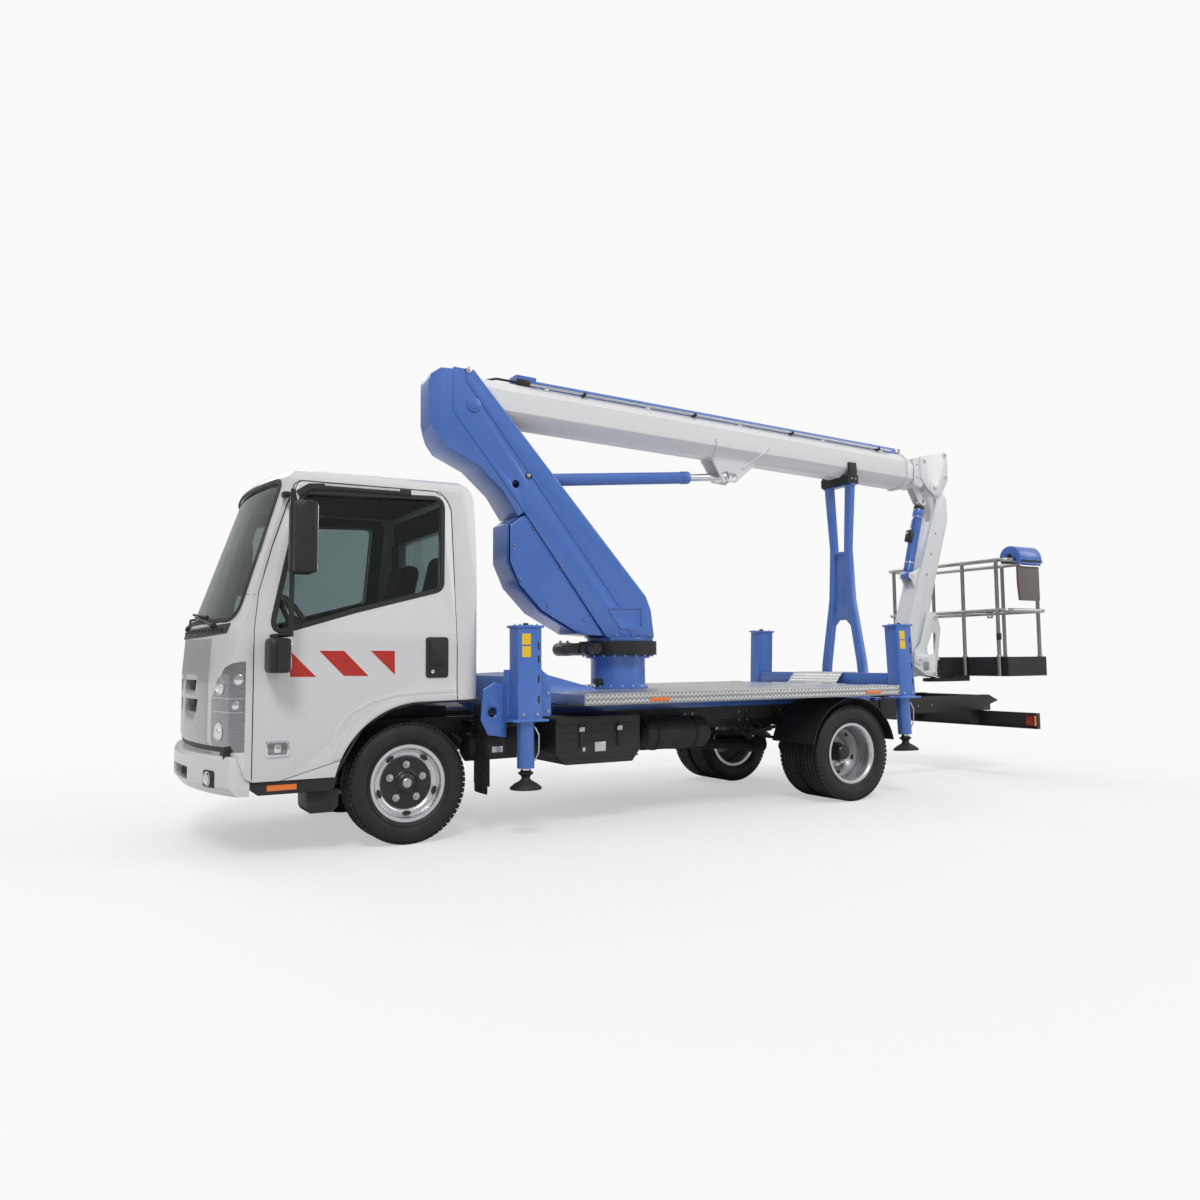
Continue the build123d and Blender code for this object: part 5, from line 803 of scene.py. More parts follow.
def rounded_route(points: Sequence[Point], bend: float, closed: bool = False, steps: int = 6) -> list[Vector]:
    """Points along straight runs whose corners are rounded by arcs.

    Args:
        points: the corners.
        bend: the radius wanted at each corner.
        closed: whether the route is a loop.
        steps: points along each arc.

    Returns:
        The points in order.
    """
    corners = [Vector(p) for p in points]
    count = len(corners)
    route: list[Vector] = []
    for i, corner in enumerate(corners):
        if not closed and i in (0, count - 1):
            route.append(corner)
            continue
        back = corners[i - 1] - corner
        ahead = corners[(i + 1) % count] - corner
        half = back.angle(ahead) / 2
        reach = min(bend / math.tan(half), 0.45 * back.length, 0.45 * ahead.length)
        start, end = corner + back.normalized() * reach, corner + ahead.normalized() * reach
        for step in range(steps + 1):
            t = step / steps
            route.append((1 - t) ** 2 * start + 2 * t * (1 - t) * corner + t ** 2 * end)
    return route


def rounded(outline: Sequence[Flat], radius: float, steps: int = 5) -> list[Flat]:
    """A flat closed outline with its corners rounded."""
    flat = [(x, y, 0.0) for x, y in outline]
    return [(p.x, p.y) for p in rounded_route(flat, radius, True, steps)]


def grown(outline: Iterable[Flat], middle: Flat, across: float, up: float) -> list[Flat]:
    """A flat outline made larger about its middle."""
    a, b = middle
    return [(a + (x - a) * across, b + (z - b) * up) for x, z in outline]


def turn_to(axis: str, centre: Point) -> Matrix:
    """Matrix that stands an XY pattern square to an axis, at a centre."""
    turns = {"Z": Matrix.Identity(4), "Y": spin(-90, "X"),
             "X": spin(90, "Y")}
    return Matrix.Translation(centre) @ turns[axis]


def hex_bolt(size: float, height: float) -> Form:
    """A hexagon head with a washer, on its own origin, standing on Z."""
    form = Form()
    form.rod((0, 0, 0), (0, 0, 0.25 * height), size * 0.72, ZINC, 0.0, 16)
    form.rod((0, 0, 0.2 * height), (0, 0, height), size * 0.56, ZINC, size * 0.05, 6)
    return form


def wheel_nut(height: float) -> Form:
    """A wheel nut with its stud's end, on its own origin, standing on Z."""
    nut = Form().rod((0, 0, 0), (0, 0, height), 0.0165, ZINC, 0.002, 6)
    return nut.rod((0, 0, 0.75 * height), (0, 0, 1.5 * height), 0.0085, ZINC, 0.001, 12)


def chequer() -> Form:
    """One raised bar of a chequer plate.

    Returns:
        The bar, lying along X.
    """
    bar = Form().lathe([(0.0, -0.018), (0.0040, -0.012), (0.0056, 0.0), (0.0040, 0.012), (0.0, 0.018)],
                       (0, 0, 0), "X", ALUMINIUM, 8)
    return Form().merge(bar, Matrix.Diagonal((1.0, 1.0, 0.5, 1.0)))


def dressed_copy(node: str, name: str, body: str, finish: object, bevel: float = 0.0,
                 smooth: float = 33.0, slim: float = 1.0) -> bpy.types.Object:
    """A merged copy of a CAD node, with smooth curves and softened edges, that stands for it.

    Args:
        node: the CAD node.
        name: the piece's name.
        body: the CAD body that carries it.
        finish: its finish.
        bevel: radius of its softened edges.
        smooth: edges flatter than this many degrees are shaded smooth.
        slim: its length as a share of the node's, about the same middle.

    Returns:
        The piece.
    """
    part = bmesh.new()
    part.from_mesh(frame["nodes"][node].data)
    bmesh.ops.remove_doubles(part, verts=part.verts, dist=2e-5)
    bmesh.ops.dissolve_limit(part, angle_limit=math.radians(0.6), verts=part.verts, edges=part.edges)
    low, high = node_box(node)
    middle = Matrix.Translation(((low.x + high.x) / 2, 0.0, 0.0))
    part.transform(Matrix.Translation((-AXLE_X, 0.0, 0.0)))
    part.transform(middle @ Matrix.Diagonal((slim, 1.0, 1.0, 1.0)) @ middle.inverted())
    form = Form()
    form._take(part, finish, bevel)
    return form.done(name, body, (node,), smooth)


# ------------------------------------------------------------------ trim that lies on a skin
Footing = tuple[Vector, Vector]


class Skin:
    """The outside of some CAD nodes, felt by rays, so that trim can lie on it."""

    def __init__(self, *nodes: str) -> None:
        """Gather the nodes' faces.

        Args:
            nodes: CAD node names.
        """
        corners: list[Vector] = []
        faces: list[tuple[int, ...]] = []
        for node in nodes:
            mesh = frame["nodes"][node].data
            first = len(corners)
            corners += [vertex.co - Vector((AXLE_X, 0.0, 0.0)) for vertex in mesh.vertices]
            faces += [tuple(first + i for i in face.vertices) for face in mesh.polygons]
        self.tree = BVHTree.FromPolygons(corners, faces)

    def cast(self, start: Point, towards: Point) -> Optional[Footing]:
        """The first place that a ray meets, with its outward direction."""
        hit, normal, _, _ = self.tree.ray_cast(Vector(start), Vector(towards))
        if hit is None:
            return None
        return hit, normal if normal.dot(Vector(towards)) < 0 else -normal

    def trace(self, route: Sequence[Flat], plane: Plane, step: float = 0.02, closed: bool = False,
              inset: float = 0.0) -> list[Footing]:
        """Drop a flat route on the skin.

        Args:
            route: corners, on SIDE seen from the left, on FRONT seen from ahead, on TOP from above.
            plane: the plane of the route.
            step: longest distance between the points.
            closed: whether the route is a loop.
            inset: how far towards the route's middle the skin is felt, beside a gap.

        Returns:
            Places on the skin, each with the outward direction there.
        """
        middle = (sum(p[0] for p in route) / len(route), sum(p[1] for p in route) / len(route))
        ends = list(zip(route, [*route[1:], route[0]] if closed else route[1:]))
        found = []
        for index, (here, there) in enumerate(ends):
            count = max(1, round(math.dist(here, there) / step))
            last = 0 if closed or index < len(ends) - 1 else 1
            for k in range(count + last):
                a = here[0] + (there[0] - here[0]) * k / count
                b = here[1] + (there[1] - here[1]) * k / count
                span = max(math.dist((a, b), middle), 1e-6)
                u, v = a + (middle[0] - a) * inset / span, b + (middle[1] - b) * inset / span
                start, towards = {Plane.SIDE: ((u, 3.0, v), (0, -1, 0)),
                                  Plane.FRONT: ((3.0, u, v), (-1, 0, 0)),
                                  Plane.TOP: ((u, v, 5.0), (0, 0, -1))}[plane]
                met = self.cast(start, towards)
                if met is None:
                    continue
                place = {Plane.SIDE: Vector((a, met[0].y, b)), Plane.FRONT: Vector((met[0].x, a, b)),
                         Plane.TOP: Vector((a, b, met[0].z))}[plane]
                found.append((place, met[1]))
        return found


def ribbon(form: Form, route: Sequence[Footing], width: float, height: float, finish: object,
           closed: bool = False, sink: float = 0.004) -> Form:
    """Add a low strip with rounded shoulders along places on a skin.

    Args:
        form: the form that takes it.
        route: places, each with its outward direction.
        width: across the strip.
        height: over the skin.
        finish: its finish.
        closed: whether the strip is a loop.
        sink: how deep it stands in the skin.

    Returns:
        The form.
    """
    part = bmesh.new()
    count = len(route)
    half, shoulder = width / 2, min(width * 0.22, abs(height + sink) * 0.6)
    section = ((-half, -sink), (-half, height - shoulder), (-half + shoulder, height),
               (half - shoulder, height), (half, height - shoulder), (half, -sink))
    rings = []
    for i, (place, normal) in enumerate(route):
        before = route[i - 1][0] if i or closed else place
        after = route[(i + 1) % count][0] if i < count - 1 or closed else place
        up = (route[i - 1][1] + 2 * normal + route[(i + 1) % count][1]).normalized()
        along = (after - before).normalized()
        side = along.cross(up).normalized()
        rings.append([part.verts.new(place + side * a + up * b) for a, b in section])
    size = len(section)
    for i in range(count if closed else count - 1):
        here, there = rings[i], rings[(i + 1) % count]
        for k in range(size):
            n = (k + 1) % size
            part.faces.new((here[k], here[n], there[n], there[k]))
    if not closed:
        part.faces.new(list(reversed(rings[0])))
        part.faces.new(rings[-1])
    bmesh.ops.recalc_face_normals(part, faces=part.faces)
    form._take(part, finish)
    return form


# ------------------------------------------------------------------ studio
@dataclass
class Studio:
    """Floor, light and camera.

    Args:
        eye: the camera's place from the front axle.
        forward: its direction.
        roll_deg: its roll.
        lens: its focal length in millimetres.
        shift_y: its vertical shift.
        floor_albedo: share of the light that the floor returns.
        floor_glow: brightness mixed into the floor for the camera.
        glow_share: how much of it is mixed in.
        paper: brightness of the backdrop for the camera.
        sky: brightness of the surround at the horizon and overhead.
    """

    eye: Point = (1.82128, 6.26536, 1.06118)
    forward: Point = (-0.49197, -0.86709, 0.07823)
    roll_deg: float = -0.469
    lens: float = 28.906
    shift_y: float = -0.01396
    floor_albedo: float = 0.62
    floor_glow: float = 1.36
    glow_share: float = 0.35
    paper: float = 0.955
    sky: Flat = (0.3, 0.9)

    def build(self) -> None:
        """Build the whole studio."""
        self.camera()
        self.floor()
        self.light()

    def camera(self) -> None:
        """Place the camera."""
        data = bpy.data.cameras.new("camera")
        data.lens = self.lens
        data.sensor_width = 36.0
        data.shift_y = self.shift_y
        ahead = Vector(self.forward).normalized()
        right = ahead.cross(Vector((0, 0, 1))).normalized()
        up = right.cross(ahead)
        roll = math.radians(self.roll_deg)
        turned_right = right * math.cos(roll) + up * math.sin(roll)
        turned_up = -right * math.sin(roll) + up * math.cos(roll)
        turn = Matrix((turned_right, turned_up, -ahead)).transposed().to_4x4()
        camera = bpy.data.objects.new("camera", data)
        camera.matrix_world = Matrix.Translation(Vector(self.eye) + Vector((AXLE_X, 0, 0))) @ turn
        bpy.context.scene.collection.objects.link(camera)
        bpy.context.scene.camera = camera

    def floor(self) -> None:
        """A plain pale floor that keeps the truck's shadow."""
        part = bmesh.new()
        bmesh.ops.create_grid(part, x_segments=1, y_segments=1, size=60.0)
        mesh = bpy.data.meshes.new("floor")
        part.to_mesh(mesh)
        part.free()
        floor = bpy.data.objects.new("floor", mesh)
        bpy.context.scene.collection.objects.link(floor)
        made = bpy.data.materials.new("pale floor")
        made.use_nodes = True
        nodes, links = made.node_tree.nodes, made.node_tree.links
        shader = nodes["Principled BSDF"]
        shader.inputs["Base Color"].default_value = (*(self.floor_albedo,) * 3, 1)
        shader.inputs["Roughness"].default_value = 0.9
        glow = nodes.new("ShaderNodeEmission")
        glow.inputs["Strength"].default_value = self.floor_glow
        path = nodes.new("ShaderNodeLightPath")
        share = nodes.new("ShaderNodeMath")
        share.operation = "MULTIPLY"
        share.inputs[1].default_value = self.glow_share
        links.new(path.outputs["Is Camera Ray"], share.inputs[0])
        mix = nodes.new("ShaderNodeMixShader")
        links.new(share.outputs[0], mix.inputs["Fac"])
        links.new(shader.outputs[0], mix.inputs[1])
        links.new(glow.outputs[0], mix.inputs[2])
        links.new(mix.outputs[0], nodes["Material Output"].inputs["Surface"])
        mesh.materials.append(made)

    def light(self) -> None:
        """Soft lamps and a white surround."""
        scene = bpy.context.scene
        world = bpy.data.worlds.new("surround")
        scene.world = world
        world.use_nodes = True
        nodes, links = world.node_tree.nodes, world.node_tree.links
        backdrop = nodes["Background"]
        place = nodes.new("ShaderNodeTexCoord")
        split = nodes.new("ShaderNodeSeparateXYZ")
        links.new(place.outputs["Generated"], split.inputs[0])
        sky = map_range(nodes, links, split.outputs["Z"], (0.0, 1.0), self.sky)
        path = nodes.new("ShaderNodeLightPath")
        seen = math_node(nodes, links, "MAXIMUM", path.outputs["Is Camera Ray"],
                         path.outputs["Is Transmission Ray"])
        level = nodes.new("ShaderNodeMapRange")
        links.new(seen, level.inputs["Value"])
        links.new(sky, level.inputs["To Min"])
        level.inputs["To Max"].default_value = self.paper
        links.new(level.outputs[0], backdrop.inputs["Strength"])
        backdrop.inputs["Color"].default_value = (1, 1, 1, 1)
        scene.view_settings.view_transform = "Standard"
        # columns: name, direction towards the lamp, strength, angle across in degrees
        lamps = (
            ("key", (0.30, 0.62, 0.72), 1.25, 16.0),
            ("fill", (-0.75, 0.50, 0.43), 0.55, 34.0),
            ("back", (0.10, -0.80, 0.60), 0.6, 34.0),
        )
        for name, towards, strength, wide in lamps:
            data = bpy.data.lights.new(name, "SUN")
            data.energy = strength
            data.angle = math.radians(wide)
            lamp = bpy.data.objects.new(name, data)
            lamp.matrix_world = (-Vector(towards)).to_track_quat("-Z", "Y").to_matrix().to_4x4()
            scene.collection.objects.link(lamp)


# ------------------------------------------------------------------ solids that keep their shape
@dataclass
class Solids:
    """The CAD nodes that show as they are, each with its finish, and copies with softened edges."""

    rest_slim: float = 0.56
    plain: dict[str, object] = field(default_factory=lambda: {
        "front_axle": IRON, "rear_axle": IRON, "engine_block": IRON, "knuckle_left": IRON,
        "knuckle_right": IRON, "cab_glass": TINT, "door_glass_left": TINT, "door_glass_right": TINT,
        "dashboard": DASH, "side_boxes": BLACK_PLASTIC, "mudguards": BLACK_PLASTIC,
        "slew_drive": BLACK_PAINT, "extension_cylinder": BLUE, "extension_rod": CHROME, "lift_rod": CHROME,
        "jib_rod": CHROME, "headlamps": LAMP_BODY, "rest_pad": RUBBER, "mirror_left": BLACK_PLASTIC,
        "mirror_right": BLACK_PLASTIC, "seats": CLOTH, "basket_frame": TUBE, "basket_floor": TRAY,
    })
    # columns: node, finish, edge radius
    soft: tuple = (("cab_shell", WHITE, 0.003), ("door_left", WHITE, 0.002), ("door_right", WHITE, 0.002),
                   ("nose_panel", GREY_TRIM, 0.004), ("bumper", WHITE, 0.008),
                   ("chassis_frame", BLACK_PAINT, 0.001), ("under_run_bar", BLACK_PAINT, 0.002),
                   ("subframe", BLUE, 0.003), ("outriggers", BLUE, 0.004), ("deck", ALUMINIUM, 0.001),
                   ("pedestal", BLUE, 0.003), ("tower", BLUE, 0.006), ("tower_cover", BLUE, 0.012),
                   ("boom_base", LIFT_WHITE, 0.004), ("boom_stage_1", LIFT_WHITE, 0.002),
                   ("boom_stage_2", LIFT_WHITE, 0.002), ("boom_stage_3", LIFT_WHITE, 0.003),
                   ("lift_barrel", BLUE, 0.002), ("jib", LIFT_WHITE, 0.004), ("jib_barrel", BLUE, 0.002),
                   ("level_link", LIFT_WHITE, 0.002), ("basket_arm", LIFT_WHITE, 0.003),
                   ("control_box", BLUE, 0.004), ("leg_foot_fl", IRON, 0.002), ("leg_foot_fr", IRON, 0.002),
                   ("leg_foot_rl", IRON, 0.002), ("leg_foot_rr", IRON, 0.002))

    def build(self) -> None:
        """Dress every node."""
        bodies = {node: body for body, nodes in frame["record"]["behaviour"]["bodies"].items()
                  for node in nodes}
        for node, finish in self.plain.items():
            piece = frame["nodes"][node]
            piece.data.materials.clear()
            piece.data.materials.append(finish.material())
        for node, finish, edge in self.soft:
            dressed_copy(node, f"{node}_body", bodies[node], finish, edge)
        dressed_copy("boom_rest", "boom_rest_body", bodies["boom_rest"], BLUE, 0.004, slim=self.rest_slim)


# ------------------------------------------------------------------ wheels
@dataclass
class Wheels:
    """Tyres with their tread and the painted steel rims."""

    radius: float = 0.35
    half_width: float = 0.1025
    bead: float = 0.205
    tread_blocks: int = 66
    twin_pitch: float = 0.23
    nut_circle: float = 0.104

    def build(self) -> None:
        """Build all wheels."""
        for side, sign in (("left", 1), ("right", -1)):
            front = self.tyre(0.0, sign * FRONT_WHEEL_Y)
            front.done(f"front_tyre_treaded_{side}", f"wheel_front_{side}", (f"front_tyre_{side}",), 40)
            rear = self.tyre(REAR_AXLE_X, sign * (REAR_WHEELS_Y - self.twin_pitch / 2))
            rear.merge(self.tyre(REAR_AXLE_X, sign * (REAR_WHEELS_Y + self.twin_pitch / 2)))
            rear.done(f"rear_tyres_treaded_{side}", f"wheels_rear_{side}", (f"rear_tyres_{side}",), 40)
            flip = Matrix.Scale(-1, 4, (0, 1, 0)) if sign < 0 else Matrix.Identity(4)
            rim = Form().merge(self.front_rim(), flip)
            rim.done(f"front_rim_pressed_{side}", f"wheel_front_{side}", (f"front_rim_{side}",))
            rims = Form().merge(self.rear_rims(), flip)
            rims.done(f"rear_rims_pressed_{side}", f"wheels_rear_{side}", (f"rear_rims_{side}",))

    def tyre(self, x: float, y: float) -> Form:
        """One tyre with ribs, grooves and shoulder blocks."""
        half, top = self.half_width, self.radius
        base = top - 0.009
        outer = [(self.bead, 0.074), (self.bead + 0.016, 0.078), (0.232, 0.088), (0.262, half - 0.001),
                 (0.285, half), (0.306, half - 0.0015), (0.322, half - 0.008), (base - 0.004, half - 0.018)]
        ribs = [(base, 0.062), (base, 0.052), (top, 0.051), (top, 0.024), (base, 0.022), (base, 0.013),
                (top, 0.011)]
        right = outer + ribs
        left = [(r, -offset) for r, offset in reversed(right)]
        form = Form().lathe(right + left, (x, y, HUB_Z), "Y", TYRE_RUBBER, 96)
        block = Form().block((-0.0135, -0.013, 0.0), (0.0135, 0.013, 0.010), TYRE_RUBBER, 0.0)
        blade = Form().merge(block, spin(90, "Y"))
        for side in (-1, 1):
            place = turn_to("Y", (x, y + side * 0.0735, HUB_Z))
            standing = Form().merge(blade, spin(90, "X"))
            form.ring(standing, self.tread_blocks, base - 0.001, place, TYRE_RUBBER)
        bead = [(0.243, half - 0.006), (0.2445, half - 0.0025), (0.246, half - 0.006)]
        for side in (-1, 1):
            form.lathe([(r, side * o) for r, o in bead], (x, y, HUB_Z), "Y", TYRE_RUBBER, 96)
        return form

    def disc(self, profile: Sequence[Flat], y: float, finish: object, x: float = 0.0) -> Form:
        """A turned disc about a wheel's axis."""
        return Form().lathe(profile, (x, y, HUB_Z), "Y", finish, 96)

    def front_rim(self) -> Form:
        """Left front wheel: bright dish, oval hand holes as flat black discs of painted shade, and a black bolted
        centre.
        """
        y = FRONT_WHEEL_Y
        dish = [(0.2225, 0.0815), (0.2225, 0.0755), (0.2047, 0.074), (0.2, 0.06), (0.1975, -0.07),
                (0.2047, -0.0745), (0.2225, -0.0755), (0.2225, -0.0815), (0.2, -0.082), (0.1905, -0.066),
                (0.1905, 0.03), (0.176, 0.04), (0.15, 0.028), (0.15, 0.038), (0.16, 0.05), (0.17, 0.0545),
                (0.18, 0.0535), (0.1885, 0.051), (0.193, 0.055), (0.1955, 0.066), (0.198, 0.0755),
                (0.203, 0.0812)]
        form = self.disc(dish, y, SILVER)
        centre = [(0.02, 0.02), (0.156, 0.02), (0.157, 0.036), (0.151, 0.041), (0.072, 0.041), (0.064, 0.046),
                  (0.058, 0.056), (0.044, 0.066), (0.02, 0.068)]
        form.merge(self.disc(centre, y, RIM_BLACK))
        cap = [(0.0, 0.05), (0.03, 0.05), (0.03, 0.066), (0.021, 0.074), (0.0, 0.076)]
        form.merge(self.disc(cap, y, ZINC))
        nut = wheel_nut(0.02)
        nut.rod((0, 0, -0.002), (0, 0, 0.004), 0.0215, RIM_BLACK, 0.001, 20)
        place = turn_to("Y", (0.0, y + 0.041, HUB_Z)) @ spin(-90, "Z")
        form.ring(nut, 5, self.nut_circle, place, ZINC)
        washer = Form().lathe([(0.0165, 0.0), (0.024, 0.0), (0.0225, 0.003), (0.0165, 0.0035)], (0, 0, 0),
                              "Z", RIM_BLACK, 24)
        form.ring(washer, 5, self.nut_circle, place, RIM_BLACK)
        # The hand holes are flat black discs on the dish: painted shade where the openings would show the dark
        # inside of the wheel.
        hole_shade_disc = Form().lathe([(0.0, -0.004), (0.025, -0.004), (0.0245, 0.0015), (0.0, 0.0022)], (0, 0, 0), "Z",
                            RIM_BLACK, 28)
        oval = Form().merge(hole_shade_disc, Matrix.Diagonal((0.56, 1.1, 1.0, 1.0)))
        shift = turn_to("Y", (0.0, y + 0.0535, HUB_Z)) @ spin(-54, "Z")
        form.ring(oval, 5, 0.1735, shift, RIM_BLACK)
        drum = [(0.04, -0.075), (0.165, -0.075), (0.172, -0.06), (0.172, 0.0), (0.15, 0.012), (0.04, 0.014)]
        return form.merge(self.disc(drum, y, IRON))

    def rear_rims(self) -> Form:
        """Left twin wheels: a deep silver dish outside, a rim behind it, with hub, nuts and hand holes drawn as
        black discs of painted shade.
        """
        form = Form()
        middle = REAR_WHEELS_Y
        outer, inner = middle + self.twin_pitch / 2, middle - self.twin_pitch / 2
        shell = [(0.2047, 0.0815), (0.2215, 0.0815), (0.222, 0.075), (0.2047, 0.074), (0.2, 0.06),
                 (0.1975, -0.07), (0.2047, -0.0745), (0.222, -0.075), (0.222, -0.0815), (0.2, -0.082),
                 (0.19, -0.066), (0.1895, 0.05), (0.196, 0.0735)]
        for y in (outer, inner):
            form.merge(self.disc(shell, y, SILVER, REAR_AXLE_X))
        dish = [(0.19, -0.055), (0.191, -0.062), (0.166, -0.07), (0.137, -0.094), (0.12, -0.1145),
                (0.06, -0.1145), (0.06, -0.104), (0.118, -0.104), (0.133, -0.086), (0.162, -0.06),
                (0.18, -0.052)]
        form.merge(self.disc(dish, outer, RIM_GREY, REAR_AXLE_X))
        form.merge(self.disc([(r, -o) for r, o in dish], inner, RIM_GREY, REAR_AXLE_X))
        hub = [(0.0, -0.12), (0.068, -0.12), (0.068, -0.06), (0.058, -0.045), (0.052, 0.0), (0.046, 0.006),
               (0.0, 0.008)]
        form.merge(self.disc(hub, outer, RIM_BLACK, REAR_AXLE_X))
        place = turn_to("Y", (REAR_AXLE_X, outer - 0.104, HUB_Z)) @ spin(-90, "Z")
        form.ring(wheel_nut(0.024), 5, 0.092, place, ZINC)
        # Hand holes in the dish: flat black discs, painted shade where the openings are.
        hole_shade_disc = Form().lathe([(0.0, 0.0), (0.019, 0.0), (0.017, 0.004), (0.0, 0.0045)], (0, 0, 0), "Z",
                            RIM_BLACK, 24)
        shift = turn_to("Y", (REAR_AXLE_X, outer - 0.0665, HUB_Z)) @ spin(-54, "Z")
        form.ring(hole_shade_disc, 5, 0.154, shift, RIM_BLACK)
        return form


# ------------------------------------------------------------------ cab
@dataclass
class Cab:
    """Trim of the cab: seams, window rubbers, lamps, stripes, mirrors, sills and seats."""

    half_y: float = 0.87
    door_seam: tuple = ((-0.265, 0.83), (-0.265, 1.96), (-0.235, 2.05), (-0.16, 2.082), (0.62, 2.082),
                        (0.665, 2.06), (0.707, 1.937), (0.793, 1.685), (0.864, 1.436), (0.888, 1.229),
                        (0.888, 0.445))
    window: tuple = ((0.794, 1.216), (0.34, 1.352), (-0.174, 1.486), (-0.204, 2.03), (0.612, 2.005))
    window_middle: Flat = (0.27, 1.66)
    screen_low: Flat = (0.77, 1.3)
    screen_high: Flat = (0.655, 2.085)
    stripes: tuple = (((0.700, 1.119), (0.557, 0.975), (0.698, 0.977)),
                      ((0.545, 1.119), (0.406, 1.118), (0.265, 0.975), (0.406, 0.978)),
                      ((0.257, 1.118), (0.115, 1.117), (0.114, 0.980)))
    lamp_divisions: tuple = (0.866, 0.792)
    lamp_middle: Flat = (0.78, 0.52)
    # from and to: along, across and up
    mirrors: tuple = ((0.604, 0.724, 0.886, 1.0765, 1.532, 1.922), (0.728, 0.836, 0.878, 1.055, 1.0, 1.185))
    seat_y: float = 0.43
    seat_base_z: float = 1.01
    voxel: float = 0.006
    pressure: float = 4.0
    cloth_steps: int = 20
    swell: float = 0.012
    keep_share: float = 0.6

    def build(self) -> None:
        """Build every part of the cab's trim."""
        self.skin = Skin("cab_shell", "door_left", "door_right", "nose_panel", "bumper", "headlamps")
        front = self.front_trim()
        sides = self.side_trim()
        sides.both()
        front.merge(sides)
        front.done("cab_trim", "truck")
        left = self.door_trim()
        left.mirrored().done("door_trim_right", "door_right")
        left.done("door_trim_left", "door_left")
        self.lamps().both().done("lamp_trim", "truck")
        self.seats()

    def side_trim(self) -> Form:
        """Door seam, pillar slot, side lamp, sill and steps on the left."""
        form = Form()
        seam = self.skin.trace(self.door_seam, Plane.SIDE, 0.02, inset=0.012)
        ribbon(form, seam, 0.0055, 0.0003, RUBBER, sink=0.012)
        joint = self.skin.trace(((0.925, 1.425), (0.875, 1.424)), Plane.SIDE, 0.01)
        ribbon(form, joint, 0.003, 0.0004, RUBBER, sink=0.002)
        slot = self.skin.trace(((0.801, 1.81), (0.845, 1.663)), Plane.SIDE, 0.01)
        ribbon(form, slot, 0.022, 0.006, BLACK_PLASTIC)
        crease = [(0.47, 0.60), (0.43, 0.70), (0.36, 0.775), (0.24, 0.835), (0.1, 0.868), (-0.05, 0.878),
                  (-0.25, 0.882)]
        ribbon(form, self.skin.trace(crease, Plane.SIDE, 0.02), 0.022, 0.0035, WHITE, sink=0.002)
        frame_lamp = rounded(((0.695, 0.551), (0.82, 0.551), (0.82, 0.639), (0.695, 0.639)), 0.016)
        form.prism(frame_lamp, (self.half_y - 0.02, self.half_y + 0.008), Plane.SIDE, CHROME, 0.002)
        lens = rounded(((0.706, 0.562), (0.809, 0.562), (0.809, 0.628), (0.706, 0.628)), 0.012)
        form.prism(lens, (self.half_y, self.half_y + 0.012), Plane.SIDE, LAMP_BODY, 0.004)
        form.prism(rounded(((0.74, 0.573), (0.776, 0.573), (0.776, 0.617), (0.74, 0.617)), 0.01),
                   (self.half_y, self.half_y + 0.0145), Plane.SIDE, CHROME, 0.003)
        sill = rounded(((0.43, 0.43), (0.445, 0.362), (0.48, 0.35), (0.85, 0.35), (0.876, 0.37),
                        (0.88, 0.43)), 0.012)
        form.prism(sill, (0.60, self.half_y - 0.012), Plane.SIDE, BLACK_PLASTIC, 0.006)
        form.block((0.651, self.half_y - 0.014, 0.371), (0.807, self.half_y - 0.004, 0.402), AMBER, 0.003)
        step = rounded(((0.405, 0.35), (0.41, 0.255), (0.44, 0.225), (0.565, 0.225), (0.578, 0.25),
                        (0.582, 0.35)), 0.012)
        form.prism(step, (0.56, 0.80), Plane.SIDE, BLACK_PLASTIC, 0.006)
        ribs = Form().block((-0.004, -0.1, 0.0), (0.004, 0.1, 0.004), BLACK_PLASTIC, 0.001)
        place = Matrix.Translation((0.665, 0.73, 0.4305))
        form.grid(ribs, (9, 1), (0.34, 0.0), place, BLACK_PLASTIC)
        liner = [(0.452, 0.43), (0.30, 0.70), (0.13, 0.79), (-0.036, 0.826), (-0.40, 0.826), (-0.40, 0.812),
                 (-0.04, 0.812), (0.125, 0.778), (0.288, 0.688), (0.438, 0.43)]
        form.prism(liner, (0.52, 0.860), Plane.SIDE, BLACK_PLASTIC, 0.0)
        flap = rounded(((0.615, 0.25), (0.815, 0.25), (0.815, 0.78), (0.615, 0.78)), 0.02)
        form.prism(flap, (-0.482, -0.476), Plane.FRONT, RUBBER, 0.002)
        for z in (0.34, 0.44, 0.54):
            form.block((-0.485, 0.64, z), (-0.474, 0.79, z + 0.03), RUBBER, 0.003)
        return form

    def screen_point(self, y: float, z: float, out: float = 0.0) -> Point:
        """A point on the curved windscreen."""
        radius = 2.615 - (z - 1.263) * 0.3437 + out
        return (-1.52 + math.sqrt(radius * radius - y * y), y, z)

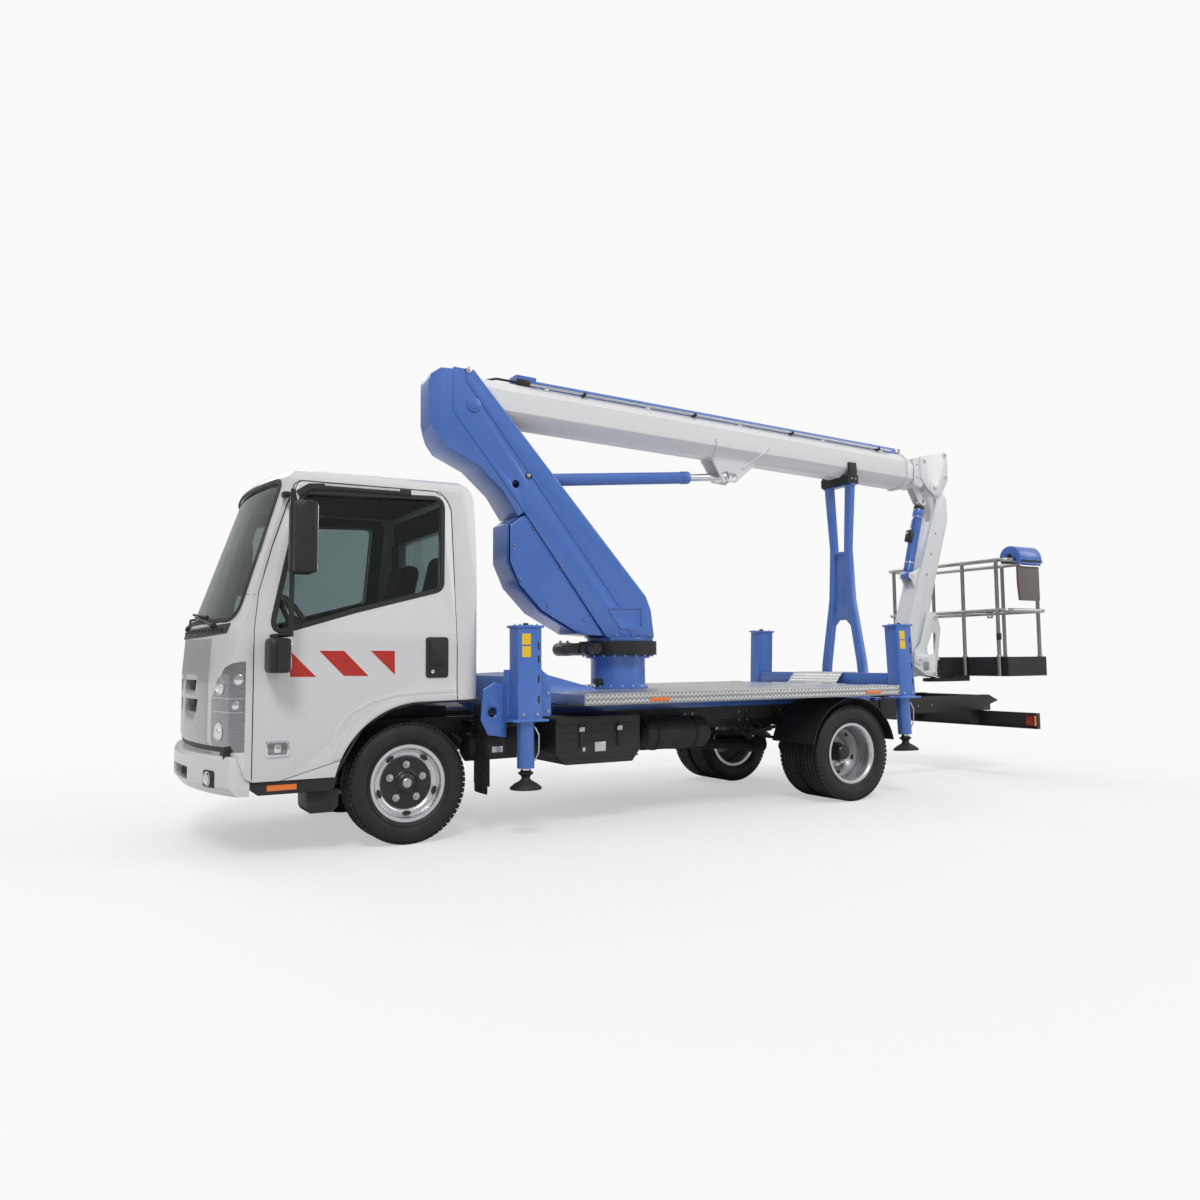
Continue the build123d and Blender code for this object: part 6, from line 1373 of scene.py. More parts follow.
    def front_trim(self) -> Form:
        """Screen rubber, cowl, wipers, grille, bumper gap and fog lamps."""
        form = Form()
        low, high = self.screen_low, self.screen_high
        screen = rounded(((low[0], low[1]), (high[0], high[1]), (-high[0], high[1]), (-low[0], low[1])), 0.09,
                         6)
        rim = self.skin.trace(grown(screen, (0.0, 1.69), 1.012, 1.02), Plane.FRONT, 0.03, True)
        ribbon(form, rim, 0.034, 0.005, RUBBER, True)
        cowl = self.skin.trace(((-0.74, 1.245), (-0.4, 1.232), (0.0, 1.228), (0.4, 1.232), (0.74, 1.245)),
                               Plane.FRONT, 0.03)
        ribbon(form, cowl, 0.062, 0.006, BLACK_PLASTIC)
        slots = [(0.06 * k, 1.234) for k in range(-11, 12)]
        for y, z in slots:
            met = self.skin.cast((3.0, y, z), (-1, 0, 0))
            if met:
                x = met[0].x
                form.block((x - 0.01, y - 0.018, z - 0.012), (x + 0.009, y + 0.018, z + 0.012), RUBBER, 0.002)
        for foot_y in (0.54, -0.10):
            foot = Vector(self.screen_point(foot_y, 1.262, 0.012))
            form.rod(foot - Vector((0.02, 0, 0.006)), foot + Vector((0.014, 0, 0.004)), 0.017, BLACK_PLASTIC,
                     0.004)
            elbow = self.screen_point(foot_y - 0.40, 1.325, 0.022)
            form.pipe((tuple(foot), elbow), 0.007, BLACK_PLASTIC, 0.01)
            blade = [self.screen_point(foot_y - 0.16 - 0.06 * k, 1.318 + 0.004 * k, 0.012) for k in range(9)]
            form.pipe(blade, 0.008, RUBBER, 0.02)
        form.block((1.0, -0.57, 0.60), (1.012, 0.57, 0.98), BLACK_PLASTIC, 0.002)
        for z in (0.625, 0.66, 0.72, 0.755):
            form.block((1.02, -0.5, z), (1.05, 0.5, z + 0.012), BLACK_PLASTIC, 0.003)
        form.block((0.93, -0.80, 0.515), (1.02, 0.80, 0.605), BLACK_PLASTIC, 0.004)
        gap = self.skin.trace(((-0.82, 0.592), (0.82, 0.592)), Plane.FRONT, 0.03)
        ribbon(form, gap, 0.034, 0.0025, BLACK_PLASTIC)
        form.merge(self.lining())
        for side in (-1, 1):
            met = self.skin.cast((3.0, side * 0.655, 0.435), (-1, 0, 0))
            if met is None:
                continue
            spot, out = met
            turn = out.to_track_quat("Z", "Y").to_matrix().to_4x4()
            lamp = Form().prism(rounded(((-0.066, -0.046), (0.066, -0.046), (0.066, 0.046), (-0.066, 0.046)),
                                        0.02), (-0.01, 0.004), Plane.TOP, BLACK_PLASTIC, 0.004)
            lamp.lathe([(0.0, 0.0), (0.036, 0.0), (0.04, 0.012), (0.033, 0.011), (0.0, 0.004)], (0, 0, 0),
                       "Z", REFLECTOR, 40)
            lamp.lathe([(0.0, 0.009), (0.034, 0.009), (0.03, 0.0135), (0.0, 0.016)], (0, 0, 0), "Z", LENS, 40)
            form.merge(lamp, Matrix.Translation(spot) @ turn)
        return form

    def lining(self) -> Form:
        """Dark lining of the cab's rear wall and roof."""
        form = Form()
        form.block((-0.362, -0.74, 0.86), (-0.352, 0.74, 1.415), LINING, 0.0)
        form.block((-0.362, -0.66, 1.905), (-0.352, 0.66, 2.06), LINING, 0.0)
        for side in (-1, 1):
            form.block((-0.362, side * 0.565, 1.41), (-0.352, side * 0.70, 1.91), LINING, 0.0)
        form.block((-0.33, -0.62, 2.092), (0.66, 0.62, 2.102), LINING, 0.0)
        return form

    def lamps(self) -> Form:
        """Divisions, bezel and bulbs of the left headlamp."""
        form = Form()
        lens = Skin("headlamps")

        def feel(degrees: float, height: float) -> Optional[Footing]:
            """The place on the lens in a direction round the lamp's middle."""
            angle = math.radians(degrees)
            out = Vector((math.cos(angle), math.sin(angle), 0.0))
            return lens.cast(tuple(Vector((*self.lamp_middle, height)) + out), tuple(-out))

        for height in self.lamp_divisions:
            route = []
            for k in range(41):
                met = feel(8 + 78 * k / 40, height)
                if met and met[0].y > 0.55 and (met[0] - Vector((*self.lamp_middle, height))).length > 0.2:
                    route.append(met)
            if len(route) > 3:
                ribbon(form, route, 0.007, 0.0022, GREY_TRIM, sink=0.003)
        # columns: direction round the lamp in degrees, height, radius
        for degrees, height, radius in ((38.0, 0.93, 0.052), (36.0, 0.69, 0.058), (62.0, 0.965, 0.03),
                                        (60.0, 0.829, 0.024)):
            met = feel(degrees, height)
            if met is None:
                continue
            turn = met[1].to_track_quat("Z", "Y").to_matrix().to_4x4()
            bowl = Form().lathe([(radius * 0.86, 0.0), (radius, -0.004), (radius, 0.002),
                                 (radius * 0.9, 0.0035)], (0, 0, 0), "Z", GREY_TRIM, 40)
            bowl.lathe([(0.0, -0.002), (radius * 0.86, -0.002), (radius * 0.8, 0.0015), (0.0, 0.004)],
                       (0, 0, 0), "Z", REFLECTOR, 40)
            bowl.rod((0, 0, 0), (0, 0, 0.008), radius * 0.22, CHROME, 0.001, 20)
            form.merge(bowl, Matrix.Translation(met[0]) @ turn)
        return form

    def door_trim(self) -> Form:
        """Window rubber, stripes, handle, rain guard and mirror glass of the left door."""
        form = Form()
        opening = rounded(self.window, 0.06, 6)
        rim = grown(opening, self.window_middle, 1.022, 1.028)
        ribbon(form, self.skin.trace(rim, Plane.SIDE, 0.02, True), 0.030, 0.005, RUBBER, True)
        guard = self.skin.trace(((-0.01, 2.058), (0.45, 2.055), (0.58, 2.045), (0.645, 2.0)), Plane.SIDE,
                                0.02)
        ribbon(form, guard, 0.046, 0.016, BLACK_PLASTIC)
        strip = self.skin.trace(((0.06, 2.066), (0.5, 2.064)), Plane.SIDE, 0.02)
        ribbon(form, strip, 0.013, 0.0195, ALUMINIUM, sink=-0.008)
        y = self.half_y
        for patch in self.stripes:
            middle = (sum(p[0] for p in patch) / len(patch), sum(p[1] for p in patch) / len(patch))
            form.prism(grown(patch, middle, 1.05, 1.04), (y - 0.002, y + 0.0009), Plane.SIDE, WHITE_FILM, 0.0)
            form.prism(patch, (y - 0.002, y + 0.0015), Plane.SIDE, RED_FILM, 0.0)
        bezel = rounded(((-0.208, 0.959), (-0.070, 0.959), (-0.070, 1.196), (-0.208, 1.196)), 0.022)
        form.prism(bezel, (y - 0.006, y + 0.006), Plane.SIDE, BLACK_PLASTIC, 0.003)
        well = rounded(((-0.196, 0.972), (-0.082, 0.972), (-0.082, 1.184), (-0.196, 1.184)), 0.018)
        form.prism(well, (y, y + 0.0066), Plane.SIDE, RUBBER, 0.001)
        grip = rounded(((-0.186, 1.03), (-0.092, 1.03), (-0.092, 1.176), (-0.186, 1.176)), 0.02)
        form.prism(grip, (y + 0.004, y + 0.014), Plane.SIDE, BLACK_PLASTIC, 0.005)
        form.rod((-0.11, y + 0.002, 0.995), (-0.11, y + 0.010, 0.995), 0.011, CHROME, 0.002)
        for x0, x1, y0, y1, z0, z1 in self.mirrors:
            head = rounded(((y0, z0), (y1, z0), (y1, z1), (y0, z1)), 0.035)
            form.prism(head, (x0, x1), Plane.FRONT, BLACK_PLASTIC, 0.016)
            glass = rounded(((y0 + 0.014, z0 + 0.014), (y1 - 0.014, z0 + 0.014), (y1 - 0.014, z1 - 0.014),
                             (y0 + 0.014, z1 - 0.014)), 0.026)
            form.prism(glass, (x0 - 0.002, x0 + 0.01), Plane.FRONT, MIRROR_GLASS, 0.001)
        inner = self.skin.trace(grown(opening, self.window_middle, 1.10, 1.14), Plane.SIDE, 0.03, True)
        ribbon(form, inner, 0.085, -0.047, LINING, True, sink=0.056)
        card = ((-0.24, 0.87), (-0.24, 1.13), (0.84, 1.13), (0.84, 0.80), (0.40, 0.83), (0.2, 0.87))
        form.prism(card, (0.806, 0.820), Plane.SIDE, LINING, 0.0)
        form.block((0.7, 0.76, 1.972), (0.74, 0.83, 2.0), BLACK_PLASTIC, 0.006)
        return form

    def seats(self) -> None:
        """Padded seats and their backs, blown up from slimmer shapes."""
        base, top = self.seat_base_z, self.seat_base_z + 0.13
        # each holds its name, low corner, high corner and the lean of a back in degrees
        pads = []
        for side, y in (("left", self.seat_y), ("right", -self.seat_y)):
            pads.append((f"seat_cushion_{side}", (-0.18, y - 0.215, base), (0.28, y + 0.215, top), 0.0))
            pads.append((f"seat_back_{side}", (-0.06, y - 0.205, 0.0), (0.05, y + 0.205, 0.66), 14.0))
        for index, (name, low, high, lean) in enumerate(pads):
            form = Form().block(low, high, CLOTH, 0.04, 4)
            if lean:
                place = Matrix.Translation((-0.205, 0.0, top - 0.05)) @ spin(-lean, "Y")
                form = Form().merge(form, place)
            self.inflate(form, name, ("seats",) if index == 0 else ())

    def inflate(self, form: Form, name: str, replaces: Iterable[str]) -> bpy.types.Object:
        """Turn a slim closed form into a swollen cushion by a cloth run.

        Args:
            form: the slim form.
            name: the piece's name.
            replaces: CAD nodes that it stands for.

        Returns:
            The cushion.
        """
        piece = form.done(name, "truck", replaces)
        voxels = piece.modifiers.new("voxels", "REMESH")
        voxels.mode = "VOXEL"
        voxels.voxel_size = self.voxel
        start = self.apply(piece)
        cloth = piece.modifiers.new("cloth", "CLOTH")
        cloth.settings.use_pressure = True
        cloth.settings.uniform_pressure_force = self.pressure
        cloth.settings.effector_weights.gravity = 0.0
        for step in range(1, self.cloth_steps + 1):
            bpy.context.scene.frame_set(step)
        self.apply(piece)
        for vertex, origin in zip(piece.data.vertices, start):
            move = vertex.co - origin
            if move.length > self.swell:
                vertex.co = origin + move.normalized() * self.swell
        log.info("%s swollen: %d places", name, len(start))
        finer = piece.modifiers.new("finer", "SUBSURF")
        finer.levels = finer.render_levels = 1
        lighter = piece.modifiers.new("lighter", "DECIMATE")
        lighter.ratio = self.keep_share
        self.apply(piece)
        piece.data.shade_smooth()
        return piece

    @staticmethod
    def apply(piece: bpy.types.Object) -> list[Vector]:
        """Bake a piece's modifiers into its mesh and return where its corners are."""
        graph = bpy.context.evaluated_depsgraph_get()
        mesh = bpy.data.meshes.new_from_object(piece.evaluated_get(graph))
        piece.modifiers.clear()
        old = piece.data
        piece.data = mesh
        bpy.data.meshes.remove(old)
        return [vertex.co.copy() for vertex in mesh.vertices]


# ------------------------------------------------------------------ lift base on the chassis
@dataclass
class LiftBase:
    """Deck edging, legs, slewing ring, boom rest and the gear along the chassis."""

    deck_x: Flat = (-3.768, -1.053)
    deck_y: float = 1.0
    deck_z: Flat = (0.774, 0.843)
    column_r: float = 0.205
    ring_r: float = 0.292
    ring_z: Flat = (1.088, 1.19)
    motor: Flat = (-1.53, 1.135)
    front_leg_x: float = -0.655
    rear_leg_x: float = -3.94
    leg_middle_z: float = 1.0225
    silencer: Point = (-0.62, 0.56, 0.52)
    tank: Point = (-1.98, 0.56, 0.54)
    rest_x: float = -4.17

    def build(self) -> None:
        """Build every part."""
        self.outriggers = Skin("outriggers")
        edge = self.deck_edge().both()
        edge.merge(self.crossbeam_cover())
        edge.done("deck_edging", "truck")
        legs = self.leg_trim(self.front_leg_x, 0.0, 0.99)
        legs = legs.merge(self.leg_trim(self.rear_leg_x, 0.045, 0.84)).both()
        legs.merge(self.beam_flange().both())
        legs.done("leg_trim", "truck")
        self.leg_rods()
        self.slewing().done("slewing_gear", "truck")
        self.rest().both().done("rest_pad_ears", "truck")
        self.gear().done("chassis_gear", "truck")
        self.tail().both().done("tail_lamps", "truck")

    def deck_edge(self) -> Form:
        """Chequered metal strip on the deck's left side, with its orange markers."""
        x0, x1 = self.deck_x
        y, (z0, z1) = self.deck_y, self.deck_z
        form = Form().block((x0, y - 0.001, z0), (x1, y + 0.003, z1), PLATE, 0.0012)
        form.block((x0, y - 0.075, z1 - 0.002), (x1, y + 0.003, z1 + 0.0015), ALUMINIUM, 0.0008)
        middle = ((x0 + x1) / 2, y + 0.003, (z0 + z1) / 2)
        form.chequers((84, 2), (x1 - x0 - 0.06, 0.032), turn_to("Y", middle), (0.021, 0.0, 0.0))
        for start in (-1.675, -3.562):
            form.prism(rounded(((start, 0.786), (start + 0.148, 0.786), (start + 0.148, 0.811),
                                (start, 0.811)), 0.008), (y, y + 0.0115), Plane.SIDE, AMBER, 0.003)
            for x in (start - 0.008, start + 0.156):
                form.rod((x, y, 0.7985), (x, y + 0.007, 0.7985), 0.005, ZINC, 0.001, 12)
        for x in (-3.70, -3.25, -2.80, -2.35, -1.90, -1.45, -1.10):
            form.rod((x, y - 0.035, z1), (x, y - 0.035, z1 + 0.004), 0.008, ZINC, 0.0015, 14)
        return form

    def crossbeam_cover(self) -> Form:
        """Chequered step plate folded over the rear cross beam."""
        side = ((-3.79, 0.8445), (-3.862, 0.9305), (-4.018, 0.9305), (-4.018, 0.9345), (-3.859, 0.9345),
                (-3.78, 0.8445))
        form = Form().prism(side, (-0.30, 0.30), Plane.SIDE, PLATE, 0.0)
        slope = Matrix.Translation((-3.822, 0.0, 0.8895)) @ spin(49.0, "Y")
        top = Matrix.Translation((-3.938, 0.0, 0.9345))
        nudge = (0.0, 0.018, 0.0)
        return form.chequers((3, 15), (0.06, 0.53), slope, nudge).chequers((4, 15), (0.11, 0.53), top, nudge)

    def leg_trim(self, x: float, rise: float, cap_y: float) -> Form:
        """Blank plates, bolts, slots and pipe of one left leg housing; the slots are flat dark rubber strips,
        painted shade in the openings.

        Args:
            x: the leg's place along the truck.
            rise: how much higher its trim sits than the front leg's.
            cap_y: middle of the bolted cap on top.

        Returns:
            The trim.
        """
        form = Form()
        for low, high in ((1.075, 1.14), (1.150, 1.215)):
            route = self.outriggers.trace(((x + 0.022, low + rise), (x + 0.022, high + rise)), Plane.SIDE,
                                          0.03)
            ribbon(form, route, 0.058, 0.0012, YELLOW_PLATE, sink=0.001)
        # Slots: flat dark rubber strips on the housing, painted shade where the openings are.
        for z in (0.80, 0.92, 1.04, 1.12):
            route = self.outriggers.trace(((x - 0.058, z + rise), (x - 0.058, z + 0.045 + rise)), Plane.SIDE,
                                          0.02)
            ribbon(form, route, 0.012, 0.0012, RUBBER, sink=0.001)
        met = self.outriggers.cast((x, cap_y, 1.4), (0, 0, -1))
        if met:
            centre = met[0]
            form.grid(hex_bolt(0.011, 0.009), (2, 2), (0.11, 0.08), Matrix.Translation(centre), ZINC)
            form.rod(centre, centre + Vector((0, 0, 0.014)), 0.017, IRON, 0.003)
        for dx in (-0.045, 0.045):
            met = self.outriggers.cast((x + dx, 3.0, 0.735 + rise), (0, -1, 0))
            if met:
                form.rod(met[0], met[0] + Vector((0, 0.008, 0)), 0.009, ZINC, 0.001, 6)
        met = self.outriggers.cast((x - 0.045, 3.0, 0.66 + rise), (0, -1, 0))
        if met:
            spot = met[0] + Vector((0, 0.006, 0))
            run = [spot, spot + Vector((-0.022, 0.012, -0.05)), spot + Vector((-0.022, 0.008, -0.15)),
                   spot + Vector((0.0, 0.0, -0.2))]
            form.pipe([tuple(p) for p in run], 0.0045, STEEL, 0.02)
        return form

    def beam_flange(self) -> Form:
        """Bolted plate between the front beam and its left leg."""
        form = Form()
        plate = rounded(((-0.735, 0.715), (-0.735, 1.0), (-0.765, 1.01), (-0.845, 0.955), (-0.85, 0.715)),
                        0.014)
        form.prism(plate, (0.923, 0.940), Plane.SIDE, BLUE, 0.003)
        form.prism(plate, (0.903, 0.918), Plane.SIDE, BLUE, 0.003)
        bolt = hex_bolt(0.013, 0.012)
        for x, z in ((-0.758, 0.745), (-0.825, 0.745), (-0.758, 0.855), (-0.825, 0.855), (-0.765, 0.955)):
            form.merge(bolt, turn_to("Y", (x, 0.940, z)))
        return form

    def leg_rods(self) -> None:
        """Bright rods over the feet, each riding its own leg."""
        length = 0.2
        # columns: leg, x, y at mid height, sideways travel per metre down, lower end
        rows = (("fl", self.front_leg_x, 0.985, 0.0, 0.3925), ("fr", self.front_leg_x, -0.985, 0.0, 0.3925),
                ("rl", self.rear_leg_x, 0.85, 0.0524, 0.4365),
                ("rr", self.rear_leg_x, -0.85, -0.0524, 0.4365))
        for leg, x, y, lean, foot in rows:
            form = Form()
            start = (x, y + lean * (self.leg_middle_z - foot), foot)
            end = (x, y + lean * (self.leg_middle_z - foot - length), foot + length)
            form.rod(start, end, 0.0262, CHROME, 0.0)
            form.rod(start, tuple(Vector(start) + (Vector(end) - Vector(start)) * 0.06), 0.033, IRON, 0.002)
            form.done(f"leg_rod_{leg}", f"leg_{leg}")

    def slewing(self) -> Form:
        """Bolts, seals and hydraulic motor of the slewing gear on top of the column."""
        form = Form()
        z0, z1 = self.ring_z
        groove = [(self.ring_r - 0.004, -0.004), (self.ring_r + 0.0012, -0.003),
                  (self.ring_r + 0.0012, 0.003), (self.ring_r - 0.004, 0.004)]
        for z in (z0 + 0.036, z1 - 0.026):
            form.lathe(groove, (SLEW_X, 0.0, z), "Z", RUBBER, 96)
        bolt = hex_bolt(0.013, 0.012)
        under = Matrix.Translation((SLEW_X, 0.0, z0)) @ Matrix.Rotation(math.pi, 4, "X")
        form.ring(bolt, 20, 0.262, under, ZINC)
        collar = [(self.column_r - 0.002, 0.0), (self.column_r + 0.022, 0.0), (self.column_r + 0.022, 0.012),
                  (self.column_r + 0.006, 0.022), (self.column_r - 0.002, 0.034)]
        form.lathe(collar, (SLEW_X, 0.0, 0.8435), "Z", BLUE, 72)
        form.ring(bolt, 16, self.column_r + 0.014, Matrix.Translation((SLEW_X, 0.0, 0.8555)), ZINC)
        x, z = self.motor
        form.rod((x, -0.10, z), (x, -0.30, z), 0.05, BLACK_PAINT, 0.006)
        form.rod((x, -0.285, z), (x, -0.31, z), 0.036, ZINC, 0.003)
        for dx in (-0.03, 0.03):
            form.rod((x + dx, -0.2, z + 0.035), (x + dx, -0.2, z + 0.065), 0.011, ZINC, 0.002, 6)
        form.prism(rounded(((-1.70, 0.87), (-1.66, 0.87), (-1.655, 0.915), (-1.70, 0.915)), 0.01),
                   (0.02, 0.10), Plane.SIDE, BLACK_PLASTIC, 0.003)
        return form

    def rest(self) -> Form:
        """Rubber ear that keeps the boom on its rest, left side."""
        x = self.rest_x
        form = Form()
        ear = rounded(((0.150, 2.565), (0.172, 2.565), (0.172, 2.70), (0.166, 2.745), (0.152, 2.745)), 0.006)
        form.prism(ear, (x - 0.045, x + 0.045), Plane.FRONT, RUBBER, 0.003)
        for dx in (-0.022, 0.022):
            form.rod((x + dx, 0.171, 2.60), (x + dx, 0.178, 2.60), 0.008, ZINC, 0.001, 6)
        return form

    def gear(self) -> Form:
        """Battery box lid, silencer, tanks, valves and pipes along the chassis."""
        form = Form()
        lid = rounded(((-1.555, 0.645), (-0.945, 0.645), (-0.945, 0.698), (-1.555, 0.698)), 0.012)
        form.prism(lid, (0.50, 0.828), Plane.SIDE, BLACK_PLASTIC, 0.005)
        for x in (-1.40, -1.12):
            form.block((x - 0.012, 0.815, 0.50), (x + 0.012, 0.832, 0.66), RUBBER, 0.003)
            form.block((x - 0.02, 0.826, 0.60), (x + 0.02, 0.836, 0.628), ZINC, 0.003)
        form.block((-1.30, 0.820, 0.47), (-1.22, 0.8225, 0.53), ALUMINIUM, 0.001)
        form.block((-1.15, 0.820, 0.475), (-1.13, 0.8225, 0.50), ALUMINIUM, 0.001)
        for z in (0.43, 0.54, 0.59):
            form.block((-1.545, 0.817, z), (-0.955, 0.8235, z + 0.010), BLACK_PLASTIC, 0.003)
        form.lathe([(0.0, -0.21), (0.06, -0.2), (0.085, -0.18), (0.088, 0.18), (0.06, 0.2), (0.0, 0.21)],
                   self.silencer, "X", IRON, 40)
        form.rod((-0.84, 0.56, 0.52), (-1.0, 0.56, 0.50), 0.03, IRON, 0.002)
        form.rod((-0.42, 0.56, 0.54), (-0.36, 0.5, 0.58), 0.03, IRON, 0.002)
        form.block((-0.585, 0.80, 0.50), (-0.515, 0.806, 0.535), ALUMINIUM, 0.001)
        form.block((-0.60, 0.66, 0.47), (-0.50, 0.802, 0.60), BLACK_PLASTIC, 0.008)
        form.rod((-0.56, 0.70, 0.60), (-0.56, 0.70, 0.68), 0.022, BLACK_PLASTIC, 0.004)
        form.rod((-0.52, 0.75, 0.60), (-0.52, 0.75, 0.64), 0.016, ZINC, 0.003)
        for y, z in ((0.62, 0.66), (0.66, 0.69), (0.70, 0.645)):
            form.pipe(((-0.46, y, z), (-0.70, y, z + 0.01), (-0.86, y - 0.08, z - 0.02),
                       (-1.02, 0.42, z - 0.03)), 0.009, BLACK_PAINT, 0.06)
        form.lathe([(0.0, -0.30), (0.08, -0.285), (0.11, -0.25), (0.11, 0.25), (0.08, 0.285), (0.0, 0.30)],
                   self.tank, "X", BLACK_PAINT, 48)
        middle, y, z = self.tank
        for x in (middle - 0.16, middle + 0.16):
            form.lathe([(0.109, -0.015), (0.1135, -0.015), (0.1135, 0.015), (0.109, 0.015)], (x, y, z), "X",
                       IRON, 48)
        form.block((-2.16, 0.385, 0.60), (-1.80, 0.47, 0.64), BLACK_PAINT, 0.004)
        bolt = hex_bolt(0.010, 0.009)
        for side in (-1, 1):
            for x in (-1.25, -1.70, -2.25, -2.75, -3.15, -3.60, -4.05):
                face = Matrix.Diagonal((1, side, 1, 1)) @ turn_to("Y", (x, 0.385, 0.625))
                form.grid(bolt, (2, 2), (0.07, 0.06), face, ZINC)
        for x in (-4.62, -4.78):
            form.merge(bolt, turn_to("Y", (x, 0.396, 0.64)))
        form.rod((-2.38, -0.79, 0.60), (-2.38, -0.83, 0.62), 0.04, ZINC, 0.004)
        form.rod((-1.85, -0.795, 0.58), (-1.85, -0.825, 0.58), 0.042, BLACK_PLASTIC, 0.006)
        return form

    def tail(self) -> Form:
        """Reflective ends of the under-run bar and the left rear lamp."""
        low, high = node_box("under_run_bar")
        form = Form()
        form.block((low.x - 0.002, high.y - 0.13, high.z - 0.11),
                   (low.x + 0.010, high.y - 0.015, high.z - 0.025), RED_FILM, 0.002)
        form.block((low.x + 0.055, high.y - 0.004, high.z - 0.108),
                   (low.x + 0.073, high.y + 0.003, high.z - 0.022), AMBER, 0.002)
        form.block((low.x - 0.03, 0.58, high.z - 0.12), (low.x, 0.80, high.z - 0.02), BLACK_PLASTIC, 0.006)
        for y, finish in ((0.60, RED_LENS), (0.67, AMBER), (0.735, RED_LENS)):
            form.block((low.x - 0.038, y, high.z - 0.11), (low.x - 0.026, y + 0.058, high.z - 0.03), finish,
                       0.005)
        return form


# ------------------------------------------------------------------ tower
@dataclass
class Tower:
    """Fasteners, pins, pivot caps and pipes of the tower that turns with the boom."""

    side_y: float = 0.172
    latch: Flat = (-0.612, 3.052)
    screws: tuple = ((-1.111, 1.982), (-1.318, 1.706), (-1.518, 1.342), (-1.01, 1.62), (-1.22, 1.44),
                     (-0.96, 1.86))
    # x, z and radius
    holes: tuple = ((-1.068, 2.36, 0.026),)

    def build(self) -> None:
        """Build the tower's details."""
        skin = Skin("tower", "tower_cover")
        form = Form()
        for x, z in self.screws:
            met = skin.cast((x, 3.0, z), (0, -1, 0))
            if met:
                form.rod(met[0], met[0] + Vector((0, 0.003, 0)), 0.010, RUBBER, 0.001, 20)
                form.rod(met[0], met[0] + Vector((0, 0.005, 0)), 0.006, ZINC, 0.001, 6)
        for x, z, radius in self.holes:
            met = skin.cast((x, 3.0, z), (0, -1, 0))
            if met:
                form.rod(met[0] - Vector((0, 0.004, 0)), met[0] + Vector((0, 0.002, 0)), radius, RUBBER,
                         0.001)
                form.rod(met[0], met[0] + Vector((0, 0.004, 0)), radius * 0.6, ZINC, 0.002)
        form.block((-0.640, 0.150, 3.040), (-0.585, 0.176, 3.062), BLACK_PAINT, 0.006)
        x, z = self.latch
        form.rod((x, 0.152, z), (x, 0.182, z), 0.017, CHROME, 0.003)
        form.rod((x, 0.168, z), (x, 0.179, z), 0.026, ZINC, 0.003, 6)
        for x, z in ((-2.06, 1.232), (-1.92, 1.232), (-1.78, 1.232)):
            form.merge(hex_bolt(0.009, 0.007), turn_to("Y", (x, 0.1665, z)))
        form.both().done("tower_fasteners", "turret")
        cap = Form()
        cap.rod((LIFT_X, self.side_y - 0.004, LIFT_Z), (LIFT_X, self.side_y + 0.004, LIFT_Z), 0.052, BLUE,
                0.003, 48)
        cap.rod((LIFT_X, self.side_y, LIFT_Z), (LIFT_X, self.side_y + 0.009, LIFT_Z), 0.034, BLUE, 0.003, 48)
        cap.both().done("tower_pivot_caps", "turret")
        pipes = Form()
        for y in (-0.06, 0.0, 0.06):
            pipes.pipe(((-1.86, y, 1.22), (-1.80, y, 1.50), (-1.30, y, 2.10), (-1.16, y, 2.26)), 0.011,
                       BLACK_PAINT, 0.1)
        pipes.done("tower_pipes", "turret")


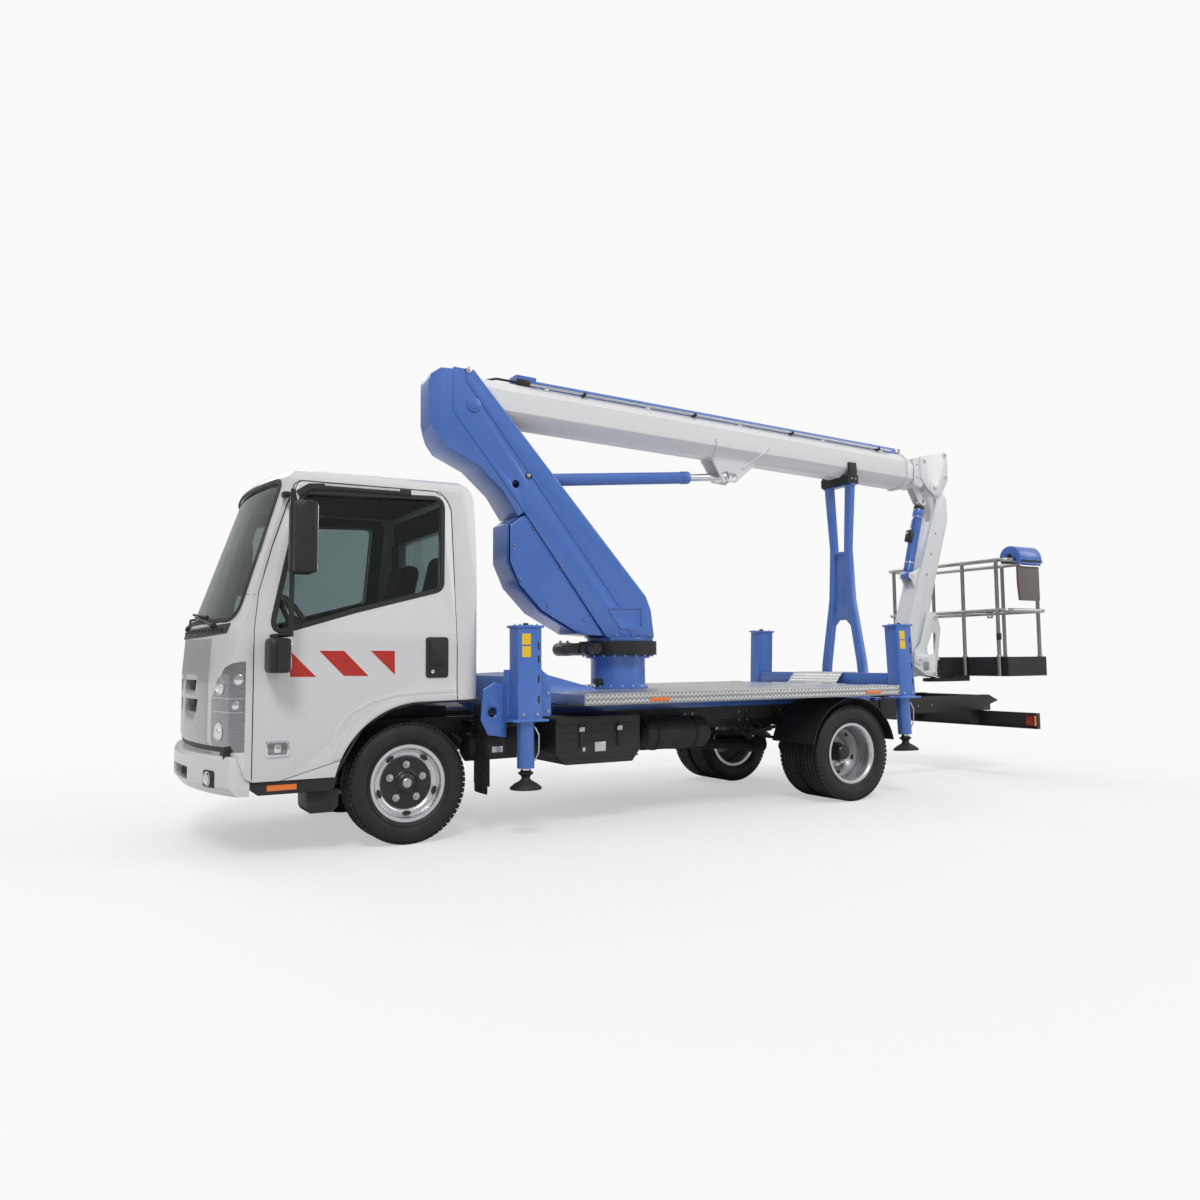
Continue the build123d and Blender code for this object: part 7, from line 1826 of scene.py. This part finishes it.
# ------------------------------------------------------------------ boom
@dataclass
class Boom:
    """Wear strips, gussets, pipes and clamps along the boom sections, in the boom's own frame."""

    tilt_deg: float = 2.0
    half_width: float = 0.145
    half_height: float = 0.15
    chamfer: float = 0.078
    axis_rise: float = 0.076
    lug_along: float = 2.234
    lug_drop: float = 0.285
    mouths: tuple = (-4.23, -4.272, -4.314)
    step: float = 0.012
    top: float = 0.226

    def frame(self) -> Matrix:
        """The boom's frame: its own X along the boom, through the lift pivot."""
        return Matrix.Translation((LIFT_X, 0.0, LIFT_Z)) @ spin(-self.tilt_deg, "Y")

    def build(self) -> None:
        """Build the boom's details."""
        place = self.frame()
        skin = Skin("boom_base")
        base = Form()
        for route in (((-2.721, 2.80), (-2.757, 2.60)), ((-3.27, 2.79), (-3.037, 2.60))):
            ribbon(base, skin.trace(route, Plane.SIDE, 0.02), 0.011, 0.014, LIFT_WHITE, sink=0.004)
        base.both()
        local = Form()
        for along in (0.62, 1.5, 2.4, 3.3, 4.0):
            local.prism(((-0.044, self.top - 0.002), (0.044, self.top - 0.002), (0.036, self.top + 0.03),
                         (-0.036, self.top + 0.03)), (-along - 0.014, -along + 0.014), Plane.FRONT,
                        LIFT_WHITE, 0.003)
        for y in (0.075, 0.1):
            local.pipe(((-0.46, y, self.top + 0.012), (-4.05, y, self.top + 0.012)), 0.006, STEEL, 0.02)
        for along in (0.9, 1.9, 2.9, 3.9):
            local.block((-along - 0.012, 0.062, self.top - 0.002), (-along + 0.012, 0.112, self.top + 0.022),
                        BLACK_PLASTIC, 0.003)
        local.block((-0.47, -0.02, self.top - 0.001), (-0.36, 0.075, self.top + 0.048), BLACK_PAINT, 0.005)
        for dx in (-0.45, -0.415, -0.38):
            local.rod((dx, 0.05, self.top + 0.046), (dx, 0.05, self.top + 0.062), 0.010, ZINC, 0.002, 6)
        local.pipe(((-0.37, 0.03, self.top + 0.03), (-0.22, 0.03, self.top + 0.03),
                    (-0.12, 0.0, self.top + 0.005)), 0.009, BLACK_PAINT, 0.04)
        base.merge(local, place)
        self.wear_ring(base, 0)
        lug = Form()
        for x, z in self.lug_bolts():
            lug.merge(hex_bolt(0.011, 0.010), turn_to("Y", (x, 0.0765, z)))
        base.merge(lug.both())
        base.done("boom_base_details", "boom_base")
        for index in (1, 2):
            ring = Form()
            self.wear_ring(ring, index)
            ring.done(f"boom_wear_ring_{index}", f"boom_stage_{index}")
        self.head().both().done("boom_head_pins", "boom_stage_3")

    def lug_bolts(self) -> list[Flat]:
        """Places of the keeper bolts on the lift cylinder's lug."""
        place = self.frame() @ Vector((-self.lug_along, 0.0, self.axis_rise - self.lug_drop))
        return [(place.x + 0.045, place.z + 0.02), (place.x - 0.045, place.z + 0.02)]

    def wear_ring(self, form: Form, index: int) -> None:
        """Black wear strip that shows round the mouth of one section."""
        drop = self.step * (index + 1) - 0.004
        a, b, cut = self.half_width - drop, self.half_height - drop, self.chamfer
        x = self.mouths[index] - 0.004
        z = self.axis_rise
        corners = [(a, b - cut), (a - cut, b), (-a + cut, b), (-a, b - cut), (-a, -b + cut), (-a + cut, -b),
                   (a - cut, -b), (a, -b + cut)]
        place = self.frame()
        turn = place.to_3x3()
        for i, (y0, z0) in enumerate(corners):
            y1, z1 = corners[(i + 1) % 8]
            out = Vector((0.0, z1 - z0, y0 - y1))
            if out.dot(Vector((0.0, y0 + y1, z0 + z1))) < 0:
                out = -out
            ends = [(place @ Vector((x, y, z + h)), (turn @ out).normalized())
                    for y, h in ((y0, z0), (y1, z1))]
            ribbon(form, ends, 0.010, 0.0, BLACK_PLASTIC, sink=0.006)

    def head(self) -> Form:
        """Pins and keepers on the left plate of the boom's head."""
        form = Form()
        form.rod((JIB_X, 0.112, JIB_Z), (JIB_X, 0.128, JIB_Z), 0.036, LIFT_WHITE, 0.003, 40)
        form.rod((JIB_X, 0.118, JIB_Z), (JIB_X, 0.133, JIB_Z), 0.021, ZINC, 0.003)
        for x, z in ((-5.386, 2.936), (-5.385, 2.733), (-5.115, 2.86)):
            form.rod((x, 0.112, z), (x, 0.124, z), 0.026, LIFT_WHITE, 0.003)
            form.rod((x, 0.118, z), (x, 0.130, z), 0.014, ZINC, 0.002, 6)
        for x, z in ((-5.03, 2.82), (-5.03, 2.70)):
            form.rod((x, 0.100, z), (x, 0.109, z), 0.010, ZINC, 0.001, 6)
        return form


# ------------------------------------------------------------------ jib and basket
@dataclass
class JibAndBasket:
    """Pins, pipes and boots of the jib, the turning gear and the basket's fittings."""

    jib_half: float = 0.088
    ram_top: Flat = (-5.17, 2.495)
    ram_foot: Flat = (-4.975, 1.80)
    basket_x: Flat = (-5.985, -5.432)
    basket_y: float = 0.69
    floor_z: float = 0.88
    posts_y: Flat = (0.23, 0.596)

    def build(self) -> None:
        """Build both."""
        self.jib().both().done("jib_pins", "jib")
        self.ram().done("jib_cylinder_fittings", "jib_barrel")
        self.turning_gear().done("turning_gear", "basket_arm")
        self.basket().done("basket_fittings", "basket")

    def jib(self) -> Form:
        """Pins, keepers and rubber plugs on the left of the jib."""
        form = Form()
        half = self.jib_half
        form.rod((JIB_END_X, half - 0.004, JIB_END_Z), (JIB_END_X, half + 0.007, JIB_END_Z), 0.032,
                 LIFT_WHITE, 0.002)
        form.rod((self.ram_foot[0], 0.03, self.ram_foot[1]), (self.ram_foot[0], 0.064, self.ram_foot[1]),
                 0.02, ZINC, 0.003)
        for t in (0.12, 0.34, 0.56):
            x = -5.30 + (-4.99 + 5.30) * t
            z = 2.30 + (1.42 - 2.30) * t
            form.rod((x, half, z), (x, half + 0.004, z), 0.007, RUBBER, 0.001, 12)
        return form

    def ram(self) -> Form:
        """Boot, valve block and pipe of the jib cylinder."""
        form = Form()
        top, foot = Vector((self.ram_top[0], 0.0,
                            self.ram_top[1])), Vector((self.ram_foot[0], 0.0, self.ram_foot[1]))
        along = (foot - top).normalized()
        out = Vector((-along.z, 0.0, along.x))
        if out.x < 0:
            out = -out
        form.rod(top + along * 0.045, top + along * 0.13, 0.0475, RUBBER, 0.005)
        for t in (0.15, 0.60):
            form.rod(top + along * t, top + along * (t + 0.012), 0.0465, ZINC, 0.002)
        spot = top + along * 0.36 + out * 0.062
        turn = Matrix((out, Vector((0, 1, 0)), -along)).transposed().to_4x4()
        block = Form().block((-0.022, -0.03, -0.055), (0.022, 0.03, 0.055), BLACK_PAINT, 0.005)
        block.rod((0.0, 0.0, 0.05), (0.0, 0.0, 0.075), 0.012, ZINC, 0.002, 6)
        block.rod((0.018, 0.0, 0.02), (0.034, 0.0, 0.02), 0.012, ZINC, 0.002, 6)
        form.merge(block, Matrix.Translation(spot) @ turn)
        form.pipe([tuple(spot - along * 0.07), tuple(spot - along * 0.16),
                   tuple(top + along * 0.17 + out * 0.05)], 0.006, STEEL, 0.03)
        return form

    def turning_gear(self) -> Form:
        """Black slewing drive over the basket's turning pin."""
        form = Form()
        form.lathe([(0.0, 0.872), (0.078, 0.872), (0.08, 0.88), (0.08, 0.905), (0.07, 0.912), (0.07, 0.985),
                    (0.08, 0.992), (0.08, 1.02), (0.074, 1.028), (0.0, 1.028)], (TURN_X, 0.0, 0.0), "Z",
                   BLACK_PAINT, 56)
        form.ring(hex_bolt(0.008, 0.007), 8, 0.062, Matrix.Translation((TURN_X, 0.0, 1.028)), ZINC)
        form.rod((TURN_X + 0.02, 0.05, 0.95), (TURN_X + 0.02, 0.10, 0.95), 0.034, BLACK_PAINT, 0.004)
        arm = Form()
        for x, z in ((-5.18, 1.42), (-5.14, 0.905), (JIB_END_X, JIB_END_Z)):
            arm.rod((x, 0.118, z), (x, 0.136, z), 0.013, ZINC, 0.002, 6)
        return form.merge(arm.both())

    def basket(self) -> Form:
        """Control box trim, levers, rail clamps, rubber bumpers and floor pattern."""
        form = Form()
        x0, x1 = self.basket_x[0] + 0.13, self.basket_x[1] - 0.13
        y = self.basket_y + 0.0173
        pouch = rounded(((x0 + 0.02, 1.545), (x1 - 0.01, 1.545), (x1 + 0.008, 1.70), (x1 + 0.008, 1.86),
                         (x0 + 0.02, 1.86)), 0.015)
        form.prism(pouch, (y + 0.0005, y + 0.0262), Plane.SIDE, POUCH, 0.004)
        skirt = rounded(((y + 0.001, 1.865), (y + 0.030, 1.865), (y + 0.0405, 1.895), (y + 0.0405, 1.945),
                         (y + 0.001, 1.945)), 0.008)
        form.prism(skirt, (x0 - 0.004, x1 + 0.004), Plane.FRONT, BLUE, 0.003)
        form.block((x0 + 0.01, y + 0.02, 1.886), (x1 - 0.01, y + 0.0425, 1.906), BLACK_PLASTIC, 0.003)
        form.pipe(((x0 + 0.01, y + 0.012, 1.87), (x0 + 0.014, y + 0.036, 1.85), (x1 - 0.014, y + 0.036, 1.85),
                   (x1 - 0.01, y + 0.012, 1.87)), 0.006, CHROME, 0.01)
        for end, way in ((x0, -1), (x1, 1)):
            form.rod((end, y - 0.065, 1.945), (end + way * 0.006, y - 0.065, 1.945), 0.02, BLACK_PLASTIC,
                     0.002)
        panel = self.basket_y - 0.06
        form.block((x0 + 0.02, panel - 0.10, 1.885), (x1 - 0.02, panel + 0.02, 1.93), BLACK_PLASTIC, 0.006)
        for k in range(5):
            x = x0 + 0.06 + (x1 - x0 - 0.12) * k / 4
            form.rod((x, panel - 0.06, 1.925), (x, panel - 0.06, 1.965), 0.005, ZINC, 0.001, 12)
            form.rod((x, panel - 0.06, 1.96), (x, panel - 0.06, 1.985), 0.011, BLACK_PLASTIC, 0.004)
        for z in (1.46, 1.905):
            for side in (-1, 1):
                for x in self.basket_x:
                    for post_y in self.posts_y:
                        form.lathe([(0.0165, -0.014), (0.0205, -0.012), (0.0205, 0.012), (0.0165, 0.014)],
                                   (x, side * post_y, z), "Y", ZINC, 24)
        for x in self.basket_x:
            for post_y in (-self.posts_y[1], -self.posts_y[0], *self.posts_y):
                form.lathe([(0.0165, 0.0), (0.026, 0.0), (0.026, 0.008), (0.0165, 0.012)],
                           (x, post_y, self.floor_z + 0.172), "Z", ZINC, 24)
        tray = Matrix.Translation((sum(self.basket_x) / 2, 0.0, self.floor_z + 0.02))
        form.chequers((12, 32), (0.46, 1.26), tray, (0.01, 0.02, 0.0))
        for side_y in (-0.6, 0.6):
            form.rod((self.basket_x[1], side_y, 1.20), (self.basket_x[1], side_y, 1.26), 0.0215, RUBBER,
                     0.003)
        return form


def main() -> None:
    """Build every part in order and report on each."""
    logging.basicConfig(level=logging.INFO, format="%(name)s: %(message)s")
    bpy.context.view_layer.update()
    Studio().build()
    Solids().build()
    Wheels().build()
    Cab().build()
    LiftBase().build()
    Tower().build()
    Boom().build()
    JibAndBasket().build()


if __name__ == "__main__":
    main()
